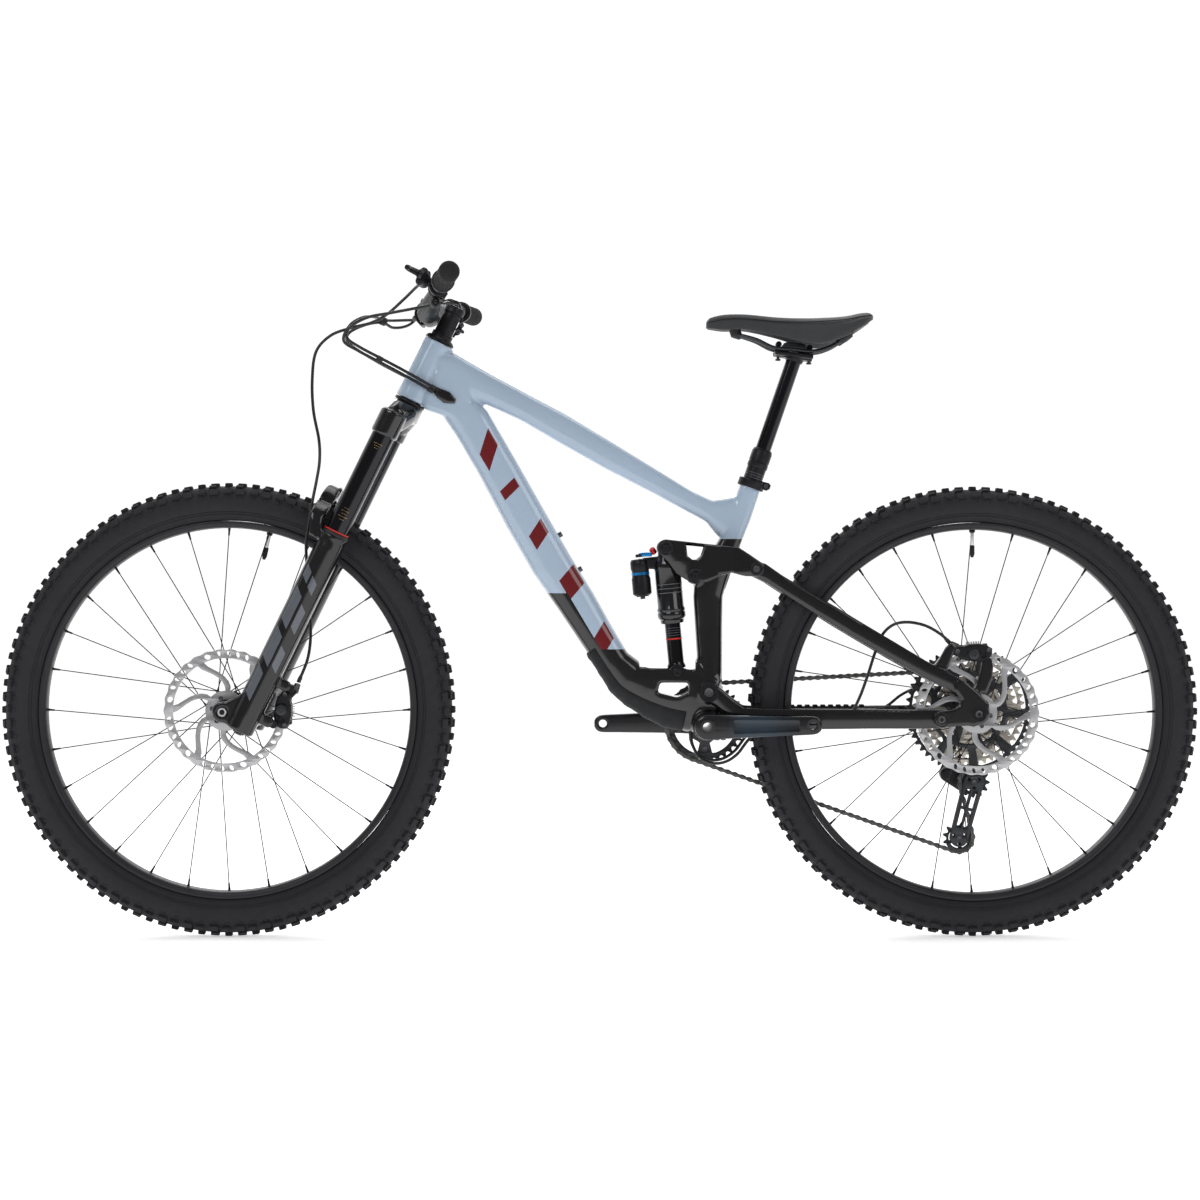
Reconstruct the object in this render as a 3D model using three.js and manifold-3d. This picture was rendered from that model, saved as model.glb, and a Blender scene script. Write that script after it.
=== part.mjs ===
// Full-suspension mountain bike, millimetres.
// +X is the rear of the bike, -Y its left side, +Z up; the origin is on the ground at mid length.
import * as THREE from 'three';
import { mergeVertices } from 'three/addons/utils/BufferGeometryUtils.js';
import Module from 'manifold-3d';

const wasm = await Module();
wasm.setup();

// ---------------------------------------------------------------- driving dimensions

const GAP = 0.35; // air between neighbouring pieces

// Wheels
const FRONT_AXLE = [-611.4, 374];
const REAR_AXLE = [614.4, 371];
const FRONT_TYRE_R = 374;
const REAR_TYRE_R = 371;
const TYRE_HALF_WIDTH = 31;
const RIM_OUTER_R = 310.7;
const RIM_INNER_R = 298.8;
const ROTOR_R = 101.5;
const FLANGE_R = 27.5;
const SPOKES_PER_SIDE = 14;
const WHEEL_SEGMENTS = 28;
const FRONT_HUB_HALF = 55;
const REAR_HUB_HALF = 74;
const FRONT_ROTOR_Y = -43;
const REAR_ROTOR_Y = -58.5;

// Steering: local frame with its origin at the crown race, z up the steerer and x to the rear
const CROWN_RACE = [-312, 883.3];
const HEAD_LEAN = THREE.MathUtils.degToRad(26);
const HEAD_TUBE_LENGTH = 107.5;
const LEG_X = -8.8;
const LEG_Y = 70;
const STANCHION_R = 19;
const LOWER_LEG_R = 23.5;
const AXLE_X = -45.8;
const AXLE_Z = -589;
const BAR_CLAMP = [-35, 140];
const BAR_BEND = [-26, 174];
const BAR_END = [1.6, 193];
const BAR_BEND_Y = 150;
const BAR_HALF = 389;
const GRIP_INNER_Y = 262;

// Seat post line: its top of seat tube and its unit direction
const SEAT_TOP = [247.5, 738.4];
const SEAT_DIRECTION = [0.3253, 0.9456];
const POST_R = 12.7;
const OUTER_TUBE_R = 15.8;

// Suspension pivots
const MAIN_PIVOT = [178.5, 404];
const ROCKER_PIVOT = [156.4, 594.9];
const STAY_PIVOT = [256.1, 606.3];
const REAR_PIVOT = [554, 362.2];
const SHOCK_TOP = [108.4, 640.4];
const SHOCK_LOW = [127.5, 436.5];
const SHOCK_STROKE = 60;

// Drive
const BOTTOM_BRACKET = [175.2, 349];
const SHELL_HALF = 36.5;
const CRANK_LENGTH = 170;
const CRANK_TILT = THREE.MathUtils.degToRad(1.3);
const SPINDLE_R = 14.5;
const CHAIN_Y = 48.5;
const CHAIN_HALF_WIDTH = 3.3;
const CHAIN_HALF_HEIGHT = 3.4;
const CHAINRING_PITCH_R = 64.7;
const COG_PITCH_R = 66.7;
const PULLEY_PITCH_R = 24;
const UPPER_PULLEY = [623.8, 250.5];
const LOWER_PULLEY = [598.8, 157];
const CAGE_PIVOT = [606, 250];
const HANGER = [624, 338];

// ---------------------------------------------------------------- making solids

// A closed three.js geometry as a solid for cutting and joining; its profile may run either way.
function solid(geometry) {
  const bare = geometry.clone();
  bare.deleteAttribute('normal');
  bare.deleteAttribute('uv');
  const merged = mergeVertices(bare, 1e-4);
  const corners = Array.from(merged.index.array);
  const triangles = [];
  for (let i = 0; i < corners.length; i += 3) {
    const [a, b, c] = corners.slice(i, i + 3);
    if (a !== b && b !== c && c !== a) triangles.push(a, b, c);
  }
  const vertProperties = merged.attributes.position.array;
  const make = (list) =>
    new wasm.Manifold(new wasm.Mesh({ numProp: 3, vertProperties, triVerts: new Uint32Array(list) }));
  const made = make(triangles);
  return made.volume() < 0 ? make(triangles.reverse()) : made;
}

function join(...solids) {
  return solids.reduce((whole, next) => whole.add(next));
}

function cut(body, ...tools) {
  return tools.reduce((rest, tool) => rest.subtract(tool), body);
}

function geometryOf(manifold) {
  const mesh = manifold.getMesh();
  const geometry = new THREE.BufferGeometry();
  const positions = new Float32Array(mesh.numVert * 3);
  for (let i = 0; i < mesh.numVert; i += 1) {
    positions.set(mesh.vertProperties.subarray(i * mesh.numProp, i * mesh.numProp + 3), i * 3);
  }
  geometry.setAttribute('position', new THREE.BufferAttribute(positions, 3));
  geometry.setIndex(Array.from(mesh.triVerts));
  return geometry;
}

function shapeOf(points) {
  return new THREE.Shape(points.map(([x, y]) => new THREE.Vector2(x, y)));
}

// An outline of (x, z) points as a plate from y low to y high.
function plate(points, low, high, holes = []) {
  const shape = shapeOf(points);
  shape.holes = holes.map(shapeOf);
  const geometry = new THREE.ExtrudeGeometry(shape, { depth: high - low, bevelEnabled: false });
  geometry.rotateX(Math.PI / 2);
  geometry.translate(0, high, 0);
  return solid(geometry);
}

// An outline of (x, y) points as a block from z low to z high.
function planBlock(points, low, high) {
  const geometry = new THREE.ExtrudeGeometry(shapeOf(points), { depth: high - low, bevelEnabled: false });
  geometry.translate(0, 0, low);
  return solid(geometry);
}

// An outline of (y, z) points as a block from x low to x high.
function frontBlock(points, low, high) {
  const geometry = new THREE.ExtrudeGeometry(shapeOf(points), { depth: high - low, bevelEnabled: false });
  geometry.rotateX(Math.PI / 2);
  geometry.rotateZ(Math.PI / 2);
  geometry.translate(low, 0, 0);
  return solid(geometry);
}

// A band in plan between two lines of (x, inner y, outer y), on one side of the bike.
function planBand(stations, side, low, high) {
  const inner = stations.map(([x, from]) => [x, from * side]);
  const outer = stations.map(([x, , to]) => [x, to * side]).reverse();
  return planBlock([...inner, ...outer], low, high);
}

// A block symmetric in plan, of half widths given as (x, half width).
function planTaper(stations, low, high) {
  const left = stations.map(([x, half]) => [x, -half]);
  const right = stations.map(([x, half]) => [x, half]).reverse();
  return planBlock([...left, ...right], low, high);
}

// A round bar between two points, of radius r at the first and endR at the second.
function rod(from, to, r, sides = 16, endR = r) {
  const start = new THREE.Vector3(...from);
  const along = new THREE.Vector3(...to).sub(start);
  const geometry = new THREE.CylinderGeometry(endR, r, along.length(), sides);
  const turn = new THREE.Quaternion().setFromUnitVectors(
    new THREE.Vector3(0, 1, 0),
    along.clone().normalize(),
  );
  geometry.applyQuaternion(turn);
  geometry.translate(...start.addScaledVector(along, 0.5).toArray());
  return solid(geometry);
}

// A round bar along Y at an (x, z) point.
function pin([x, z], low, high, r, sides = 16) {
  return rod([x, low, z], [x, high, z], r, sides);
}

// A ring along Y at an (x, z) point.
function bushing([x, z], low, high, r, boreR, sides = 20) {
  return cut(pin([x, z], low, high, r, sides), pin([x, z], low - 1, high + 1, boreR, sides));
}

// A closed profile of (radius, y) points turned about the Y line through an (x, z) point.
function turned(profile, [x, z], segments) {
  const points = [...profile, profile[0]].map(([r, y]) => new THREE.Vector2(r, y));
  const geometry = new THREE.LatheGeometry(points, segments);
  geometry.translate(x, 0, z);
  return solid(geometry);
}

// A tube of 8 sides along a smooth curve through points.
function hose(points, r, steps) {
  const curve = new THREE.CatmullRomCurve3(points.map((p) => new THREE.Vector3(...p)));
  const circle = [...Array(8).keys()].map((i) => {
    const angle = (i * Math.PI) / 4;
    return [r * Math.cos(angle), r * Math.sin(angle)];
  });
  return solid(new THREE.ExtrudeGeometry(shapeOf(circle), { steps, extrudePath: curve }));
}

// A skin through rings of points that all have the same number of points, with flat ends.
function loft(rings) {
  const count = rings[0].length;
  const positions = rings.flat(2);
  const index = [];
  for (let ring = 0; ring < rings.length - 1; ring += 1) {
    for (let i = 0; i < count; i += 1) {
      const a = ring * count + i;
      const b = ring * count + ((i + 1) % count);
      index.push(a, b, b + count, a, b + count, a + count);
    }
  }
  const last = (rings.length - 1) * count;
  for (let i = 1; i < count - 1; i += 1) {
    index.push(0, i + 1, i, last, last + i, last + i + 1);
  }
  const geometry = new THREE.BufferGeometry();
  geometry.setAttribute('position', new THREE.Float32BufferAttribute(positions, 3));
  geometry.setIndex(index);
  return solid(geometry);
}

// Points of an arc about a centre, angles in degrees.
function arc([cx, cz], r, from, to, steps) {
  return [...Array(steps + 1).keys()].map((i) => {
    const angle = THREE.MathUtils.degToRad(from + ((to - from) * i) / steps);
    return [cx + r * Math.cos(angle), cz + r * Math.sin(angle)];
  });
}

// A straight arm between two round ends, as an outline.
function armOutline(a, rA, b, rB, steps = 6) {
  const heading = THREE.MathUtils.radToDeg(Math.atan2(b[1] - a[1], b[0] - a[0]));
  return [
    ...arc(b, rB, heading - 90, heading + 90, steps),
    ...arc(a, rA, heading + 90, heading + 270, steps),
  ];
}

// ---------------------------------------------------------------- materials and the tree

function finish(color, roughness, metalness) {
  return { color, roughness, metalness };
}

const FINISHES = {
  framePaint: finish(0xa9b8d0, 0.25, 0.2),
  blackGloss: finish(0x131416, 0.25, 0.2),
  blackAnodised: finish(0x1b1c1f, 0.4, 0.6),
  blackPlastic: finish(0x1e1f21, 0.6, 0),
  guardRubber: finish(0x26282b, 0.75, 0),
  tyreRubber: finish(0x1f1f23, 0.85, 0),
  gripRubber: finish(0x17181a, 0.8, 0),
  saddleCover: finish(0x2b2c30, 0.7, 0),
  steel: finish(0xb9bbbe, 0.3, 1),
  darkSteel: finish(0x3a3b3e, 0.35, 0.9),
  cassetteSteel: finish(0xb5aea2, 0.35, 0.9),
  crankPaint: finish(0x2b3a4a, 0.3, 0.4),
  blueAnodised: finish(0x1a7ac0, 0.3, 0.6),
  hoseBlack: finish(0x141416, 0.5, 0),
};

const bike = new THREE.Group();
const steering = new THREE.Group();
steering.position.set(CROWN_RACE[0], 0, CROWN_RACE[1]);
steering.rotation.y = HEAD_LEAN;
bike.add(steering);

function place(group, name, body, finishName) {
  const mesh = new THREE.Mesh(geometryOf(body), new THREE.MeshStandardMaterial(FINISHES[finishName]));
  mesh.name = name;
  group.add(mesh);
}

// A point on the steering axis, up from the crown race.
function onSteerer(up) {
  return [CROWN_RACE[0] + up * Math.sin(HEAD_LEAN), 0, CROWN_RACE[1] + up * Math.cos(HEAD_LEAN)];
}

// A point on the seat post line, up from the top of the seat tube.
function onSeatLine(up) {
  return [SEAT_TOP[0] + up * SEAT_DIRECTION[0], 0, SEAT_TOP[1] + up * SEAT_DIRECTION[1]];
}

// A point on the shock's line, up from its lower eye.
const SHOCK_LINE = new THREE.Vector2(SHOCK_TOP[0] - SHOCK_LOW[0], SHOCK_TOP[1] - SHOCK_LOW[1]);
const SHOCK_LENGTH = SHOCK_LINE.length();
function onShock(up, y = 0) {
  const share = up / SHOCK_LENGTH;
  return [SHOCK_LOW[0] + SHOCK_LINE.x * share, y, SHOCK_LOW[1] + SHOCK_LINE.y * share];
}

// ---------------------------------------------------------------- front triangle

const POST_BORE_DEPTH = 188;
const SEAT_TUBE_R = 18;
const SEAT_TUBE_EXTRA = 15;
const SEAT_TUBE_HALF_WIDTH = 19;
const ROCKER_LUG_HALF = 18.6;
const SHOCK_WELL_HALF = 24.5;
const GUARD_THICKNESS = 3;

const TOP_TUBE_SIDE = [
  [-262, 962], [-241, 965], [-175, 925], [-58, 863], [164, 726], [194, 717], [218, 728], [236, 728],
  [223, 660], [197, 648], [192, 666], [180, 680], [164, 691], [-58, 808], [-178, 880], [-262, 930],
];
const TOP_TUBE_PLAN = [[-262, 24], [-150, 21], [150, 17], [236, 17]];
const DOWN_TUBE_PLAN = [[-284, 24], [-200, 27], [0, 30], [60, 32], [135, 32], [160, 29], [203, 29]];

// The down tube's side view; its lower edge moves out by grow where the guard covers it.
function downTubeSide(grow) {
  const guarded = [[157, 335], [116, 342], [72, 364], [43, 383], [18, 406], [2, 431], [-24, 470]];
  return [
    [-280, 900], [-262, 935], [-185, 868], [-44, 620], [-1, 552], [40, 475], [51, 460], [60, 449],
    [160, 457], [168, 466], [200, 440], [202, 400], [200, 345],
    ...guarded.map(([x, z]) => [x - 0.6 * grow, z - 0.8 * grow]),
    [-124, 620], [-198, 758], [-260, 863],
  ];
}

function downTube(grow) {
  const plan = DOWN_TUBE_PLAN.map(([x, half]) => [x, half + grow]);
  return plate(downTubeSide(grow), -60, 60).intersect(planTaper(plan, 200, 1000));
}

function frontTriangle() {
  const topTube = plate(TOP_TUBE_SIDE, -40, 40).intersect(planTaper(TOP_TUBE_PLAN, 500, 1000));
  const lowSeatTube = plate(
    [
      [236, 660], [226, 628], [218, 607], [203, 566], [202, 424],
      [161, 430], [161, 472], [153, 580], [196, 650],
    ],
    -SEAT_TUBE_HALF_WIDTH,
    SEAT_TUBE_HALF_WIDTH,
  );
  const seatTube = rod(onSeatLine(-POST_BORE_DEPTH), onSeatLine(SEAT_TUBE_EXTRA), SEAT_TUBE_R, 16);
  const headTube = rod(onSteerer(0), onSteerer(HEAD_TUBE_LENGTH), 27, 18, 25.5);
  const shell = pin(BOTTOM_BRACKET, -SHELL_HALF, SHELL_HALF, 24, 20);
  const mainLug = pin(MAIN_PIVOT, -30, 30, 17, 20);
  const rockerLug = pin(ROCKER_PIVOT, -ROCKER_LUG_HALF, ROCKER_LUG_HALF, 15, 20);
  const whole = join(topTube, downTube(0), lowSeatTube, seatTube, headTube, shell, mainLug, rockerLug);
  const well = plate([[66, 422], [157, 422], [157, 480], [66, 480]], -SHOCK_WELL_HALF, SHOCK_WELL_HALF);
  const window = plate([[96, 400], [145, 400], [145, 418], [96, 418]], -60, 60);
  const hollowed = cut(
    whole,
    rod(onSteerer(-5), onSteerer(HEAD_TUBE_LENGTH + 5), 21, 16),
    rod(onSeatLine(-POST_BORE_DEPTH + 3), onSeatLine(SEAT_TUBE_EXTRA + 5), OUTER_TUBE_R + GAP, 16),
    pin(BOTTOM_BRACKET, -60, 60, 20.9, 18),
    pin(MAIN_PIVOT, -60, 60, 6 + GAP, 12),
    pin(ROCKER_PIVOT, -60, 60, 8 + GAP + 0.1, 16),
    well,
    window,
  );
  return join(hollowed, pin(SHOCK_LOW, -28, 28, 5, 12));
}

place(bike, 'front_triangle', frontTriangle(), 'framePaint');

function downTubeGuard() {
  const side = [
    [-10, 452], [7, 460], [33, 422], [60, 391], [96, 370], [134, 357], [140, 355],
    [140, 328], [112, 334], [68, 356], [38, 376], [12, 400], [-5, 426], [-18, 446],
  ];
  const block = plate(side, -60, 60).intersect(
    planTaper(DOWN_TUBE_PLAN.map(([x, half]) => [x, half + GUARD_THICKNESS]), 200, 1000),
  );
  return cut(block, downTube(GAP), pin(BOTTOM_BRACKET, -60, 60, 24 + GAP, 20));
}

place(bike, 'downtube_guard', downTubeGuard(), 'guardRubber');

function bottomBracket() {
  const bore = SPINDLE_R + GAP;
  const half = [[bore, 42.5], [22.5, 42.5], [22.5, SHELL_HALF + GAP], [20.3, SHELL_HALF + GAP]];
  const otherHalf = half.map(([r, y]) => [r, -y]).reverse();
  return turned([...half, ...otherHalf], BOTTOM_BRACKET, 18);
}

place(bike, 'bottom_bracket', bottomBracket(), 'blackAnodised');

function seatCollar() {
  const band = rod(onSeatLine(1), onSeatLine(14), 22, 16);
  const ear = plate([[262, 738], [279, 733], [282, 744], [266, 750]], -7, 7);
  return cut(join(band, ear), rod(onSeatLine(-5), onSeatLine(30), SEAT_TUBE_R + GAP, 16));
}

place(bike, 'seat_collar', seatCollar(), 'blackAnodised');

const SEAL_HEAD_TOP = 69;

function dropperOuter() {
  const tube = rod(onSeatLine(-180), onSeatLine(40), OUTER_TUBE_R, 16);
  const head = rod(onSeatLine(38), onSeatLine(SEAL_HEAD_TOP), 17, 14);
  return cut(join(tube, head), rod(onSeatLine(-174), onSeatLine(SEAL_HEAD_TOP + 5), POST_R + GAP, 14));
}

place(bike, 'dropper_outer', dropperOuter(), 'blackAnodised');

function mainPivotAxle() {
  const shaft = pin(MAIN_PIVOT, -44, 44, 6, 12);
  return join(shaft, pin(MAIN_PIVOT, -44.3, -42.4, 9.5, 16), pin(MAIN_PIVOT, 42.4, 44.3, 9.5, 16));
}

place(bike, 'main_pivot_axle', mainPivotAxle(), 'blackAnodised');

// ---------------------------------------------------------------- fork and steering

const CROWN_LOW = -72;
const STANCHION_LOW = -408;
const LOWERS_TOP = -252;
const LOWERS_BORE_LOW = -580;
const LOWERS_LOW = -606;

function forkCrownUnit() {
  const legs = [-LEG_Y, LEG_Y].flatMap((y) => [
    rod([LEG_X, y, CROWN_LOW], [LEG_X, y, -29], 22.5, 14),
    rod([LEG_X, y, STANCHION_LOW], [LEG_X, y, -30], STANCHION_R, 14),
  ]);
  const arms = frontBlock(
    [
      [-72, -66], [-72, -31], [-34, -3], [34, -3], [72, -31],
      [72, -66], [50, -62], [24, -38], [-24, -38], [-50, -62],
    ],
    -25,
    12,
  );
  const race = rod([0, 0, -20], [0, 0, -0.6], 26, 16);
  const steerer = rod([0, 0, -10], [0, 0, 166], 19, 16, 14.3);
  return join(arms, race, steerer, ...legs);
}

place(steering, 'fork_crown_unit', forkCrownUnit(), 'blackAnodised');

// The steerer tapers, so what sits on it is bored to its radius at that height.
function steererRadius(up) {
  return 19 + ((14.3 - 19) * (up + 10)) / 176;
}

function headsetSpacers() {
  const low = HEAD_TUBE_LENGTH + GAP;
  const cover = rod([0, 0, low], [0, 0, low + 7], 25, 20, 20);
  const stack = rod([0, 0, low + 6], [0, 0, 123], 17.8, 20);
  return cut(join(cover, stack), rod([0, 0, low - 5], [0, 0, 130], steererRadius(low) + GAP, 20));
}

place(steering, 'headset_spacers', headsetSpacers(), 'blackAnodised');

const BAR_CLAMP_R = 17.5;

function stem() {
  const steererClamp = rod([0, 0, 123.4], [0, 0, 160], 19.5, 14);
  const barClamp = pin(BAR_CLAMP, -26, 26, 22.5, 14);
  const neck = plate([[-34, 124], [2, 126], [2, 157], [-34, 158]], -17, 17);
  const cap = rod([0, 0, 159], [0, 0, 172], 17.5, 14);
  return cut(
    join(steererClamp, barClamp, neck, cap),
    rod([0, 0, 115], [0, 0, 167], steererRadius(123) + GAP + 0.3, 14),
    pin(BAR_CLAMP, -60, 60, BAR_CLAMP_R + GAP + 0.2, 14),
  );
}

place(steering, 'stem', stem(), 'blackAnodised');

// Centre of the handlebar at a distance y from the middle, outside the bend.
function onBar(y) {
  const share = (Math.abs(y) - BAR_BEND_Y) / (BAR_HALF - BAR_BEND_Y);
  return [
    BAR_BEND[0] + (BAR_END[0] - BAR_BEND[0]) * share,
    y,
    BAR_BEND[1] + (BAR_END[1] - BAR_BEND[1]) * share,
  ];
}

const BAR_R = 11.1;

function handlebar() {
  const centre = pin(BAR_CLAMP, -45, 45, BAR_CLAMP_R, 14);
  const halves = [-1, 1].flatMap((side) => [
    rod([BAR_CLAMP[0], side * 40, BAR_CLAMP[1]], onBar(side * BAR_BEND_Y), 17, 12, BAR_R + 0.5),
    rod(onBar(side * (BAR_BEND_Y - 3)), onBar(side * BAR_HALF), BAR_R, 12),
  ]);
  return join(centre, ...halves);
}

place(steering, 'handlebar', handlebar(), 'blackAnodised');

for (const [name, side] of [['grip_left', -1], ['grip_right', 1]]) {
  const sleeve = rod(onBar(side * GRIP_INNER_Y), onBar(side * (BAR_HALF + 3)), 16, 12);
  const flange = rod(onBar(side * GRIP_INNER_Y), onBar(side * (GRIP_INNER_Y + 6)), 18.5, 12);
  const bore = rod(onBar(side * (GRIP_INNER_Y - 8)), onBar(side * (BAR_HALF + 0.5)), BAR_R + GAP, 12);
  place(steering, name, cut(join(sleeve, flange), bore), 'gripRubber');
}

// A clamp band round the bar at y, with something beside it.
function barClampBand(y, halfWidth, ...more) {
  const band = rod(onBar(y - halfWidth), onBar(y + halfWidth), 16, 12);
  return cut(join(band, ...more), rod(onBar(y - 30), onBar(y + 30), BAR_R + GAP, 12));
}

// A point beside the bar: forward and up in the steering frame.
function besideBar(y, forward, up) {
  const [x, , z] = onBar(y);
  return [x - forward, y, z + up];
}

const LEVER_PIVOT_Y = 226;
const LEVER_FORWARD = 36;

for (const [word, side] of [['left', -1], ['right', 1]]) {
  const cylinder = rod(besideBar(side * 177, 25, -2), besideBar(side * 214, 30, -2), 11, 10);
  const fork = rod(besideBar(side * 212, 32, -10), besideBar(side * 212, 32, 8), 9, 8);
  const bridge = rod(besideBar(side * 192, 2, 0), besideBar(side * 192, 26, -2), 9, 8);
  const body = barClampBand(side * 192, 6, bridge, cylinder, fork);
  place(steering, `brake_body_${word}`, body, 'blackAnodised');
  const pivot = besideBar(side * LEVER_PIVOT_Y, LEVER_FORWARD, 0);
  const eye = rod([pivot[0], pivot[1], pivot[2] - 7], [pivot[0], pivot[1], pivot[2] + 7], 4.6, 12);
  const blade = [[0, 0], [24, 14], [60, 16], [92, 10], [108, 12]].map(([out, forward]) => [
    pivot[0] - forward,
    pivot[1] + side * out,
    pivot[2] - out * 0.06,
  ]);
  place(steering, `brake_lever_${word}`, join(eye, hose(blade, 4.2, 10)), 'blackAnodised');
}

const SHIFTER_Y = 168;
const shifterPod = rod(besideBar(SHIFTER_Y - 8, -4, -24), besideBar(SHIFTER_Y + 12, -4, -24), 15, 12);
const shifterNeck = rod(besideBar(SHIFTER_Y, 0, -4), besideBar(SHIFTER_Y, -3, -20), 6, 8);
place(steering, 'shifter_body', barClampBand(SHIFTER_Y, 4, shifterNeck, shifterPod), 'blackPlastic');

const PADDLE_PIVOT = besideBar(SHIFTER_Y + 15, -4, -24);
const paddleHub = rod(PADDLE_PIVOT, [PADDLE_PIVOT[0], PADDLE_PIVOT[1] + 4, PADDLE_PIVOT[2]], 7, 12);
const paddleArm = hose(
  [
    [PADDLE_PIVOT[0], PADDLE_PIVOT[1] + 2, PADDLE_PIVOT[2]],
    [PADDLE_PIVOT[0] + 14, PADDLE_PIVOT[1] + 8, PADDLE_PIVOT[2] - 4],
    [PADDLE_PIVOT[0] + 27, PADDLE_PIVOT[1] + 22, PADDLE_PIVOT[2] - 2],
  ],
  3.6,
  6,
);
place(steering, 'shift_paddle', join(paddleHub, paddleArm), 'blackPlastic');

const REMOTE_Y = -166;
const remoteBarrel = rod(besideBar(REMOTE_Y - 8, -6, -22), besideBar(REMOTE_Y + 16, -6, -22), 8, 12);
const remoteNeck = rod(besideBar(REMOTE_Y, 0, -4), besideBar(REMOTE_Y, -5, -19), 5, 8);
place(steering, 'dropper_remote_body', barClampBand(REMOTE_Y, 4, remoteNeck, remoteBarrel), 'blackPlastic');

const REMOTE_PIVOT = besideBar(REMOTE_Y - 12, -6, -22);
const remoteHub = rod(REMOTE_PIVOT, [REMOTE_PIVOT[0], REMOTE_PIVOT[1] + 2.4, REMOTE_PIVOT[2]], 6.5, 12);
const remoteArm = hose(
  [
    [REMOTE_PIVOT[0], REMOTE_PIVOT[1] - 2, REMOTE_PIVOT[2]],
    [REMOTE_PIVOT[0] + 16, REMOTE_PIVOT[1] - 9, REMOTE_PIVOT[2] + 4],
    [REMOTE_PIVOT[0] + 31, REMOTE_PIVOT[1] - 24, REMOTE_PIVOT[2] + 12],
  ],
  3.3,
  6,
);
place(steering, 'dropper_paddle', join(remoteHub, remoteArm), 'blackPlastic');

function forkLowers() {
  const legs = [-LEG_Y, LEG_Y].flatMap((y) => [
    rod([LEG_X, y, LOWERS_LOW], [LEG_X, y, LOWERS_TOP], LOWER_LEG_R, 14),
    rod([LEG_X, y, LOWERS_TOP - 1], [LEG_X, y, LOWERS_TOP + 3.5], 22, 14),
  ]);
  const bores = [-LEG_Y, LEG_Y].map((y) =>
    rod([LEG_X, y, LOWERS_BORE_LOW], [LEG_X, y, LOWERS_TOP + 110], STANCHION_R + GAP + 0.1, 14),
  );
  const archSide = plate(
    [
      [-14, -275], [-33, -244], [-46, -192], [-52, -180],
      [-66, -184], [-66, -200], [-52, -240], [-38, -275],
    ],
    -100,
    100,
  );
  const archFront = frontBlock(
    [
      [-90, -276], [-90, -240], [-62, -198], [-30, -178], [30, -178], [62, -198], [90, -240], [90, -276],
      [50, -276], [46, -246], [36, -226], [20, -207], [-20, -207], [-36, -226], [-46, -246], [-50, -276],
    ],
    -80,
    0,
  );
  const dropouts = [-1, 1].map((side) => {
    const outline = [
      ...arc([AXLE_X, AXLE_Z], 17, 100, 300, 8),
      [LEG_X, LOWERS_LOW], [LEG_X + 12, LOWERS_LOW + 10], [LEG_X + 12, -540], [LEG_X - 16, -545],
    ];
    const inner = side * (FRONT_HUB_HALF + GAP);
    const outer = side * 84;
    return plate(outline, Math.min(inner, outer), Math.max(inner, outer));
  });
  return cut(
    join(...legs, archSide.intersect(archFront), ...dropouts),
    ...bores,
    pin([AXLE_X, AXLE_Z], -100, 100, 7.5 + GAP, 16),
  );
}

place(steering, 'fork_lowers', forkLowers(), 'blackGloss');

const frontAxle = join(pin([AXLE_X, AXLE_Z], -84, 88, 7.5, 16), pin([AXLE_X, AXLE_Z], 84.4, 91, 12, 16));
place(steering, 'front_axle', frontAxle, 'blackAnodised');

// A brake caliper about a rotor: an outline in (x, z), slotted for the rotor.
function caliper(outline, axle, rotorY) {
  return cut(
    plate(outline, rotorY - 17, rotorY + 15),
    pin(axle, rotorY - 2.4, rotorY + 2.4, ROTOR_R + 2, 48),
  );
}

const frontCaliper = caliper(
  [[20, -584], [44, -590], [62, -566], [62, -524], [48, -500], [30, -496], [19, -510]],
  [AXLE_X, AXLE_Z],
  FRONT_ROTOR_Y,
);
const legClearance = rod([LEG_X, -LEG_Y, -610], [LEG_X, -LEG_Y, -480], LOWER_LEG_R + 0.5, 24);
place(steering, 'front_caliper', cut(frontCaliper, legClearance), 'blackAnodised');

// ---------------------------------------------------------------- wheels

function tyre(axle, r) {
  const w = TYRE_HALF_WIDTH;
  const outer = [[RIM_OUTER_R + GAP, 15], [331, 29], [351, w], [r, 14]];
  const inner = [[r - 9, 11], [346, 25], [RIM_OUTER_R + GAP, 9]];
  const mirrored = (points) => points.map(([radius, y]) => [radius, -y]).reverse();
  return turned([...outer, ...mirrored(outer), ...mirrored(inner), ...inner], axle, WHEEL_SEGMENTS);
}

function rim(axle) {
  const profile = [
    [RIM_INNER_R, 8], [RIM_INNER_R + 4, 16], [RIM_OUTER_R, 17],
    [RIM_OUTER_R, -17], [RIM_INNER_R + 4, -16], [RIM_INNER_R, -8],
  ];
  return turned(profile, axle, WHEEL_SEGMENTS);
}

// One side's spokes, three crossings each way, with the row of nipple heads that joins them at the rim.
function spokeSet([x, z], flangeY, rimY) {
  const turnPerSpoke = (2 * Math.PI) / SPOKES_PER_SIDE;
  const fromR = FLANGE_R + 2;
  const toR = RIM_INNER_R * Math.cos(Math.PI / WHEEL_SEGMENTS) - 3;
  const headSection = [[toR, rimY - 1.5], [toR - 2.5, rimY], [toR, rimY + 1.5]];
  const headRow = turned(headSection, [x, z], SPOKES_PER_SIDE);
  const spokes = [...Array(SPOKES_PER_SIDE).keys()].map((i) => {
    const way = i % 2 ? 1 : -1;
    const start = i * turnPerSpoke;
    const end = start + way * 3 * turnPerSpoke;
    return rod(
      [x + fromR * Math.cos(start), flangeY + way * 2.2, z + fromR * Math.sin(start)],
      [x + toR * Math.cos(end), rimY, z + toR * Math.sin(end)],
      0.95,
      3,
    );
  });
  return join(headRow, ...spokes);
}

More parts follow.
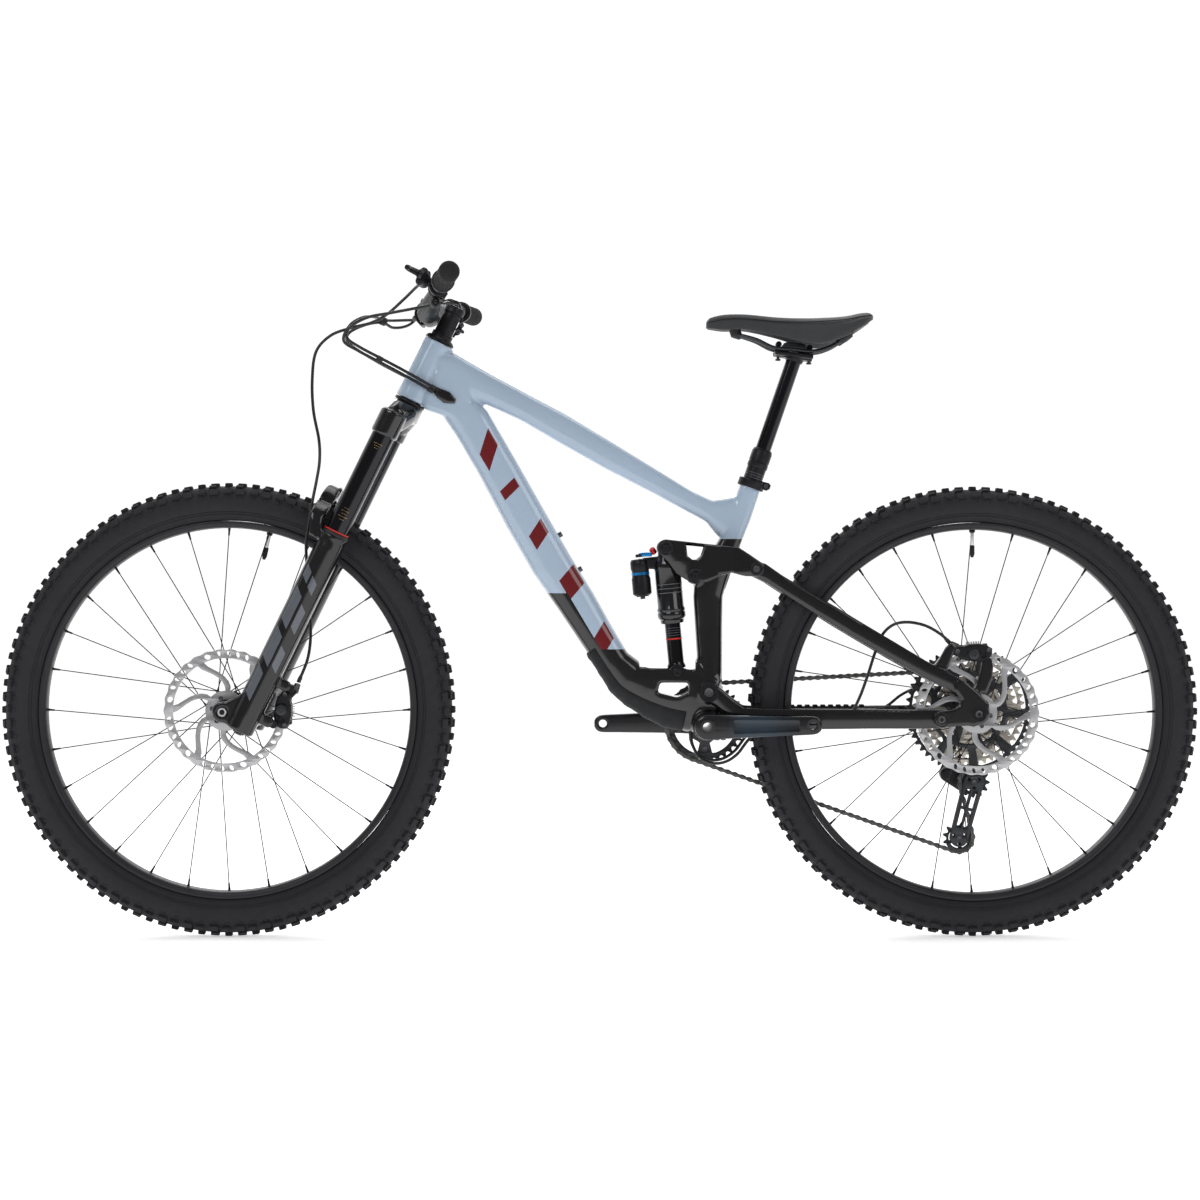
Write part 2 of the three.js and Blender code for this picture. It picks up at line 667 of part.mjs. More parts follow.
function rotor(axle, y) {
  const arms = 6;
  const windows = [...Array(arms).keys()].map((i) => {
    const start = (i * 360) / arms;
    return [...arc(axle, 83, start + 8, start + 52, 3), ...arc(axle, 27, start + 62, start + 38, 2)];
  });
  const circle = arc(axle, ROTOR_R, 0, 348, 29);
  const bore = arc(axle, 16.7, 0, 330, 11);
  return plate(circle, y - 0.9, y + 0.9, [...windows, bore]);
}

function placeWheel(word, axle, tyreR, flanges, hub, rotorY) {
  place(bike, `${word}_tyre`, tyre(axle, tyreR), 'tyreRubber');
  place(bike, `${word}_rim`, rim(axle), 'blackAnodised');
  place(bike, `${word}_spokes_left`, spokeSet(axle, flanges[0], -6), 'darkSteel');
  place(bike, `${word}_spokes_right`, spokeSet(axle, flanges[1], 6), 'darkSteel');
  place(bike, `${word}_hub`, hub, 'blackAnodised');
  place(bike, `${word}_rotor`, rotor(axle, rotorY), 'steel');
}

const frontHub = turned(
  [
    [7.9, -FRONT_HUB_HALF], [12, -FRONT_HUB_HALF], [15.5, -46], [15.5, -41.6], [22, -41.6], [22, -34],
    [FLANGE_R, -32], [FLANGE_R, -28], [15, -24], [15, 30], [FLANGE_R, 33], [FLANGE_R, 37],
    [14, 42], [12, FRONT_HUB_HALF], [7.9, FRONT_HUB_HALF],
  ],
  FRONT_AXLE,
  14,
);
placeWheel('front', FRONT_AXLE, FRONT_TYRE_R, [-30, 35], frontHub, FRONT_ROTOR_Y);

const rearHub = turned(
  [
    [6.4, -REAR_HUB_HALF], [12, -REAR_HUB_HALF], [15.5, -62], [15.5, -57.1], [23, -57.1], [23, -40],
    [FLANGE_R, -37], [FLANGE_R, -33], [17, -28], [17, 16], [FLANGE_R, 20], [FLANGE_R, 24],
    [17, 28], [17, 72], [12, REAR_HUB_HALF], [6.4, REAR_HUB_HALF],
  ],
  REAR_AXLE,
  14,
);
placeWheel('rear', REAR_AXLE, REAR_TYRE_R, [-35, 22], rearHub, REAR_ROTOR_Y);

// Cogs from the largest inward: the chain runs on the fourth.
const COG_TEETH = [51, 45, 39, 33, 28, 24, 21, 18, 16, 14, 12, 10];
const COG_PITCH = 2.95;
const CHAIN_COG = 3;
const LARGEST_COG_Y = CHAIN_Y - CHAIN_COG * COG_PITCH;
const PLAIN_COGS = [0, 1, 2, 3, 5, 7, 9, 12]; // where the plain stepped solid steps down

function cassette() {
  const radiusPerTooth = COG_PITCH_R / COG_TEETH[CHAIN_COG];
  const steps = PLAIN_COGS.slice(0, -1).flatMap((cog, i) => {
    const root = COG_TEETH[cog] * radiusPerTooth - CHAIN_HALF_HEIGHT - 0.9;
    const chainRoom = (number) => (number <= CHAIN_COG ? 2.2 : 0);
    const edge = (number) => LARGEST_COG_Y + number * COG_PITCH - 1.4 - chainRoom(number);
    return [[root, edge(cog)], [root, edge(PLAIN_COGS[i + 1])]];
  });
  const inner = [[17.4, LARGEST_COG_Y + 12 * COG_PITCH - 1.4], [17.4, 45], [92, LARGEST_COG_Y - 3.6]];
  return turned([...steps, ...inner], REAR_AXLE, 20);
}

place(bike, 'cassette', cassette(), 'cassetteSteel');

// ---------------------------------------------------------------- saddle and post

const CRADLE = [[286, 956.5], [303, 953.5], [350, 946], [352, 958.4], [286, 964.2]];

const postTop = join(
  rod(onSeatLine(6), onSeatLine(232), POST_R, 14),
  plate(CRADLE, -29, 29),
  rod(onSeatLine(220.5), onSeatLine(232), 15, 12, 17),
);
place(bike, 'dropper_stanchion', postTop, 'blackGloss');

const RAIL_HALF = [
  [402, 27, 984], [378, 24, 970], [352, 22, 963.2], [318, 22, 966.1],
  [286, 22, 968.9], [258, 17, 982], [232, 8, 990],
];
const OTHER_RAIL_HALF = RAIL_HALF.map(([x, y, z]) => [x, -y, z]).reverse();
const rails = hose([...RAIL_HALF, [224, 0, 991.5], ...OTHER_RAIL_HALF], 3.5, 26);
place(bike, 'saddle_rails', rails, 'darkSteel');

// Saddle stations from the nose: x, half width, top, side edge, underside.
const SADDLE_STATIONS = [
  [175, 12, 1012, 1003, 1004], [184, 18, 1020, 1001, 1003], [205, 21, 1025, 998, 1001],
  [240, 24, 1025, 999, 1003], [290, 31, 1020, 988, 1001], [330, 45, 1018, 976, 1000],
  [365, 62, 1018, 972, 1000], [400, 71, 1020, 984, 1001],
  [428, 70, 1026, 1000, 1006], [442, 58, 1027, 1010, 1013], [449, 38, 1023, 1014, 1015],
];

function saddleRing([x, half, top, edge, under]) {
  const side = (edge + top) / 2;
  const right = [
    [0, top - 1], [half * 0.45, top], [half * 0.8, top - 4], [half, side],
    [half * 0.98, edge], [half * 0.84, edge + 1], [half * 0.5, under], [0, under],
  ];
  const left = right.slice(1, -1).map(([y, z]) => [-y, z]).reverse();
  return [...right, ...left].map(([y, z]) => [x, y, z]);
}

place(bike, 'saddle', loft(SADDLE_STATIONS.map(saddleRing)), 'saddleCover');

// ---------------------------------------------------------------- rear suspension

// A stay's outline seen from the side, kept to its band in plan.
function stay(outline, stations, side) {
  return plate(outline, -120, 120).intersect(planBand(stations, side, 100, 1000));
}

// Hose and housing routes at the rear, from the down tube through the chainstays.
const HOSE_R = 2.5;
const REAR_HOSE_ROUTE = [
  [150, -24, 335], [152, -27, 318], [163, -31, 298], [183, -34, 288], [205, -37, 290], [225, -39, 303],
  [242, -39.5, 325], [262, -39.5, 344], [285, -40.5, 355], [340, -44, 361], [388, -48, 363], [410, -50, 372],
  [424, -48, 396], [438, -42, 432], [450, -38.5, 468], [462, -40, 498], [480, -46, 515], [504, -50, 519],
  [532, -54, 513], [556, -58, 499], [571, -58.5, 484.6],
];
const SHIFT_ROUTE = [
  [150, 24, 335], [152, 27, 318], [163, 31, 298], [183, 34, 288], [205, 37, 290], [225, 39, 303],
  [242, 39.5, 325], [262, 39.5, 344], [285, 40.5, 355], [340, 44, 361], [410, 50, 361], [450, 55, 364],
  [480, 62, 376], [505, 70, 394], [530, 82, 404], [556, 90, 404], [600, 94, 394], [640, 96, 368],
  [656, 95, 334], [645, 92, 302], [628, 89, 287], [607.5, 87, 283],
];

const CHAINSTAY_SIDE = [
  ...arc(MAIN_PIVOT, 16, 200, 60, 8),
  [240, 378], [545, 378], ...arc(REAR_PIVOT, 16, 80, -80, 8), [230, 342], [200, 364],
];
const CHAINSTAY_PLAN = [
  [160, 30.4, 42], [250, 34.5, 42.5], [330, 37, 50], [430, 46, 58], [505, 61, 73.6], [580, 61, 73.6],
];

function chainstay() {
  const arms = [-1, 1].map((side) => stay(CHAINSTAY_SIDE, CHAINSTAY_PLAN, side));
  const yoke = plate([[208, 352], [236, 346], [237, 376], [209, 396]], -36, 36);
  const channelR = HOSE_R + GAP + 0.2;
  return cut(
    join(...arms, yoke),
    hose(REAR_HOSE_ROUTE, channelR, 28),
    hose(SHIFT_ROUTE, channelR, 28),
    pin(MAIN_PIVOT, -60, 60, 6 + GAP, 12),
    pin(REAR_PIVOT, -90, 90, 6.6, 12),
  );
}

place(bike, 'chainstay', chainstay(), 'blackGloss');

const SEATSTAY_SIDE = [
  ...arc(STAY_PIVOT, 13, 230, 60, 6),
  [296, 597], [389, 543], [529, 458], [592, 423], [586, 404], [530, 427], [389, 508], [285, 574],
];
const SEATSTAY_PLAN = [
  [240, 28, 38.6], [277, 28, 38.6], [279, 36, 47], [430, 40, 50], [530, 61.5, 73], [568, 64, 83], [600, 64, 83],
];
const DROPOUT_SIDE = [
  [566, 438], [592, 423], [631, 387],
  ...arc(REAR_AXLE, 17, 20, -60, 4),
  [600, 352], ...arc(REAR_PIVOT, 13, 280, 130, 5),
];
const DROPOUT_BAND = [74.4, 83];
const BRAKE_TAB = [
  [545, 446], [552, 468], [577, 456], [612, 440],
  [640, 424], [640, 402], [600, 412], [560, 436],
];
const BRAKE_TAB_ROOT = [[584, 404], [628, 396], [636, 412], [600, 424]];
const HANGER_SIDE = armOutline([616, 362], 10, HANGER, 11);

// A plate on one side of the bike, at a band of distances from the middle.
function sidePlate(outline, [near, far], side) {
  return side < 0 ? plate(outline, -far, -near) : plate(outline, near, far);
}

for (const [word, side] of [['left', -1], ['right', 1]]) {
  const pivotPin = side < 0 ? pin(REAR_PIVOT, -80, -61, 6, 12) : pin(REAR_PIVOT, 61, 80, 6, 12);
  const tube = stay(SEATSTAY_SIDE, SEATSTAY_PLAN, side);
  const dropout = sidePlate(DROPOUT_SIDE, DROPOUT_BAND, side);
  const lugs = side < 0
    ? [plate(BRAKE_TAB, -73.5, -62), plate(BRAKE_TAB_ROOT, -78, -66)]
    : [plate(HANGER_SIDE, DROPOUT_BAND[0], 81)];
  const bores = [pin(REAR_AXLE, -100, 100, 6 + GAP, 12), pin(HANGER, 60, 100, 5 + GAP, 12)];
  place(bike, `seatstay_${word}`, cut(join(tube, dropout, pivotPin, ...lugs), ...bores), 'blackGloss');
}

const rearAxle = join(pin(REAR_AXLE, -86, 84, 6, 12), pin(REAR_AXLE, -90, -83.4, 10, 16));
place(bike, 'rear_axle', rearAxle, 'blackAnodised');

const rearCaliper = caliper(
  [[566, 474], [580, 492], [612, 486], [644, 464], [642, 444], [612, 448], [580, 462]],
  REAR_AXLE,
  REAR_ROTOR_Y,
);
const tabClearance = plate(BRAKE_TAB.map(([x, z]) => [x, z + 1]), -74.5, -61);
place(bike, 'rear_caliper', cut(rearCaliper, tabClearance), 'blackAnodised');

const ROCKER_SIDE = [
  ...arc(SHOCK_TOP, 14, 215, 80, 6),
  [226, 641], ...arc(STAY_PIVOT, 13, 70, -100, 7),
  [216, 604], [176, 586], ...arc(ROCKER_PIVOT, 14, -40, -130, 3), [118, 608],
];
const ROCKER_PLAN = [[90, 27.5, 35], [150, 27.5, 35], [218, 39.1, 46], [275, 39.1, 46]];
const ROCKER_WINDOW = [[143, 645], [171, 640], [164, 622], [150, 622]];

function rocker() {
  const plates = [-1, 1].map((side) => stay(ROCKER_SIDE, ROCKER_PLAN, side));
  const bosses = [-1, 1].map((side) => {
    const near = side * (SEAT_TUBE_HALF_WIDTH + GAP);
    const far = side * 31;
    return pin(ROCKER_PIVOT, Math.min(near, far), Math.max(near, far), 12, 16);
  });
  const axle = pin(ROCKER_PIVOT, -30, 30, 8, 16);
  return join(cut(join(...plates), plate(ROCKER_WINDOW, -60, 60)), ...bosses, axle);
}

place(bike, 'rocker', rocker(), 'blackGloss');

const CAN_LOW = 80;
const CAN_HIGH = 190;
const SHAFT_R = 13;

function shockShaft() {
  const eye = pin(SHOCK_LOW, -SHOCK_WELL_HALF + 0.5, SHOCK_WELL_HALF - 0.5, 13, 20);
  const shaft = rod(onShock(9), onShock(CAN_HIGH - 12 - SHOCK_STROKE - 8), SHAFT_R, 16);
  return cut(join(eye, shaft), pin(SHOCK_LOW, -40, 40, 5.6, 12));
}

place(bike, 'shock_shaft', shockShaft(), 'steel');

function shockBody() {
  const can = rod(onShock(CAN_LOW), onShock(CAN_HIGH), 22, 20);
  const neck = rod(onShock(CAN_HIGH - 5), onShock(SHOCK_LENGTH), 14, 16);
  const trunnion = pin(SHOCK_TOP, -27, 27, 11, 16);
  const reservoir = rod([71, 0, 560], [65, 0, 624], 17, 16);
  const bridge = plate([[72, 606], [112, 606], [110, 622], [70, 622]], -9, 9);
  const bore = rod(onShock(CAN_LOW - 5), onShock(CAN_HIGH - 12), SHAFT_R + GAP, 16);
  return cut(join(can, neck, trunnion, reservoir, bridge), bore);
}

place(bike, 'shock_body', shockBody(), 'blackAnodised');

const LEVER_BASE = [65, -9, 624.4];
const leverKnob = rod(LEVER_BASE, [64.4, -9, 630], 6, 12);
const leverArm = rod([66, -11, 628], [84, -19, 630], 2.4, 8);
place(bike, 'shock_lever', join(leverKnob, leverArm), 'blueAnodised');

// ---------------------------------------------------------------- cranks and drive

// The crank centre to pedal distance runs rearward on the left and forward on the right.
function pedalEnd(side) {
  const reach = -side * CRANK_LENGTH;
  const [x, z] = BOTTOM_BRACKET;
  return [x + reach * Math.cos(CRANK_TILT), z + reach * Math.sin(CRANK_TILT)];
}

function crank(side) {
  const end = pedalEnd(side);
  const way = -side;
  const x0 = BOTTOM_BRACKET[0];
  const stations = [
    [x0 - way * 30, 64, 80], [x0 + way * 22, 64, 82], [x0 + way * 60, 72, 87], [x0 + way * 110, 78, 92],
    [end[0] - way * 22, 80, 94], [end[0] + way * 25, 80, 94],
  ];
  const arm = stay(armOutline(BOTTOM_BRACKET, 21, end, 15), stations, side);
  const pedalHole = pin(end, -120, 120, 7.1, 16);
  if (side < 0) {
    const boss = pin(BOTTOM_BRACKET, -78, -SHELL_HALF - 7, 20, 20);
    return cut(join(arm, boss), pedalHole, pin(BOTTOM_BRACKET, -76, 0, SPINDLE_R + GAP, 20));
  }
  const boss = pin(BOTTOM_BRACKET, 51, 78, 20, 20);
  const spindle = pin(BOTTOM_BRACKET, -74, 60, SPINDLE_R, 20);
  return cut(join(arm, boss, spindle), pedalHole);
}

place(bike, 'crank_left', crank(-1), 'crankPaint');
place(bike, 'crank_right', crank(1), 'crankPaint');

function chainring() {
  const root = CHAINRING_PITCH_R - CHAIN_HALF_HEIGHT - 0.9;
  const arms = 4;
  const windows = [...Array(arms).keys()].map((i) => {
    const start = (i * 360) / arms;
    return [
      ...arc(BOTTOM_BRACKET, 48, start + 12, start + 78, 3),
      ...arc(BOTTOM_BRACKET, 27, start + 68, start + 22, 2),
    ];
  });
  const rimCircle = arc(BOTTOM_BRACKET, root, 0, 350, 35);
  const bore = arc(BOTTOM_BRACKET, SPINDLE_R + GAP + 0.2, 0, 337.5, 15);
  return plate(rimCircle, CHAIN_Y - 1.5, CHAIN_Y + 1.5, [...windows, bore]);
}

place(bike, 'chainring', chainring(), 'darkSteel');

// Round-and-straight path of a chain over circles, each turned clockwise (+1) or not (-1) in the side view.
function chainPath(circles, stepDegrees) {
  const count = circles.length;
  const runs = circles.map((a, i) => {
    const b = circles[(i + 1) % count];
    const dx = b.at[0] - a.at[0];
    const dz = b.at[1] - a.at[1];
    const heading = Math.atan2(dz, dx) - Math.asin((a.way * a.r - b.way * b.r) / Math.hypot(dx, dz));
    return { heading, a, b };
  });
  return circles.flatMap((circle, i) => {
    const arriving = runs[(i + count - 1) % count].heading;
    const leaving = runs[i].heading;
    const start = THREE.MathUtils.radToDeg(arriving) + 90 * circle.way;
    let end = THREE.MathUtils.radToDeg(leaving) + 90 * circle.way;
    while ((start - end) * circle.way < 0) end -= 360 * circle.way;
    while ((start - end) * circle.way > 360) end += 360 * circle.way;
    const steps = Math.max(2, Math.round(Math.abs(start - end) / stepDegrees));
    return arc(circle.at, circle.r, start, end, steps);
  });
}

const CHAIN_CIRCLES = [
  { at: BOTTOM_BRACKET, r: CHAINRING_PITCH_R, way: 1 },
  { at: REAR_AXLE, r: COG_PITCH_R, way: 1 },
  { at: UPPER_PULLEY, r: PULLEY_PITCH_R, way: -1 },
  { at: LOWER_PULLEY, r: PULLEY_PITCH_R, way: 1 },
];

function chain() {
  const loop = (by, halfWidth) => {
    const circles = CHAIN_CIRCLES.map((c) => ({ ...c, r: c.r + by * c.way }));
    return plate(chainPath(circles, 14), CHAIN_Y - halfWidth, CHAIN_Y + halfWidth);
  };
  return cut(loop(CHAIN_HALF_HEIGHT, CHAIN_HALF_WIDTH), loop(-CHAIN_HALF_HEIGHT, CHAIN_HALF_WIDTH + 1));
}

place(bike, 'chain', chain(), 'darkSteel');

const PULLEY_R = PULLEY_PITCH_R - CHAIN_HALF_HEIGHT - 0.7;
for (const [name, centre] of [['pulley_upper', UPPER_PULLEY], ['pulley_lower', LOWER_PULLEY]]) {
  place(bike, name, bushing(centre, CHAIN_Y - 3.2, CHAIN_Y + 3.2, PULLEY_R, 3.4, 14), 'blackPlastic');
}

const CAGE_INNER_Y = [42.2, 44.4];
const CAGE_OUTER_Y = [52.8, 55];

function derailleurCage() {
  const side = armOutline(UPPER_PULLEY, 17, LOWER_PULLEY, 15, 6);
  const knuckle = armOutline(CAGE_PIVOT, 14, UPPER_PULLEY, 12, 5);
  const inner = plate(side, ...CAGE_INNER_Y);
  const outer = join(plate(side, ...CAGE_OUTER_Y), plate(knuckle, ...CAGE_OUTER_Y));
  const pulleys = [UPPER_PULLEY, LOWER_PULLEY];
  const bolts = pulleys.map((at) => pin(at, CAGE_INNER_Y[0], CAGE_OUTER_Y[1], 2.9, 10));
  const pivot = pin(CAGE_PIVOT, CAGE_OUTER_Y[0], 68, 6, 12);
  const slot = armOutline([617, 226], 5, [606, 184], 5, 4);
  return cut(join(inner, outer, ...bolts, pivot), plate(slot, 30, 70));
}

place(bike, 'derailleur_cage', derailleurCage(), 'blackAnodised');

function derailleurBody() {
  const lower = plate(armOutline(CAGE_PIVOT, 16, [582, 262], 14), 55.5, 76);
  const link = plate(armOutline([582, 262], 14, [606, 318], 12), 62, 90);
  const upper = plate(armOutline([606, 318], 12, HANGER, 12), 81.5, 94);
  const bolt = pin(HANGER, 72, 92, 5, 12);
  return cut(join(lower, link, upper, bolt), pin(CAGE_PIVOT, 50, 69, 6 + GAP, 12));
}

place(bike, 'derailleur_body', derailleurBody(), 'blackAnodised');

// ---------------------------------------------------------------- hoses and cables

place(bike, 'rear_brake_hose', hose(REAR_HOSE_ROUTE, HOSE_R, 28), 'hoseBlack');
place(bike, 'shift_housing_rear', hose(SHIFT_ROUTE, HOSE_R, 28), 'hoseBlack');

// Routes in the steering frame: forward of the bar and down to the fork or the head tube's ports.
const FRONT_HOSE_ROUTE = [
  [-50, -171, 173.5], [-58, -142, 166], [-72, -105, 140], [-88, -82, 108], [-106, -76, 84], [-132, -76, 62],
  [-156, -78, 36], [-165, -82, 2], [-150, -88, -41], [-126, -92, -85], [-97, -92, -124], [-82, -86, -154],
  [-74, -74, -184], [-68, -60, -213], [-60, -48, -246], [-50, -41, -280], [-34, -39.5, -312], [-12, -39.5, -352],
  [12, -41, -392], [28, -42, -424], [38, -43, -456], [41, -44, -495],
];
const DROPPER_CABLE_ROUTE = [
  [-20.3, -149.4, 152], [-26, -135, 149], [-48, -118, 134], [-82, -108, 110], [-112, -103, 88], [-132, -90, 62],
  [-131, -70, 45], [-108, -56, 41], [-72, -47, 40], [-36, -41, 39], [4, -34, 37], [31, -29.5, 35],
];
const SHIFT_CABLE_ROUTE = [
  [-21, 159.4, 150.5], [-26, 140, 148], [-44, 112, 138], [-72, 76, 120], [-98, 36, 103], [-112, -6, 98],
  [-124, -52, 88], [-134, -84, 66], [-134, -74, 38.5], [-108, -56, 34.5], [-72, -47, 33.5], [-36, -41, 32.5],
  [4, -34, 30.5], [30, -29.5, 28.5],
];
const REAR_BRAKE_CABLE_ROUTE = [
  [-50, 171, 173.5], [-54, 142, 166], [-58, 112, 142], [-66, 80, 114], [-84, 54, 98], [-102, 30, 96.5],
  [-124, 16, 80], [-143, 22, 56], [-136, 34, 41], [-86, 40, 35], [-34, 38, 33], [4, 33.5, 33], [30, 29.5, 33],
];

function cableBundle() {
  const cables = [DROPPER_CABLE_ROUTE, SHIFT_CABLE_ROUTE, REAR_BRAKE_CABLE_ROUTE];
  const pairClip = rod([-66, -45.6, 36.6], [-78, -48.6, 37], 6.4, 8);
  const crossClip = rod([-98, 33, 99.5], [-108, 25, 98.5], 7.5, 8);
  return join(...cables.map((route) => hose(route, HOSE_R, 17)), pairClip, crossClip);
}

place(steering, 'front_brake_hose', hose(FRONT_HOSE_ROUTE, HOSE_R, 28), 'hoseBlack');
place(steering, 'cable_bundle', cableBundle(), 'hoseBlack');

export default bike;
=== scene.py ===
# Full-suspension mountain bike: the looks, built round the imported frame.
# Pieces are drawn in millimetres in the frame's own axes and stored in metres.
# +X is the rear of the bike, -Y its left side, +Z up.
import math

import bmesh
import bpy
from mathutils import Matrix, Vector


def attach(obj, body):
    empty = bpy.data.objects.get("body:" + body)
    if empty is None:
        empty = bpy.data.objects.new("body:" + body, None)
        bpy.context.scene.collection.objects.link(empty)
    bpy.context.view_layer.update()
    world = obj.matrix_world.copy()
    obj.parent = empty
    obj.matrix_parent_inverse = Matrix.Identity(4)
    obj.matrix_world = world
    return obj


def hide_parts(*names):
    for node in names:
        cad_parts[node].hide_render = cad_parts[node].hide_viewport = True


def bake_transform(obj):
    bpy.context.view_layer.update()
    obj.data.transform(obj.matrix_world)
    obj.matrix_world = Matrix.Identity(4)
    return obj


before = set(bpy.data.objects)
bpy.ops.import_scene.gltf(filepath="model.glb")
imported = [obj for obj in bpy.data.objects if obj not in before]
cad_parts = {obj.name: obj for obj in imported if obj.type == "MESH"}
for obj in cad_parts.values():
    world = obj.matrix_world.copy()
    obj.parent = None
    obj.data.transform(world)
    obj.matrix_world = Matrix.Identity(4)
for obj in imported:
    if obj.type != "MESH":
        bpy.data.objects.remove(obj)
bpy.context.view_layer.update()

MM = 0.001

# ------------------------------------------------------------------ sizes shared with the frame

STEER_ORIGIN = Vector((-312, 0, 883.3))
HEAD_LEAN = math.radians(26)
HEAD_TUBE_LENGTH = 107.5
LEG_X, LEG_Y = -8.8, 70
FRONT_AXLE, REAR_AXLE = (-611.4, 374), (614.4, 371)
BAR_CLAMP, BAR_BEND, BAR_END = (-35, 140), (-26, 174), (1.6, 193)
BAR_BEND_Y, BAR_HALF, GRIP_INNER_Y = 150, 389, 262
SEAT_TOP = Vector((247.5, 0, 738.4))
SEAT_DIRECTION = Vector((0.3253, 0, 0.9456))
MAIN_PIVOT, ROCKER_PIVOT, STAY_PIVOT, REAR_PIVOT = (178.5, 404), (156.4, 594.9), (256.1, 606.3), (554, 362.2)
SHOCK_TOP, SHOCK_LOW = (108.4, 640.4), (127.5, 436.5)
BOTTOM_BRACKET, CRANK_LENGTH, CRANK_TILT = (175.2, 349), 170, math.radians(1.3)
CHAIN_Y, CHAINRING_PITCH_R, COG_PITCH_R, PULLEY_PITCH_R = 48.5, 64.7, 66.7, 24
UPPER_PULLEY, LOWER_PULLEY, CAGE_PIVOT, HANGER = (623.8, 250.5), (598.8, 157), (606, 250), (624, 338)
HOSE_R = 2.5
FRONT_TYRE_R, REAR_TYRE_R, FRONT_ROTOR_Y, REAR_ROTOR_Y = 374, 371, -43, -58.5

# ------------------------------------------------------------------ camera, light and floor


def add_camera():
    data = bpy.data.cameras.new("camera")
    data.lens = 80
    data.sensor_width = 36
    data.shift_y = -0.0375
    camera = bpy.data.objects.new("camera", data)
    camera.location = (0.0005, -4.4, 0.6286)
    camera.rotation_euler = (math.radians(90), 0, 0)
    bpy.context.collection.objects.link(camera)
    bpy.context.scene.camera = camera


def add_area(name, location, target, size, power):
    data = bpy.data.lights.new(name, "AREA")
    data.shape = "RECTANGLE"
    data.size, data.size_y = size
    data.energy = power
    lamp = bpy.data.objects.new(name, data)
    lamp.location = location
    lamp.rotation_euler = (Vector(target) - Vector(location)).to_track_quat("-Z", "Y").to_euler()
    bpy.context.collection.objects.link(lamp)


def graded(nodes, links, source, given, wanted, target):
    """Feeds a target with a source whose given range is stretched to the wanted one."""
    node = nodes.new("ShaderNodeMapRange")
    for name, value in zip(("From Min", "From Max", "To Min", "To Max"), (*given, *wanted)):
        node.inputs[name].default_value = value
    links.new(source, node.inputs["Value"])
    links.new(node.outputs["Result"], target)


# How strongly the sky shines in front of the bike and behind it, and where it changes over.
STUDIO_DIM, STUDIO_BRIGHT, HORIZON = 0.17, 1.05, (-0.25, 0.35)


def add_world():
    """A studio that is bright behind and above the bike and dim on the side it is seen from."""
    world = bpy.data.worlds.new("studio")
    world.use_nodes = True
    nodes, links = world.node_tree.nodes, world.node_tree.links
    background = nodes["Background"]
    split = nodes.new("ShaderNodeSeparateXYZ")
    links.new(nodes.new("ShaderNodeTexCoord").outputs["Generated"], split.inputs[0])
    strengths = (STUDIO_DIM, STUDIO_BRIGHT)
    graded(nodes, links, split.outputs["Y"], HORIZON, strengths, background.inputs["Strength"])
    background.inputs["Color"].default_value = (1.0, 1.0, 1.0, 1)
    bpy.context.scene.world = world
    bpy.context.scene.view_settings.view_transform = "Standard"


# In front of the bike the floor fades, so that black parts have little to reflect.
FADE_FROM, FADE_TO, FLOOR_DIM, FLOOR_REACH = -6.0, -3.2, 0.3, 60.0


def add_floor():
    """A pale floor that fades in front of the bike."""
    mesh = bpy.data.meshes.new("floor")
    corners = [(x * FLOOR_REACH, y * FLOOR_REACH, 0) for x, y in ((-1, -1), (1, -1), (1, 1), (-1, 1))]
    mesh.from_pydata(corners, [], [(0, 1, 2, 3)])
    floor = bpy.data.objects.new("floor", mesh)
    bpy.context.collection.objects.link(floor)
    material = bpy.data.materials.new("floor_paper")
    material.use_nodes = True
    shader = material.node_tree.nodes["Principled BSDF"]
    shader.inputs["Roughness"].default_value = 0.9
    shader.inputs["Emission Color"].default_value = (1.0, 1.0, 1.0, 1)
    nodes, links = material.node_tree.nodes, material.node_tree.links
    split = nodes.new("ShaderNodeSeparateXYZ")
    links.new(nodes.new("ShaderNodeTexCoord").outputs["Object"], split.inputs[0])
    for target, dim, bright in (("Base Color", FLOOR_DIM, 0.93), ("Emission Strength", 0.0, 0.47)):
        graded(nodes, links, split.outputs["Y"], (FADE_FROM, FADE_TO), (dim, bright), shader.inputs[target])
    mesh.materials.append(material)


add_camera()
add_world()
add_floor()
add_area("key_light", (-2.2, -3.6, 3.4), (0, 0, 0.5), (2.6, 1.8), 62)
add_area("fill_light", (3.0, -3.2, 2.4), (0, 0, 0.5), (2.4, 1.8), 34)
add_area("top_light", (0, 0.6, 4.0), (0, 0, 0.4), (3.6, 2.2), 44)
add_area("rear_light", (-1.0, 3.2, 2.6), (0, 0, 0.6), (3.0, 1.6), 40)

# ------------------------------------------------------------------ shader maths


class Value:
    """A number in a node tree that takes part in ordinary arithmetic."""

    def __init__(self, tree, socket):
        self.tree = tree
        self.socket = socket

    def maths(self, operation, *others):
        node = self.tree.nodes.new("ShaderNodeMath")
        node.operation = operation
        for slot, item in zip(node.inputs, (self, *others)):
            if isinstance(item, Value):
                self.tree.links.new(item.socket, slot)
            else:
                slot.default_value = item
        return Value(self.tree, node.outputs[0])

    def __add__(self, other):
        return self.maths("ADD", other)

    def __sub__(self, other):
        return self.maths("SUBTRACT", other)

    def __mul__(self, other):
        return self.maths("MULTIPLY", other)

    def __gt__(self, other):
        return self.maths("GREATER_THAN", other)

    def __lt__(self, other):
        return self.maths("LESS_THAN", other)

    def between(self, low, high):
        return (self > low) * (self < high)

    def ramp(self, low, high):
        node = self.tree.nodes.new("ShaderNodeMapRange")
        self.tree.links.new(self.socket, node.inputs["Value"])
        node.inputs["From Min"].default_value = low
        node.inputs["From Max"].default_value = high
        return Value(self.tree, node.outputs["Result"])


NOISE_ROUGHNESS = 0.55


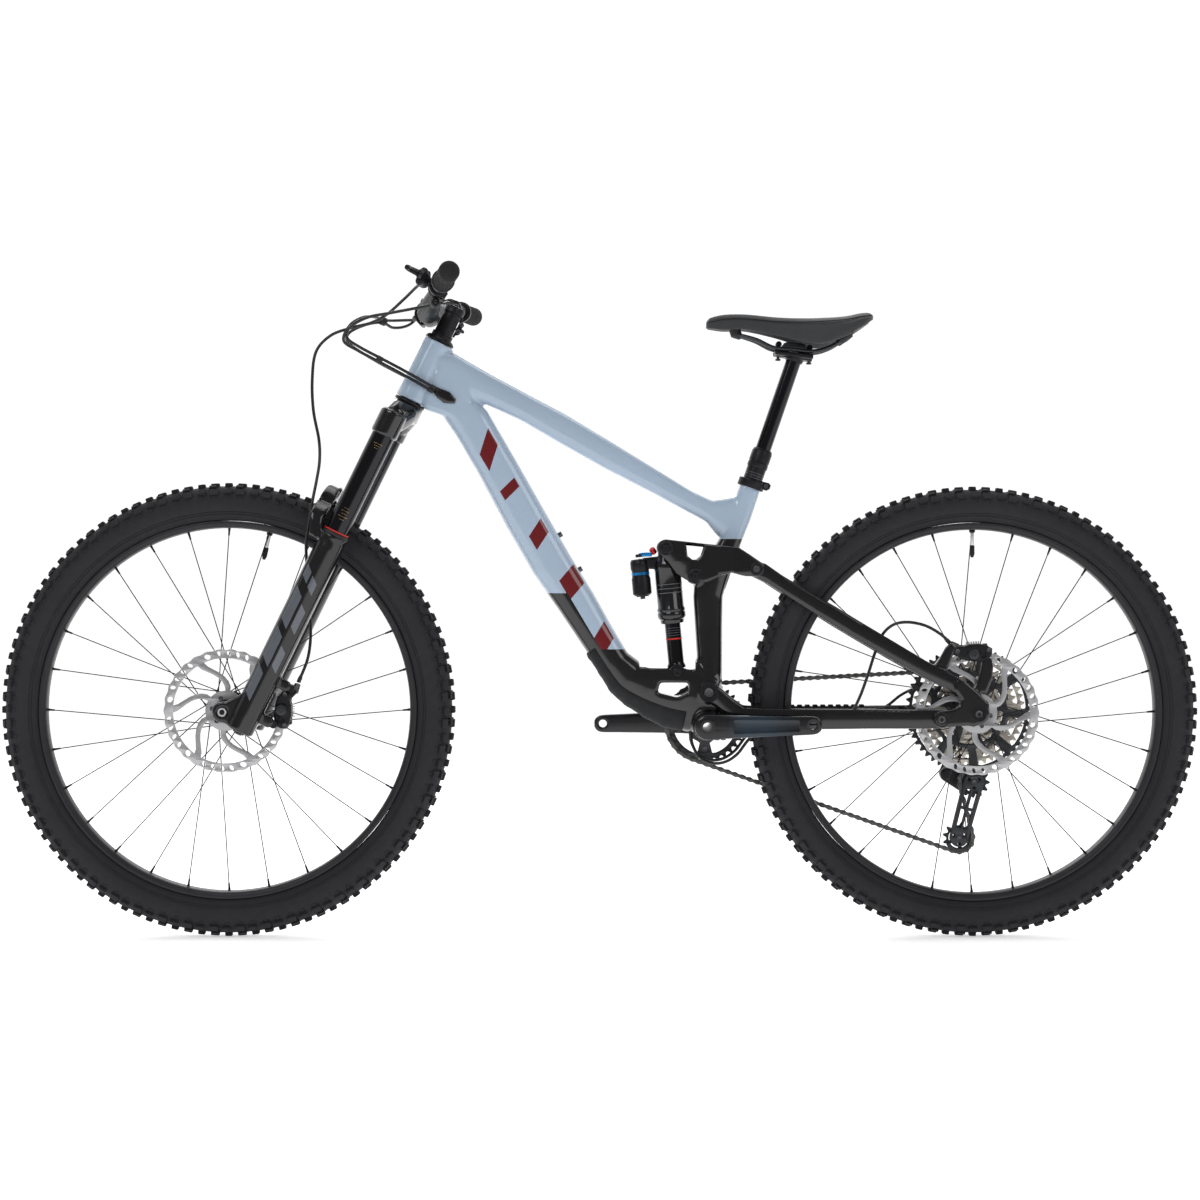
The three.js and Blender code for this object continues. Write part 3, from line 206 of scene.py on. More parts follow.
class Look:
    """A procedural material: colour layers, roughness and bump built up in steps."""

    def __init__(self, name, roughness=0.5, metallic=0.0, coat=0.0, coat_roughness=0.05, sheen=0.0):
        self.name = name
        self.material = bpy.data.materials.new("look_" + name)
        self.material.use_nodes = True
        self.tree = self.material.node_tree
        self.shader = self.tree.nodes["Principled BSDF"]
        self.shader.inputs["Roughness"].default_value = roughness
        self.shader.inputs["Metallic"].default_value = metallic
        self.shader.inputs["Coat Weight"].default_value = coat
        # Under a clear coat the paint itself hardly glints.
        self.shader.inputs["Specular IOR Level"].default_value = 0.32 - 0.17 * coat
        self.shader.inputs["Coat Roughness"].default_value = coat_roughness
        self.shader.inputs["Sheen Weight"].default_value = sheen
        self.place = self.tree.nodes.new("ShaderNodeTexCoord").outputs["Object"]
        split = self.tree.nodes.new("ShaderNodeSeparateXYZ")
        self.tree.links.new(self.place, split.inputs[0])
        # Millimetres in the frame's axes.
        self.x, self.y, self.z = (Value(self.tree, split.outputs[i]) * 1000.0 for i in range(3))
        self.colour_socket = None
        self.bump_socket = None

    def texture(self, kind, size_mm, output):
        """A texture of that feature size, in millimetres."""
        node = self.tree.nodes.new(kind)
        node.inputs["Scale"].default_value = 1000.0 / size_mm
        self.tree.links.new(self.place, node.inputs["Vector"])
        return node, Value(self.tree, node.outputs[output])

    def noise(self, size_mm, detail=3.0):
        """Noise from 0 to 1."""
        node, value = self.texture("ShaderNodeTexNoise", size_mm, "Fac")
        node.inputs["Detail"].default_value = detail
        node.inputs["Roughness"].default_value = NOISE_ROUGHNESS
        return value

    def cells(self, size_mm):
        """Distance to the nearest of scattered points."""
        return self.texture("ShaderNodeTexVoronoi", size_mm, "Distance")[1]

    def distance(self, centre):
        """Distance from the Y line through an (x, z) point."""
        dx, dz = self.x - centre[0], self.z - centre[1]
        return (dx * dx + dz * dz).maths("SQRT")

    def paint(self, colour, where=None):
        """Lays a colour over what is there, where the mask is 1."""
        rgba = (*colour, 1.0)
        if self.colour_socket is None:
            node = self.tree.nodes.new("ShaderNodeRGB")
            node.outputs[0].default_value = rgba
            self.colour_socket = node.outputs[0]
        else:
            node = self.tree.nodes.new("ShaderNodeMix")
            node.data_type = "RGBA"
            self.tree.links.new(where.socket, node.inputs["Factor"])
            self.tree.links.new(self.colour_socket, node.inputs["A"])
            node.inputs["B"].default_value = rgba
            self.colour_socket = node.outputs["Result"]
        self.tree.links.new(self.colour_socket, self.shader.inputs["Base Color"])
        return self

    def vary(self, amount, value):
        """Lightens and darkens the colour so far by a value from 0 to 1."""
        node = self.tree.nodes.new("ShaderNodeHueSaturation")
        self.tree.links.new(self.colour_socket, node.inputs["Color"])
        self.tree.links.new((value * (2 * amount) + (1 - amount)).socket, node.inputs["Value"])
        self.colour_socket = node.outputs[0]
        self.tree.links.new(self.colour_socket, self.shader.inputs["Base Color"])
        return self

    def rough(self, low, high, value):
        self.tree.links.new((value * (high - low) + low).socket, self.shader.inputs["Roughness"])
        return self

    def bump(self, depth_mm, value, strength=1.0):
        """Raises the surface by that depth where the value is 1."""
        node = self.tree.nodes.new("ShaderNodeBump")
        node.inputs["Strength"].default_value = strength
        node.inputs["Distance"].default_value = depth_mm * MM
        self.tree.links.new(value.socket, node.inputs["Height"])
        if self.bump_socket is not None:
            self.tree.links.new(self.bump_socket, node.inputs["Normal"])
        self.bump_socket = node.outputs["Normal"]
        self.tree.links.new(self.bump_socket, self.shader.inputs["Normal"])
        return self


# ------------------------------------------------------------------ materials

LOOKS = {}


def keep(look):
    LOOKS[look.name] = look.material
    return look


def frame_paint_look():
    """Light blue-grey gloss, black below a stepped line, with dark red slanted bars along the down tube."""
    look = Look("frame_paint", roughness=0.32, coat=1.0, coat_roughness=0.04)
    look.paint((0.37, 0.465, 0.58))
    look.vary(0.03, look.noise(90))
    dx, dz = look.x - BARS_FROM[0], look.z - BARS_FROM[1]
    along = dx * BARS_WAY[0] + dz * BARS_WAY[1]
    across = dx * BARS_WAY[1] + dz * -BARS_WAY[0]
    side_face = look.y.maths("ABSOLUTE") > 12.0
    bars = None
    for start, length, low, high, slant in BARS:
        leaning = along - across * slant
        bar = leaning.between(start, start + length) * across.between(low, high)
        bars = bar if bars is None else bars.maths("MAXIMUM", bar)
    look.paint((0.135, 0.006, 0.008), bars * side_face)
    slanted = (look.z - STEP_CORNER[1]) + (look.x - STEP_CORNER[0]) * STEP_SLOPE
    front_part = (look.z < STEP_CORNER[1] + 1.0) * (slanted < 0.0)
    seat_side = (look.x > SEAT_SIDE[0]) * (look.z < SEAT_SIDE[1])
    black = front_part.maths("MAXIMUM", look.z < LOW_BAND_Z).maths("MAXIMUM", seat_side)
    look.paint((0.006, 0.006, 0.007), black)
    look.bump(0.03, look.noise(4, detail=1.0), 0.25)
    keep(look)


# The bars are measured along and across the down tube, from a point on its upper edge.
BARS_FROM, BARS_WAY = (-185.0, 868.0), (0.505, -0.863)
# Black starts under a slanted edge through the step's corner, under the low band, and behind the seat side.
STEP_CORNER, STEP_SLOPE, LOW_BAND_Z, SEAT_SIDE = (-52.0, 565.0), 1.685, 474.0, (100.0, 655.0)
# Each bar: start along the down tube, its length, its reach across, and its slant.
BARS = [
    (15, 32, 14, 48, 0.9),
    (115, 17, 18, 50, 0.25),
    (192, 26, 14, 46, 0.5),
    (289, 36, 6, 40, 0.35),
    (392, 32, 10, 44, 0.55),
]


def plain_looks():
    """Coats and castings that differ only in colour, gloss and grain."""
    rows = [
        # name, colour, roughness, metallic, coat, grain mm, bump mm
        ("black_gloss", (0.006, 0.006, 0.007), 0.22, 0.0, 1.0, 9, 0.02),
        ("black_anodised", (0.016, 0.016, 0.018), 0.38, 0.6, 0.0, 0.6, 0.03),
        ("satin_carbon", (0.011, 0.011, 0.012), 0.5, 0.0, 0.1, 3, 0.02),
        ("stanchion_black", (0.018, 0.018, 0.021), 0.12, 0.85, 0.3, 8, 0.01),
        ("guard_rubber", (0.010, 0.0105, 0.012), 0.72, 0.0, 0.0, 1.2, 0.12),
        ("black_plastic", (0.022, 0.022, 0.024), 0.55, 0.0, 0.0, 0.9, 0.08),
        ("grip_rubber", (0.014, 0.014, 0.015), 0.82, 0.0, 0.0, 0.8, 0.10),
        ("hose_black", (0.010, 0.010, 0.011), 0.35, 0.0, 0.2, 2, 0.03),
        ("spoke_steel", (0.020, 0.020, 0.022), 0.45, 0.7, 0.0, 1.5, 0.02),
        ("bolt_steel", (0.10, 0.10, 0.105), 0.32, 1.0, 0.0, 0.8, 0.02),
        ("dark_metal", (0.050, 0.052, 0.056), 0.38, 0.85, 0.0, 0.8, 0.03),
        ("silver_metal", (0.55, 0.55, 0.56), 0.28, 1.0, 0.0, 1.0, 0.02),
        ("blue_anodised", (0.012, 0.20, 0.52), 0.28, 0.8, 0.2, 0.7, 0.02),
        ("red_anodised", (0.42, 0.012, 0.012), 0.28, 0.7, 0.2, 0.7, 0.02),
        ("red_rubber", (0.55, 0.02, 0.015), 0.5, 0.0, 0.0, 1.0, 0.03),
        ("grey_print", (0.10, 0.105, 0.115), 0.4, 0.1, 0.4, 2, 0.01),
        ("brass", (0.45, 0.30, 0.12), 0.3, 1.0, 0.0, 0.8, 0.02),
    ]
    for name, colour, roughness, metallic, coat, grain, depth in rows:
        look = Look(name, roughness, metallic, coat)
        look.paint(colour)
        look.vary(0.10, look.noise(grain * 14))
        look.rough(roughness * 0.85, roughness * 1.2, look.noise(grain * 9, detail=5.0))
        # A clear coat levels the finest grain.
        look.bump(depth, look.noise(grain, detail=4.0 - 3.5 * coat), 0.6 - 0.3 * coat)
        keep(look)


def tyre_look():
    look = Look("tyre_rubber", roughness=0.78)
    look.paint((0.017, 0.017, 0.020))
    look.vary(0.22, look.noise(60, detail=6.0))
    look.rough(0.62, 0.88, look.noise(14, detail=5.0))
    look.bump(0.18, look.noise(1.4, detail=5.0), 0.5)
    keep(look)


def rim_look():
    look = Look("rim_black", roughness=0.42, metallic=0.55)
    look.paint((0.030, 0.030, 0.033))
    look.vary(0.12, look.noise(40, detail=4.0))
    look.rough(0.32, 0.5, look.noise(6, detail=6.0))
    look.bump(0.02, look.noise(0.8), 0.5)
    keep(look)


def rotor_look(name, axle):
    """Ground steel: fine rings, and a band that the pads have polished."""
    look = Look(name, roughness=0.28, metallic=1.0)
    radius = look.distance(axle)
    look.paint((0.36, 0.36, 0.37))
    look.paint((0.45, 0.45, 0.46), radius.between(86.0, 101.0))
    rings = (radius * 9.0 + look.noise(30) * 5.0).maths("SINE")
    look.vary(0.06, rings * 0.5 + 0.5)
    look.rough(0.32, 0.48, rings * 0.5 + 0.5)
    look.bump(0.01, rings, 0.6)
    keep(look)


def cassette_look():
    look = Look("cassette_steel", roughness=0.3, metallic=0.95)
    radius = look.distance(REAR_AXLE)
    look.paint((0.44, 0.41, 0.36))
    look.paint((0.30, 0.28, 0.25), radius.ramp(60.0, 30.0) * 0.6)
    look.vary(0.10, look.noise(16, detail=4.0))
    look.rough(0.22, 0.42, look.noise(5, detail=5.0))
    look.bump(0.02, (radius * 7.0).maths("SINE"), 0.5)
    keep(look)


def chain_look():
    look = Look("chain_steel", roughness=0.34, metallic=0.95)
    look.paint((0.10, 0.098, 0.095))
    look.vary(0.35, look.noise(9, detail=5.0))
    look.rough(0.24, 0.5, look.noise(4, detail=5.0))
    keep(look)


def crank_look():
    """Black arm with a dark blue-grey panel on its outer face."""
    look = Look("crank_finish", roughness=0.3, metallic=0.4, coat=0.5)
    look.paint((0.013, 0.013, 0.015))
    left_face = look.y < -74.0
    from_centre = look.x - BOTTOM_BRACKET[0]
    panel = from_centre.between(34.0, 148.0) * left_face
    look.paint((0.020, 0.033, 0.048), panel * from_centre.ramp(30.0, 60.0) * from_centre.ramp(148.0, 90.0))
    look.vary(0.10, look.noise(20, detail=4.0))
    look.rough(0.24, 0.38, look.noise(3, detail=5.0))
    look.bump(0.02, look.noise(0.7), 0.5)
    keep(look)


def saddle_look():
    """Synthetic cover with a fine pebble grain and a duller panel down the middle."""
    look = Look("saddle_cover", roughness=0.6, sheen=0.15)
    look.paint((0.030, 0.031, 0.034))
    look.vary(0.14, look.noise(30, detail=5.0))
    look.rough(0.48, 0.72, look.noise(8, detail=4.0))
    look.bump(0.16, look.cells(1.5) * -1.0 + 1.0, 0.7)
    keep(look)


def fork_paint_look():
    """Gloss black lowers with grey blocks printed along the outside of each leg."""
    look = Look("fork_paint", roughness=0.25, coat=0.7, coat_roughness=0.05)
    lean_cos, lean_sin = math.cos(HEAD_LEAN), math.sin(HEAD_LEAN)
    dx, dz = look.x - STEER_ORIGIN.x, look.z - STEER_ORIGIN.z
    up = dx * lean_sin + dz * lean_cos
    back = dx * lean_cos - dz * lean_sin - LEG_X
    look.paint((0.007, 0.007, 0.008))
    outside = look.y.maths("ABSOLUTE") > LEG_Y + 6.0
    for low, high, left, right, slant in FORK_BLOCKS:
        shape = (up + back * slant).between(low, high) * back.between(left, right)
        look.paint((0.105, 0.115, 0.135), shape * outside)
    look.vary(0.08, look.noise(25))
    look.bump(0.03, look.noise(5, detail=1.0), 0.25)
    keep(look)


# Each printed block on the fork: low, high, left, right along and across the leg, and its slant.
FORK_BLOCKS = [
    (-346, -326, -17, -5, 0.9),
    (-346, -326, -1, 11, 0.9),
    (-424, -366, -18, -2, 0.9),
    (-412, -372, 3, 14, 0.9),
    (-492, -438, -18, -2, 0.9),
    (-482, -446, 3, 14, 0.9),
    (-556, -506, -18, -4, 0.9),
]

frame_paint_look()
plain_looks()
tyre_look()
rim_look()
rotor_look("front_rotor_steel", FRONT_AXLE)
rotor_look("rear_rotor_steel", REAR_AXLE)
cassette_look()
chain_look()
crank_look()
saddle_look()
fork_paint_look()

# ------------------------------------------------------------------ gathering a piece's faces


def new_object(name, verts, faces):
    """A mesh object in metres, from points in millimetres, with its faces turned outwards."""
    mesh = bpy.data.meshes.new(name)
    mesh.from_pydata([Vector(v) * MM for v in verts], [], faces)
    work = bmesh.new()
    work.from_mesh(mesh)
    bmesh.ops.recalc_face_normals(work, faces=work.faces)
    work.to_mesh(mesh)
    work.free()
    obj = bpy.data.objects.new(name, mesh)
    bpy.context.collection.objects.link(obj)
    return obj


class Shape:
    """Closed bodies gathered for one piece, in millimetres, each with its own look."""

    def __init__(self, *looks):
        self.looks = list(looks)
        self.verts = []
        self.faces = []
        self.face_looks = []

    def add(self, body, look=0):
        verts, faces = body
        base = len(self.verts)
        self.verts.extend(verts)
        self.faces.extend([tuple(base + i for i in face) for face in faces])
        self.face_looks.extend([look] * len(faces))
        return self

    def piece(self, name, body, slot, replaces=(), bevel=0.0, sharp=38, levels=0):
        """Makes the object, with rounded edges and smooth shading, and lets it ride on a body."""
        obj = new_object(name, self.verts, self.faces)
        mesh = obj.data
        for look in self.looks:
            mesh.materials.append(LOOKS[look])
        mesh.polygons.foreach_set("material_index", self.face_looks)
        mesh.shade_smooth()
        if levels:
            subdivide = obj.modifiers.new("round", "SUBSURF")
            subdivide.levels = subdivide.render_levels = levels
        if bevel:
            soften = obj.modifiers.new("soften", "BEVEL")
            soften.width = bevel * MM
            soften.segments = 2
            soften.limit_method = "ANGLE"
            soften.angle_limit = math.radians(sharp)
            soften.harden_normals = True
        if not levels:
            mesh.set_sharp_from_angle(angle=math.radians(sharp))
        if isinstance(body, str):
            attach(obj, body)
        if replaces:
            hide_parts(*replaces)
        return obj


# ------------------------------------------------------------------ solids, each (points, faces)


def cross_frame(direction):
    """Two unit vectors square to a direction and to each other."""
    direction = Vector(direction).normalized()
    helper = Vector((0, 0, 1)) if abs(direction.z) < 0.9 else Vector((1, 0, 0))
    side = direction.cross(helper).normalized()
    return side, direction.cross(side).normalized()


def bridge(rings):
    """A closed skin through rings of points that all have the same count."""
    count = len(rings[0])
    verts = [p for ring in rings for p in ring]
    faces = []
    for r in range(len(rings) - 1):
        for i in range(count):
            j = (i + 1) % count
            faces.append((r * count + i, r * count + j, (r + 1) * count + j, (r + 1) * count + i))
    faces.append(tuple(range(count))[::-1])
    last = (len(rings) - 1) * count
    faces.append(tuple(last + i for i in range(count)))
    return verts, faces


def lathe(profile, base, direction=(0, 1, 0), segments=48):
    """(radius, height) points turned about a line.

    A profile that doesn't start and end on the line closes on itself."""
    base, axis = Vector(base), Vector(direction).normalized()
    side, up = cross_frame(axis)
    verts, faces, rows = [], [], []
    for radius, height in profile:
        centre = base + axis * height
        if radius == 0:
            rows.append([len(verts)])
            verts.append(centre)
            continue
        row = []
        for i in range(segments):
            angle = 2 * math.pi * i / segments
            row.append(len(verts))
            verts.append(centre + (side * math.cos(angle) + up * math.sin(angle)) * radius)
        rows.append(row)
    pairs = list(zip(rows, rows[1:]))
    if len(rows[0]) > 1 and len(rows[-1]) > 1:
        pairs.append((rows[-1], rows[0]))
    for a, b in pairs:
        for i in range(segments):
            j = (i + 1) % segments
            if len(a) == 1 and len(b) > 1:
                faces.append((a[0], b[j], b[i]))
            elif len(b) == 1 and len(a) > 1:
                faces.append((a[i], a[j], b[0]))
            elif len(a) > 1:
                faces.append((a[i], a[j], b[j], b[i]))
    return verts, faces


def rod(start, end, radius, segments=24, end_radius=None, chamfer=0.0):
    """A round bar between two points, its ends chamfered."""
    start, end = Vector(start), Vector(end)
    far = radius if end_radius is None else end_radius
    length = (end - start).length
    if chamfer:
        low_end = [(radius - chamfer, 0), (radius, chamfer)]
        high_end = [(far, length - chamfer), (far - chamfer, length)]
    else:
        low_end, high_end = [(radius, 0)], [(far, length)]
    return lathe([(0, 0), *low_end, *high_end, (0, length)], start, end - start, segments)


def pin(point, low, high, radius, segments=32, chamfer=0.6):
    """A round bar along Y at an (x, z) point."""
    return rod((point[0], low, point[1]), (point[0], high, point[1]), radius, segments, chamfer=chamfer)


def turned(profile, point, segments, y=0):
    """(radius, distance out) points turned about the Y line through an (x, z) point, out from y."""
    return lathe(profile, (point[0], y, point[1]), (0, 1, 0), segments)


def span(side, near, far):
    """The stretch of y from near to far on one side, low end first."""
    return sorted((side * near, side * far))


def share_of(value, low, high):
    """How far a value is from low to high, held between 0 and 1."""
    return min(1.0, max(0.0, (value - low) / (high - low)))


def eased(share):
    return share * share * (3 - 2 * share)


def mix(a, b, share):
    return tuple(p + (q - p) * share for p, q in zip(a, b))


def curve_step(a, b, c, d, t):
    """The point at t, from 0 to 1, between b and c on a smooth curve through all four."""
    return 0.5 * (2 * b + (c - a) * t + (2 * a - 5 * b + 4 * c - d) * t * t + (3 * b - a - 3 * c + d) * t**3)


def smooth_path(points, per=6):
    """Points of a smooth curve through the given ones."""
    points = [Vector(p) for p in points]
    padded = [points[0] * 2 - points[1], *points, points[-1] * 2 - points[-2]]
    found = []
    for a, b, c, d in zip(padded, padded[1:], padded[2:], padded[3:]):
        for i in range(per):
            found.append(curve_step(a, b, c, d, i / per))
    found.append(points[-1])
    return found


def sweep(path, radius, sides=12, flat=1.0, lean=None):
    """A tube along a path, with one radius or one for each point; flat thins it along its second axis."""
    path = [Vector(p) for p in path]
    radii = radius if isinstance(radius, (list, tuple)) else [radius] * len(path)
    heading = (path[1] - path[0]).normalized()
    side = cross_frame(heading)[0] if lean is None else Vector(lean)
    rings = []
    for i, point in enumerate(path):
        ahead = path[min(i + 1, len(path) - 1)] - path[max(i - 1, 0)]
        heading = ahead.normalized()
        side = (side - heading * side.dot(heading)).normalized()
        up = heading.cross(side)
        ring = []
        for k in range(sides):
            angle = 2 * math.pi * k / sides
            across, rise = side * (radii[i] * math.cos(angle)), up * (radii[i] * flat * math.sin(angle))
            ring.append(point + across + rise)
        rings.append(ring)
    return bridge(rings)


def point_at(centre, radius, angle):
    """A point at a radius and an angle, in degrees, from a centre."""
    turn = math.radians(angle)
    return (centre[0] + radius * math.cos(turn), centre[1] + radius * math.sin(turn))


def arc(centre, radius, start, end, steps):
    """Points of an arc, angles in degrees."""
    return [point_at(centre, radius, start + (end - start) * i / steps) for i in range(steps + 1)]


def circle(centre, radius, steps=32):
    return arc(centre, radius, 0, 360 - 360 / steps, steps - 1)


def arm_outline(a, radius_a, b, radius_b, steps=12):
    """A straight arm between two round ends."""
    heading = math.degrees(math.atan2(b[1] - a[1], b[0] - a[0]))
    return [
        *arc(b, radius_b, heading - 90, heading + 90, steps),
        *arc(a, radius_a, heading + 90, heading + 270, steps),
    ]


def area_of(outline):
    return sum(a[0] * b[1] - b[0] * a[1] for a, b in zip(outline, [*outline[1:], outline[0]])) / 2


def plate(outline, low, high, holes=(), bevel=0.4):
    """An outline of (x, z) points as a plate from y low to y high, with holes and rounded edges."""
    curve = bpy.data.curves.new("plate", "CURVE")
    curve.dimensions = "2D"
    curve.fill_mode = "BOTH"
    bevel = min(bevel, (high - low) / 2 * 0.9)
    curve.extrude = ((high - low) / 2 - bevel) * MM
    curve.bevel_depth = bevel * MM
    curve.bevel_resolution = 1
    curve.offset = -bevel * MM
    for index, loop in enumerate([outline, *holes]):
        wanted = 1 if index == 0 else -1
        points = list(loop) if area_of(loop) * wanted > 0 else list(loop)[::-1]
        spline = curve.splines.new("POLY")
        spline.points.add(len(points) - 1)
        for target, (x, z) in zip(spline.points, points):
            target.co = (x * MM, z * MM, 0, 1)
        spline.use_cyclic_u = True
    holder = bpy.data.objects.new("plate", curve)
    bpy.context.collection.objects.link(holder)
    depsgraph = bpy.context.evaluated_depsgraph_get()
    mesh = bpy.data.meshes.new_from_object(holder.evaluated_get(depsgraph))
    work = bmesh.new()
    work.from_mesh(mesh)
    bmesh.ops.remove_doubles(work, verts=work.verts, dist=0.01 * MM)
    middle = (low + high) / 2
    work.verts.index_update()
    verts = [Vector((v.co.x / MM, middle - v.co.z / MM, v.co.y / MM)) for v in work.verts]
    faces = [tuple(v.index for v in face.verts) for face in work.faces]
    work.free()
    bpy.data.objects.remove(holder)
    bpy.data.curves.remove(curve)
    bpy.data.meshes.remove(mesh)
    return verts, faces


def moved(body, matrix):
    verts, faces = body
    return [matrix @ Vector(v) for v in verts], faces


def bolt(centre, direction, radius=4.5, height=3.0, socket=2.4):
    """A round bolt head with a hexagon socket, its base at centre."""
    axis = Vector(direction).normalized()
    side, up = cross_frame(axis)
    base = Vector(centre)
    count = 24

    def ring(r, h, hexagon=False):
        points = []
        for i in range(count):
            angle = 2 * math.pi * i / count
            reach = r
            if hexagon:
                within = (angle % (math.pi / 3)) - math.pi / 6
                reach = r * math.cos(math.pi / 6) / math.cos(within)
            points.append(base + axis * h + (side * math.cos(angle) + up * math.sin(angle)) * reach)
        return points

    c = radius * 0.14
    rings = [
        ring(radius, 0), ring(radius, height - c), ring(radius - c, height),
        ring(socket + 0.3, height), ring(socket, height - 0.3, True), ring(socket, height * 0.35, True),
    ]
    return bridge(rings)


def steer(x, y, z):
    """A point of the steering frame, whose origin is the crown race, in the bike's own frame."""
    cos, sin = math.cos(HEAD_LEAN), math.sin(HEAD_LEAN)
    return Vector((STEER_ORIGIN.x + cos * x + sin * z, y, STEER_ORIGIN.z - sin * x + cos * z))


STEER_MATRIX = Matrix.Translation(STEER_ORIGIN) @ Matrix.Rotation(HEAD_LEAN, 4, "Y")
STEER_UP = Vector((math.sin(HEAD_LEAN), 0, math.cos(HEAD_LEAN)))

# ------------------------------------------------------------------ wheels

SPOKES_PER_SIDE = 14
HUB_FLANGE_R = 27.5
NIPPLE_R = 298.8
TYRE_ROUND_R, TREAD_HEIGHT, KNOB_ROOT, KNOB_TAPER, KNOB_ROWS = 28.3, 5.7, 2.0, 0.84, 104


def around(axle, radius, angle, y):
    """A point at a radius and an angle, in degrees, about a wheel's axle."""
    x, z = point_at(axle, radius, angle)
    return Vector((x, y, z))


def tread_block(axle, crown_r, turn, turn_half, tilt, tilt_half, height):
    """One knob: a block that stands on the round of the tyre, narrower at its top."""
    middle_r = crown_r - TYRE_ROUND_R
    corners = []
    for rise, share in ((-KNOB_ROOT, 1.0), (height, KNOB_TAPER)):
        for a, b in ((-1, -1), (1, -1), (1, 1), (-1, 1)):
            lean = math.radians(tilt + b * tilt_half * share)
            reach = TYRE_ROUND_R + rise
            radius, y = middle_r + reach * math.cos(lean), reach * math.sin(lean)
            corners.append(around(axle, radius, turn + a * turn_half * share, y))
    faces = [(0, 1, 2, 3), (7, 6, 5, 4), (0, 4, 5, 1), (1, 5, 6, 2), (2, 6, 7, 3), (3, 7, 4, 0)]
    return corners, faces


def tyre(word, axle, outer_r):
    crown = outer_r - TREAD_HEIGHT
    shape = Shape("tyre_rubber")
    outside = [
        (311.2, 14.6), (314, 17.5), (320, 23), (328, 27), (336, 28.6), (344, 28.0), (352, 25.0), (360, 18.6),
    ]
    # The outline is drawn for the front tyre; a smaller crown draws its outer part in.
    lift = crown - (FRONT_TYRE_R - TREAD_HEIGHT)
    outside = [(r + lift * max(0, (r - 320) / 40), y) for r, y in outside] + [(crown - 2.2, 10), (crown, 0)]
    inside = [(crown - 4.5, 0), (crown - 7, 10), (352, 20), (336, 24), (322, 19.5), (311.2, 11)]
    profile = outside + [(r, -y) for r, y in reversed(outside[:-1])]
    profile += [(r, -y) for r, y in reversed(inside)] + inside[1:]
    shape.add(turned(profile, axle, 144))
    rib_at = [(321.5, 24.2), (325.5, 26.2)]
    for r, y in rib_at:
        for side in (-1, 1):
            ring = [(r - 0.5, side * y), (r, side * (y + 0.7)), (r + 0.5, side * y), (r, side * (y - 1.0))]
            shape.add(turned(ring, axle, 120))
    shape.piece(f"{word}_tyre_casing", f"{word}_wheel", "tyre_rubber", [f"{word}_tyre"], sharp=50)
    knobs = Shape("tyre_rubber")
    for i in range(KNOB_ROWS):
        turn = 360 / KNOB_ROWS * i
        for side in (-1, 1):
            if i % 2:
                knobs.add(tread_block(axle, crown, turn, 1.15, side * 8.5, 7.0, 5.2))
                knobs.add(tread_block(axle, crown, turn + 0.4, 1.05, side * 29, 6.0, 5.0))
                knobs.add(tread_block(axle, crown, turn, 1.30, side * 53, 10.5, 5.0))
            else:
                knobs.add(tread_block(axle, crown, turn, 0.95, side * 10.5, 5.5, 5.5))
                knobs.add(tread_block(axle, crown, turn - 0.3, 1.15, side * 51, 7.5, 5.6))
            fin_lean = side * (70 if i % 2 else 68)
            knobs.add(tread_block(axle, crown, turn, 0.5, fin_lean, 6.0, 0.7))
    knobs.piece(f"{word}_tyre_knobs", f"{word}_wheel", "tyre_rubber", bevel=0.7, sharp=30)


def wheel_rim(word, axle, valve_angle):
    shape = Shape("rim_black", "silver_metal", "black_anodised")
    outer = [(310.6, 17.0), (309.6, 17.3), (304.0, 17.1), (301.0, 14.6), (299.3, 10.0), (298.8, 4.0)]
    bed = [(310.6, 14.6), (306.5, 13.8), (305.0, 10.5), (302.6, 5.0)]
    profile = outer + [(r, -y) for r, y in reversed(outer)] + [(r, -y) for r, y in bed] + bed[::-1]
    shape.add(turned(profile, axle, 168))
    toward = around(axle, 1, valve_angle, 0) - around(axle, 0, valve_angle, 0)
    base = around(axle, 299.5, valve_angle, 0)
    nut = [(0, 0), (4.6, 0), (5.2, 1.5), (4.6, 4.5), (3.2, 5.5), (0, 5.5)]
    shape.add(lathe(nut, base, -toward, 20), 2)
    shape.add(lathe([(0, 5), (3, 5), (3, 28), (2.6, 29), (0, 29)], base, -toward, 16), 1)
    shape.add(lathe([(0, 26), (4.0, 26), (4.2, 40), (2.2, 46), (0, 46)], base, -toward, 16), 2)
    shape.piece(f"{word}_wheel_rim", f"{word}_wheel", "rim_black", [f"{word}_rim"], sharp=40)


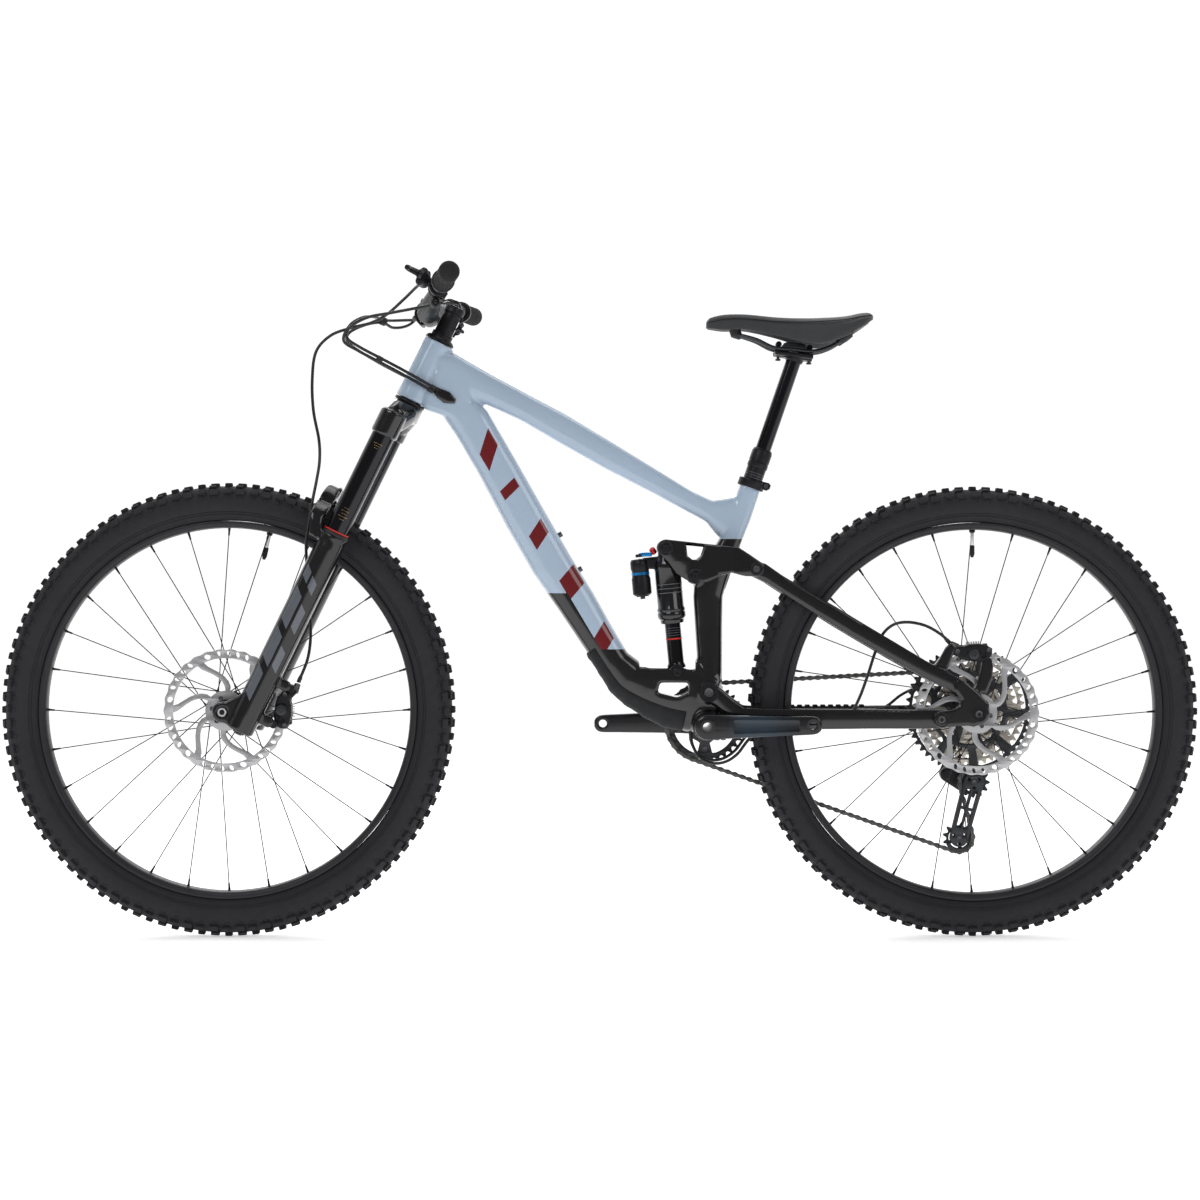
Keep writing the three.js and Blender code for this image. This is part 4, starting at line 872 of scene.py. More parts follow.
def spokes(word, axle, flanges):
    step = 360 / SPOKES_PER_SIDE
    sides = (("left", flanges[0], -4.0, 0.0), ("right", flanges[1], 4.0, step / 2))
    for side_word, flange_y, rim_y, offset in sides:
        shape = Shape("spoke_steel", "black_anodised")
        for i in range(SPOKES_PER_SIDE):
            way = 1 if i % 2 else -1
            start = i * step + offset
            end = start + way * 3 * step
            outward = 1.6 * way
            hub_point = around(axle, HUB_FLANGE_R - 3, start, flange_y + outward)
            rim_point = around(axle, NIPPLE_R + 1, end, rim_y)
            along = (hub_point - rim_point).normalized()
            elbow = around(axle, HUB_FLANGE_R - 3, start, flange_y - outward * 1.3)
            thick_end, thin_start = hub_point.lerp(rim_point, 0.08), hub_point.lerp(rim_point, 0.12)
            path = [elbow, hub_point, thick_end, thin_start, rim_point]
            shape.add(sweep(path, [1.0, 1.0, 1.0, 0.85, 0.85], 8))
            shape.add(rod(rim_point, rim_point + along * 5, 2.3, 10, 2.0), 1)
            shape.add(rod(rim_point + along * 5, rim_point + along * 13, 1.8, 10, 1.5), 1)
            shape.add(lathe([(0, 0), (1.9, 0), (1.6, 1.2), (0, 1.4)], elbow, (0, -way, 0), 10))
        name, node = f"{word}_spokes_and_nipples_{side_word}", f"{word}_spokes_{side_word}"
        shape.piece(name, f"{word}_wheel", "spoke_steel", [node], sharp=60)


def rotor_window(axle, outer_from, outer_to, inner_from, inner_to, outer_r, inner_r):
    """A gap between two curved arms."""
    points = arc(axle, outer_r, outer_from, outer_to, 8)
    sides = 7
    edges = ((outer_to, inner_to, outer_r, inner_r), (inner_from, outer_from, inner_r, outer_r))
    for start, end, near, far in edges:
        if near < far:
            points += arc(axle, inner_r, inner_to, inner_from, 5)
        for share in [k / sides for k in range(1, sides)]:
            points.append(point_at(axle, near + (far - near) * share, start + (end - start) * eased(share)))
    return points


def oval(axle, radius, angle, long, short, slant):
    """A slanted oval hole at a radius and an angle."""
    x, z = point_at(axle, radius, angle)
    lean = math.radians(angle) + math.radians(slant)
    c, s = math.cos(lean), math.sin(lean)
    points = []
    for k in range(12):
        a = 2 * math.pi * k / 12
        u, v = long * math.cos(a), short * math.sin(a)
        points.append((x + u * c - v * s, z + u * s + v * c))
    return points


ROTOR_R, ROTOR_WAVE, ROTOR_LOBES, EDGE_STEPS = 100.4, 0.9, 30, 240
ROTOR_BOLT_R, ROTOR_HALF = 22, 0.9


def wheel_rotor(word, axle, y):
    """A six-bolt disc: waved edge, slots in groups of four, and curved arms."""
    edge = []
    for i in range(EDGE_STEPS):
        a = 2 * math.pi * i / EDGE_STEPS
        radius = ROTOR_R + ROTOR_WAVE * math.cos(ROTOR_LOBES * a)
        edge.append((axle[0] + radius * math.cos(a), axle[1] + radius * math.sin(a)))
    holes = [circle(axle, 17.5, 36)]
    for sector in range(6):
        s = sector * 60
        for k in range(4):
            holes.append(oval(axle, 93.6, s + 8 + k * 9.4, 4.6, 2.7, 28))
        holes.append(oval(axle, 92.4, s + 48.5, 5.2, 4.0, 60))
        holes.append(rotor_window(axle, s + 2, s + 54, s - 30, s + 16, 86.0, 33.0))
    shape = Shape(f"{word}_rotor_steel", "bolt_steel", "black_anodised")
    shape.add(plate(edge, y - ROTOR_HALF, y + ROTOR_HALF, holes, bevel=0.15))
    for sector in range(6):
        spot = around(axle, ROTOR_BOLT_R, sector * 60 + 50, y - ROTOR_HALF)
        shape.add(bolt(spot, (0, -1, 0), 3.6, 1.8, 1.8), 1)
    carrier = [(17.0, 1.0), (24.5, 1.0), (24.5, 5.0), (17.0, 6.0)]
    shape.add(turned(carrier, axle, 48, y=y), 2)
    shape.piece(f"{word}_disc_rotor", f"{word}_wheel", "rotor_steel", [f"{word}_rotor"], sharp=35)


def wheel_hub(word, axle, profile, flanges):
    shape = Shape("black_anodised")
    shape.add(turned(profile, axle, 64))
    for flange_y in flanges:
        for i in range(SPOKES_PER_SIDE):
            angle = i * 360 / SPOKES_PER_SIDE
            seat = around(axle, HUB_FLANGE_R - 3, angle, flange_y)
            shape.add(rod(seat - Vector((0, 2.3, 0)), seat + Vector((0, 2.3, 0)), 2.6, 10))
    shape.piece(f"{word}_wheel_hub", f"{word}_wheel", "black_anodised", [f"{word}_hub"], bevel=0.4, sharp=30)


FRONT_HUB_PROFILE = [
    (7.9, -55), (12.5, -55), (12.5, -50), (15.5, -47), (15.5, -42), (20, -41), (20, -36), (23, -33),
    (27.5, -32), (28, -31), (28, -29), (27.5, -28), (21, -27), (15.5, -22), (14.4, -10), (14.4, 12),
    (15.5, 26), (21, 32), (27.5, 33), (28, 34), (28, 36), (27.5, 37), (22, 39), (15, 43), (12.5, 49),
    (12.5, 55), (7.9, 55),
]
REAR_HUB_PROFILE = [
    (6.4, -74), (12, -74), (12, -66), (15.5, -62), (15.5, -56), (20, -55), (20, -44), (23, -39), (27.5, -37),
    (28, -36), (28, -34), (27.5, -33), (20, -31), (17, -26), (16.4, -10), (17, 10), (20, 17), (27.5, 20),
    (28, 21), (28, 23), (27.5, 24), (20, 26), (17.2, 29), (17.2, 72), (12, 74), (6.4, 74),
]

for word, axle, outer_r, flanges, profile, rotor_y, valve_angle in (
    ("front", FRONT_AXLE, FRONT_TYRE_R, (-30, 35), FRONT_HUB_PROFILE, FRONT_ROTOR_Y, 77),
    ("rear", REAR_AXLE, REAR_TYRE_R, (-35, 22), REAR_HUB_PROFILE, REAR_ROTOR_Y, 90),
):
    tyre(word, axle, outer_r)
    wheel_rim(word, axle, valve_angle)
    spokes(word, axle, flanges)
    wheel_rotor(word, axle, rotor_y)
    wheel_hub(word, axle, profile, flanges)

# ------------------------------------------------------------------ chain drive

PITCH = 12.7
COG_TEETH = [51, 45, 39, 33, 28, 24, 21, 18, 16, 14, 12, 10]
COG_SPACING, CHAIN_COG = 2.95, 3
LARGEST_COG_Y = CHAIN_Y - CHAIN_COG * COG_SPACING

CHAIN_CIRCLES = [
    (BOTTOM_BRACKET, CHAINRING_PITCH_R, 1),
    (REAR_AXLE, COG_PITCH_R, 1),
    (UPPER_PULLEY, PULLEY_PITCH_R, -1),
    (LOWER_PULLEY, PULLEY_PITCH_R, 1),
]


def chain_path():
    """Points, (x, z), of the chain's line round its four wheels; way 1 turns clockwise as drawn."""
    count = len(CHAIN_CIRCLES)
    headings = []
    for i, (at, r, way) in enumerate(CHAIN_CIRCLES):
        next_at, next_r, next_way = CHAIN_CIRCLES[(i + 1) % count]
        dx, dz = next_at[0] - at[0], next_at[1] - at[1]
        headings.append(math.atan2(dz, dx) - math.asin((way * r - next_way * next_r) / math.hypot(dx, dz)))
    points = []
    for i, (at, r, way) in enumerate(CHAIN_CIRCLES):
        start = math.degrees(headings[i - 1]) + 90 * way
        end = math.degrees(headings[i]) + 90 * way
        while (start - end) * way < 0:
            end -= 360 * way
        while (start - end) * way > 360:
            end += 360 * way
        points += arc(at, r, start, end, max(2, round(abs(start - end) / 2)))
    return points


def roller_centres():
    """Equally spaced points along the chain's line, a whole even number of links."""
    path = chain_path()
    path.append(path[0])
    lengths = [math.dist(a, b) for a, b in zip(path, path[1:])]
    total = sum(lengths)
    count = 2 * round(total / PITCH / 2)
    step, centres, walked, index = total / count, [], 0.0, 0
    for k in range(count):
        target = k * step
        while walked + lengths[index] < target:
            walked += lengths[index]
            index += 1
        share = (target - walked) / lengths[index]
        centres.append(mix(path[index], path[index + 1], share))
    return centres


ROLLERS = roller_centres()


def tooth_phase(centre):
    """The angle of a roller that sits on the wheel at centre, so that its teeth meet the chain."""
    radius = next(r for at, r, _ in CHAIN_CIRCLES if at == centre)
    nearest = min(ROLLERS, key=lambda p: abs(math.dist(p, centre) - radius))
    return math.degrees(math.atan2(nearest[1] - centre[1], nearest[0] - centre[0]))


def pitch_radius(teeth):
    return PITCH / (2 * math.sin(math.pi / teeth))


def toothed(centre, teeth, phase, tall=1.0):
    """The outline of a sprocket; at the phase angle there is a gap between teeth."""
    pitch_r = pitch_radius(teeth)
    shape = [(0.0, -3.9), (0.16, -3.3), (0.27, -0.6), (0.40, 2.3 * tall), (0.5, 2.9 * tall)]
    steps = shape + [(1 - share, rise) for share, rise in reversed(shape[1:-1])]
    points = []
    for tooth in range(teeth):
        for share, rise in steps:
            points.append(point_at(centre, pitch_r + rise, phase + (tooth + share) * 360 / teeth))
    return points


def kidney(centre, inner_r, outer_r, start, end, steps=6):
    """A gap between two arms of a wheel, its corners cut."""
    trim = (end - start) * 0.10
    far, near = outer_r * 0.94 + inner_r * 0.06, inner_r * 0.90 + outer_r * 0.10
    return [
        *arc(centre, outer_r, start + trim, end - trim, steps),
        point_at(centre, far, end),
        point_at(centre, near, end),
        *arc(centre, inner_r, end - trim * 1.4, start + trim * 1.4, steps),
        point_at(centre, near, start),
        point_at(centre, far, start),
    ]


def cassette():
    shape = Shape("cassette_steel", "black_anodised", "dark_metal")
    phase = tooth_phase(REAR_AXLE)
    for number, teeth in enumerate(COG_TEETH):
        y = LARGEST_COG_Y + number * COG_SPACING
        pitch_r = pitch_radius(teeth)
        holes = [circle(REAR_AXLE, 17.6, 36)]
        if teeth >= 24:
            gaps = 9 if teeth > 40 else 7 if teeth > 30 else 6
            inner = pitch_r * 0.62 if teeth > 40 else pitch_r * 0.60
            for k in range(gaps):
                start = k * 360 / gaps + number * 7
                holes.append(kidney(REAR_AXLE, inner, pitch_r - 8.5, start, start + 360 / gaps - 10))
                if teeth > 30:
                    holes.append(kidney(REAR_AXLE, 30, inner - 6, start + 14, start + 360 / gaps - 2))
        look = 2 if number == 0 else 0
        shape.add(plate(toothed(REAR_AXLE, teeth, phase), y - 0.9, y + 0.9, holes, bevel=0.2), look)
    sleeve = [(17.5, -1), (26, -1), (24, 12), (17.5, 30)]
    shape.add(turned(sleeve, REAR_AXLE, 48, LARGEST_COG_Y), 1)
    lock_y = LARGEST_COG_Y + 11 * COG_SPACING + 0.9
    ring = [(11, lock_y), (17, lock_y), (16.5, lock_y + 1.8), (11, lock_y + 1.8)]
    shape.add(turned(ring, REAR_AXLE, 40), 1)
    shape.piece("cassette_cogs", "cassette", "cassette_steel", ["cassette"], sharp=30)


def chainring():
    shape = Shape("dark_metal", "bolt_steel")
    holes = [circle(BOTTOM_BRACKET, 15.2, 36)]
    for k in range(4):
        start = k * 90 + 14
        holes.append(kidney(BOTTOM_BRACKET, 33, 53, start, start + 62, 8))
        holes.append(circle(point_at(BOTTOM_BRACKET, 44, k * 90), 3.2, 16))
    outline = toothed(BOTTOM_BRACKET, 32, tooth_phase(BOTTOM_BRACKET), 1.15)
    shape.add(plate(outline, CHAIN_Y - 1.5, CHAIN_Y + 1.5, holes, bevel=0.4))
    for k in range(4):
        x, z = point_at(BOTTOM_BRACKET, 44, k * 90)
        shape.add(bolt((x, CHAIN_Y + 1.4, z), (0, 1, 0), 5, 2.2, 2.4), 1)
        shape.add(bolt((x, CHAIN_Y - 1.4, z), (0, -1, 0), 5, 1.2, 2.4), 1)
    shape.piece("chainring_and_bolts", "crank", "chain_steel", ["chainring"], sharp=30)


LINK_END_R, LINK_WAIST_R = 4.1, 2.5


def link_outline(a, b, end_r, waist_r):
    """A chain plate: two round ends and a waist."""
    heading = math.degrees(math.atan2(b[1] - a[1], b[0] - a[0]))
    middle = ((a[0] + b[0]) / 2, (a[1] + b[1]) / 2)
    waist = [point_at(middle, reach, heading + 90) for reach in (waist_r, -waist_r)]
    points = arc(b, end_r, heading - 105, heading + 105, 7)
    points.append(waist[0])
    points += arc(a, end_r, heading + 75, heading + 285, 7)
    points.append(waist[1])
    return points


def link_plate(a, b, low, high):
    """A thin chain plate, its edges chamfered, as one closed body."""
    outline = link_outline(a, b, LINK_END_R, LINK_WAIST_R)
    middle = Vector(((a[0] + b[0]) / 2, 0, (a[1] + b[1]) / 2))
    rings = []
    for y, share in ((low, 0.93), (low + 0.2, 1.0), (high - 0.2, 1.0), (high, 0.93)):
        rings.append([middle + (Vector((x, 0, z)) - middle) * share + Vector((0, y, 0)) for x, z in outline])
    return bridge(rings)


CHAIN_SPLIT_X = 400


def chain():
    """Links in two pieces: one runs from the frame to the chainstay, one from there to the seatstay."""
    pieces = {"front": Shape("chain_steel", "bolt_steel"), "rear": Shape("chain_steel", "bolt_steel")}
    count = len(ROLLERS)
    for i, a in enumerate(ROLLERS):
        b = ROLLERS[(i + 1) % count]
        target = pieces["front" if (a[0] + b[0]) / 2 < CHAIN_SPLIT_X else "rear"]
        near, far = (2.45, 3.25) if i % 2 else (1.55, 2.40)
        for side in (-1, 1):
            low, high = span(side, near, far)
            target.add(link_plate(a, b, CHAIN_Y + low, CHAIN_Y + high))
        target.add(pin(a, CHAIN_Y - 1.5, CHAIN_Y + 1.5, 3.85, 12, 0))
        target.add(pin(a, CHAIN_Y - 3.5, CHAIN_Y + 3.5, 1.8, 10, 0.2), 1)
    split = Vector((CHAIN_SPLIT_X, CHAIN_Y, 360)) * MM
    spans = {
        "front": ("frame", "chainstay", Vector((0.250, 0.0485, 0.36)), split - Vector((0.01, 0, 0))),
        "rear": ("chainstay", "seatstay", split + Vector((0.01, 0, 0)), Vector((0.560, 0.0485, 0.36))),
    }
    for word, shape in pieces.items():
        replaced = ["chain"] if word == "front" else []
        first, second, start, end = spans[word]
        obj = shape.piece(f"chain_{word}", None, "chain_steel", replaced, sharp=40)
        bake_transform(obj)
        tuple(start)
        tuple(end)


def pulley(name, centre, body):
    shape = Shape("black_plastic", "bolt_steel")
    holes = [circle(centre, 6.5, 24)]
    for k in range(5):
        holes.append(kidney(centre, 10, 17, k * 72, k * 72 + 50, 4))
    outline = toothed(centre, 12, tooth_phase(centre), 0.9)
    shape.add(plate(outline, CHAIN_Y - 1.2, CHAIN_Y + 1.2, holes, bevel=0.3))
    hub = [(3.4, -3.2), (7.5, -3.2), (8.5, -2.0), (8.5, 2.0), (7.5, 3.2), (3.4, 3.2)]
    shape.add(turned(hub, centre, 28, y=CHAIN_Y), 1)
    shape.piece(f"{name}_wheel", body, "black_plastic", [name], sharp=30)


cassette()
chainring()
chain()
pulley("pulley_upper", UPPER_PULLEY, "pulley_upper")
pulley("pulley_lower", LOWER_PULLEY, "pulley_lower")

# ------------------------------------------------------------------ bodies that flow into each other


def moulded(adds, cuts=(), voxel=2.0, smooth=6):
    """Joins overlapping bodies into one skin with rounded joints, after cutting away others."""
    objects = [new_object("temporary", *body) for body in adds]
    base = objects[0]
    cutters = [new_object("temporary", *body) for body in cuts]
    for operation, others in (("UNION", objects[1:]), ("DIFFERENCE", cutters)):
        for other in others:
            step = base.modifiers.new("step", "BOOLEAN")
            step.operation = operation
            step.solver = "EXACT"
            step.object = other
    remesh = base.modifiers.new("remesh", "REMESH")
    remesh.mode = "VOXEL"
    remesh.voxel_size = voxel * MM
    soften = base.modifiers.new("smooth", "SMOOTH")
    soften.factor = 0.5
    soften.iterations = smooth
    depsgraph = bpy.context.evaluated_depsgraph_get()
    mesh = bpy.data.meshes.new_from_object(base.evaluated_get(depsgraph))
    verts = [v.co / MM for v in mesh.vertices]
    faces = [tuple(face.vertices) for face in mesh.polygons]
    bpy.data.meshes.remove(mesh)
    for obj in [*objects, *cutters]:
        bpy.data.objects.remove(obj)
    return verts, faces


def squared(angle, power):
    """An angle's cosine and sine, pushed out towards the corners of a square."""
    c, s = math.cos(angle), math.sin(angle)
    return math.copysign(abs(c) ** (2 / power), c), math.copysign(abs(s) ** (2 / power), s)


def oval_ring(centre, up, across, power=2.6, count=28):
    """A rounded-square ring: up and across are its half axes as vectors."""
    ring = []
    for k in range(count):
        u, v = squared(2 * math.pi * k / count, power)
        ring.append(centre + up * u + across * v)
    return ring


def tube_between(stations, power=2.6):
    """A frame tube through stations of (top point, bottom point, half width), points as (x, z)."""
    rings = []
    for top, bottom, half in stations:
        a, b = Vector((top[0], 0, top[1])), Vector((bottom[0], 0, bottom[1]))
        rings.append(oval_ring((a + b) / 2, (a - b) / 2, Vector((0, half, 0)), power))
    return bridge(rings)


STAY_POWER = 3.4


def stay_between(stations, side):
    """A stay through stations of (x, low z, high z, inner y, outer y), on one side."""
    rings = []
    for x, low, high, inner, outer in stations:
        centre = Vector((x, side * (inner + outer) / 2, (low + high) / 2))
        up, out = Vector((0, 0, (high - low) / 2)), Vector((0, (outer - inner) / 2, 0))
        rings.append(oval_ring(centre, up, out, STAY_POWER, 20))
    return bridge(rings)


def smooth_rows(rows, per):
    """Rows of numbers filled in smoothly between the given ones."""
    padded = [rows[0], *rows, rows[-1]]
    found = []
    for a, b, c, d in zip(padded, padded[1:], padded[2:], padded[3:]):
        for i in range(per):
            found.append(tuple(curve_step(*four, i / per) for four in zip(a, b, c, d)))
    found.append(rows[-1])
    return found


def on_steerer(up):
    return STEER_ORIGIN + STEER_UP * up


def on_seat_line(up):
    return SEAT_TOP + SEAT_DIRECTION * up


def on_shock(up):
    low, high = Vector((SHOCK_LOW[0], 0, SHOCK_LOW[1])), Vector((SHOCK_TOP[0], 0, SHOCK_TOP[1]))
    return low + (high - low).normalized() * up


# ------------------------------------------------------------------ front triangle

DOWN_TUBE_POWER = 2.9
DOWN_TUBE = [
    ((-262, 930), (-285, 880), 23.5), ((-222, 902), (-262, 862), 25), ((-185, 866), (-236, 824), 26),
    ((-140, 789), (-199, 760), 27), ((-90, 701), (-154, 675), 28.5), ((-44, 621), (-110, 598), 29.5),
    ((-10, 566), (-68, 538), 30), ((20, 512), (-28, 478), 31), ((46, 468), (0, 436), 31.5),
    ((70, 450), (24, 400), 31.5), ((104, 451), (62, 371), 31.5), ((138, 456), (102, 349), 31),
    ((166, 455), (142, 338), 29.5), ((199, 440), (192, 336), 28.5),
]
TOP_TUBE = [
    ((-262, 962), (-268, 922), 24.5), ((-240, 963), (-252, 905), 25), ((-208, 944), (-222, 885), 24),
    ((-175, 925), (-186, 876), 21.5), ((-116, 893), (-128, 849), 20.5), ((-58, 862), (-70, 815), 19.5),
    ((20, 815), (6, 772), 18), ((100, 766), (88, 730), 17), ((150, 735), (140, 702), 16.5),
    ((184, 719), (174, 684), 16.5), ((212, 723), (192, 662), 17), ((236, 728), (212, 648), 17),
]
# Fills the corner between the head tube, the top tube and the down tube.
HEAD_GUSSET = [
    (-292, 874), (-286, 867), (-270, 862), (-253, 856), (-238, 846), (-222, 862), (-210, 884), (-214, 912),
    (-232, 934), (-258, 944), (-272, 930), (-288, 892),
]
SEAT_TUBE = [
    ((264.5, 732.5), (230.5, 744.2), 18), ((248, 684), (214, 696), 18), ((233, 645), (197, 656), 18.3),
    ((223, 618), (175, 622), 18.8), ((212, 590), (156, 588), 19), ((203, 560), (154, 560), 19),
    ((202, 510), (157, 510), 19.5), ((202, 462), (160, 462), 22), ((202, 424), (160, 424), 26),
    ((200, 380), (150, 380), 28.5),
]


def front_triangle():
    adds = [
        tube_between(DOWN_TUBE, DOWN_TUBE_POWER),
        tube_between(TOP_TUBE, 2.7),
        tube_between(SEAT_TUBE, 2.6),
        rod(on_steerer(0.3), on_steerer(HEAD_TUBE_LENGTH - 0.3), 27, 48, 25.5),
        rod(on_seat_line(-60), on_seat_line(14.5), 18, 40),
        pin(BOTTOM_BRACKET, -36.2, 36.2, 24, 48, 0),
        pin(MAIN_PIVOT, -30, 30, 17, 40, 0),
        pin(ROCKER_PIVOT, -18.9, 18.9, 15, 40, 0),
        plate(HEAD_GUSSET, -24.5, 24.5, bevel=7),
    ]
    cuts = [
        rod(on_steerer(-5), on_steerer(HEAD_TUBE_LENGTH + 5), 21, 40),
        rod(on_seat_line(-120), on_seat_line(30), 16.3, 36),
        pin(BOTTOM_BRACKET, -60, 60, 20.9, 40, 0),
        pin(ROCKER_PIVOT, -60, 60, 8.5, 32, 0),
        plate([(66, 420), (157, 420), (157, 482), (66, 482)], -24.5, 24.5, bevel=0.1),
        plate([(95, 403), (127, 395), (147, 404), (145, 419), (99, 419)], -60, 60, bevel=0.1),
    ]
    shape = Shape("frame_paint", "bolt_steel", "black_anodised")
    shape.add(moulded(adds, cuts, voxel=2.1, smooth=10))
    for x, z in ((-64, 663), (-31, 606)):
        centre = Vector((x, 0, z)) - Vector((0.869, 0, 0.494)) * 5.0
        shape.add(bolt(centre, (0.869, 0, 0.494), 4.6, 7.0, 2.4), 1)
    for side in (-1, 1):
        shape.add(bolt((SHOCK_LOW[0], side * 29.5, SHOCK_LOW[1]), (0, side, 0), 7.5, 2.6, 3.2), 2)
    shape.piece("front_triangle_shell", "frame", "frame_paint", ["front_triangle"], sharp=60)


def cable_ports():
    """A sealed oval cable entry on each side behind the head tube."""
    shape = Shape("black_gloss")
    outline = [
        (-275, 903), (-269, 905), (-246, 896), (-236, 884), (-238, 877), (-256, 878), (-266, 886),
        (-276, 899),
    ]
    for side in (-1, 1):
        shape.add(plate(outline, *span(side, 21, 28.8), bevel=2.2))
    shape.piece("cable_ports", "frame", "frame_paint", sharp=50)


GUARD_START, GUARD_END = ((26, 500.5), (-21, 467.5), 31.1), ((160, 455), (136, 340), 30)
GUARD_PROUD, GUARD_RIB, GUARD_SUNK, GUARD_HALF_TURN = 2.4, 0.9, 3.0, 72


def downtube_guard():
    """A moulded guard that wraps the underside of the down tube, with shallow ribs across it."""
    rows = [GUARD_START, *DOWN_TUBE[8:12], GUARD_END]
    rows = smooth_rows([(*top, *bottom, half) for top, bottom, half in rows], 8)
    rings = []
    for i, (top_x, top_z, low_x, low_z, half) in enumerate(rows):
        centre = Vector(((top_x + low_x) / 2, 0, (top_z + low_z) / 2))
        up = Vector((top_x - low_x, 0, top_z - low_z)) / 2
        edge = i in (0, len(rows) - 1)
        rib = GUARD_RIB if i % 6 in (2, 3) else 0.0
        outer, inner = [], []
        for k in range(21):
            angle = math.radians(180 - GUARD_HALF_TURN + GUARD_HALF_TURN * k / 10)
            u, v = squared(angle, DOWN_TUBE_POWER)
            proud = 0.6 if edge or k in (0, 20) else GUARD_PROUD + rib
            for ring, grow in ((outer, proud), (inner, -GUARD_SUNK)):
                ring.append(centre + up * (u * (1 + grow / up.length)) + Vector((0, v * (half + grow), 0)))
        rings.append(outer + inner[::-1])
    shape = Shape("guard_rubber")
    shape.add(bridge(rings))
    shape.piece("downtube_guard_moulding", "frame", "guard_rubber", ["downtube_guard"], sharp=60)


def bottom_bracket():
    shape = Shape("black_anodised")
    for side in (-1, 1):
        cup = [
            (14.9, 36.6), (22.3, 36.6), (22.3, 38.2), (21.6, 38.8), (21.6, 41.4), (20.6, 42.5), (14.9, 42.5),
        ]
        shape.add(turned([(r, side * y) for r, y in cup], BOTTOM_BRACKET, 56))
        for k in range(16):
            spot = point_at(BOTTOM_BRACKET, 21.9, k * 22.5)
            shape.add(pin(spot, *span(side, 38.6, 41.4), 1.3, 8, 0.2))
    shape.piece("bottom_bracket_cups", "frame", "black_anodised", ["bottom_bracket"], bevel=0.2, sharp=30)


def pivot_cap(shape, point, side, y, radius, look=0, bolt_look=1):
    """A turned pivot cap with a raised rim, a groove and a socket bolt in it."""
    cap = [
        (0, 0), (radius, 0), (radius, 1.3), (radius - 0.9, 2.1), (radius * 0.84, 2.1), (radius * 0.8, 1.5),
        (radius * 0.7, 1.5), (radius * 0.66, 2.0), (radius * 0.58, 2.0), (radius * 0.55, 1.2), (0, 1.2),
    ]
    base = (point[0], side * y, point[1])
    shape.add(lathe(cap, base, (0, side, 0), 48), look)
    head = (point[0], side * (y + 0.9), point[1])
    shape.add(bolt(head, (0, side, 0), radius * 0.5, 1.4, radius * 0.27), bolt_look)


def main_pivot():
    shape = Shape("black_anodised", "bolt_steel")
    for side in (-1, 1):
        pivot_cap(shape, MAIN_PIVOT, side, 42.2, 16.5)
    shape.add(pin(MAIN_PIVOT, -42, 42, 6, 32, 0))
    shape.piece("main_pivot_bolts", "frame", "black_anodised", ["main_pivot_axle"], sharp=35)


def seat_collar():
    shape = Shape("black_anodised", "bolt_steel")
    low = on_seat_line(1)
    band = [(18.4, 0), (21.6, 0), (22, 0.8), (22, 12.4), (21.2, 13.3), (18.4, 13.3)]
    shape.add(lathe(band, low, SEAT_DIRECTION, 48))
    for side in (-1, 1):
        ear = [(264, 738), (275, 734.5), (280, 737), (282, 743), (279, 747), (267, 750)]
        shape.add(plate(ear, *span(side, 1.2, 7), bevel=0.8))
        shape.add(bolt((273.4, side * 6.6, 742), (0, side, 0), 3.8, 3.0, 1.9), 1)
    shape.piece("seat_collar_clamp", "frame", "black_anodised", ["seat_collar"], bevel=0.3, sharp=30)


def dropper_outer():
    shape = Shape("black_anodised", "grey_print")
    tube = [(13.1, -170), (15.8, -170), (15.8, 40), (13.1, 40)]
    shape.add(lathe(tube, SEAT_TOP, SEAT_DIRECTION, 40))
    head = [
        (13.1, 36), (16.4, 36), (17, 37), (17, 44), (16.3, 44.6), (16.3, 46), (17, 46.6), (17, 62), (16, 66),
        (14.2, 68.5), (13.1, 68.5),
    ]
    shape.add(lathe(head, SEAT_TOP, SEAT_DIRECTION, 48))
    for up in (18, 22, 26):
        mark = [(15.7, up), (15.9, up), (15.9, up + 0.7), (15.7, up + 0.7)]
        shape.add(lathe(mark, SEAT_TOP, SEAT_DIRECTION, 40), 1)
    shape.piece("dropper_post_outer", "frame", "black_anodised", ["dropper_outer"], sharp=35)


front_triangle()
cable_ports()
downtube_guard()
bottom_bracket()
main_pivot()
seat_collar()
dropper_outer()

# ------------------------------------------------------------------ rear suspension

CHAINSTAY = [
    (164, 397, 412, 32.0, 41.0), (168, 391, 418, 30.8, 41.8), (178, 386.5, 420.5, 30.4, 42),
    (190, 379, 418, 30.6, 42), (204, 364, 406, 31.5, 42), (220, 349, 392, 33, 42),
    (238, 342.5, 379.5, 34, 42), (262, 342.5, 378, 34.8, 43), (330, 343.5, 377.5, 37, 49.5),
    (380, 344, 377.5, 41.5, 53.5), (430, 345, 377.5, 46, 57.8), (470, 345.5, 377.5, 53.5, 65.5),
    (505, 346, 377.5, 61, 73), (545, 346.3, 377.8, 61.2, 73.2), (558, 347, 377, 61.2, 73.2),
    (566, 350.5, 373.5, 62, 72.6), (569.5, 356, 368, 64, 71),
]


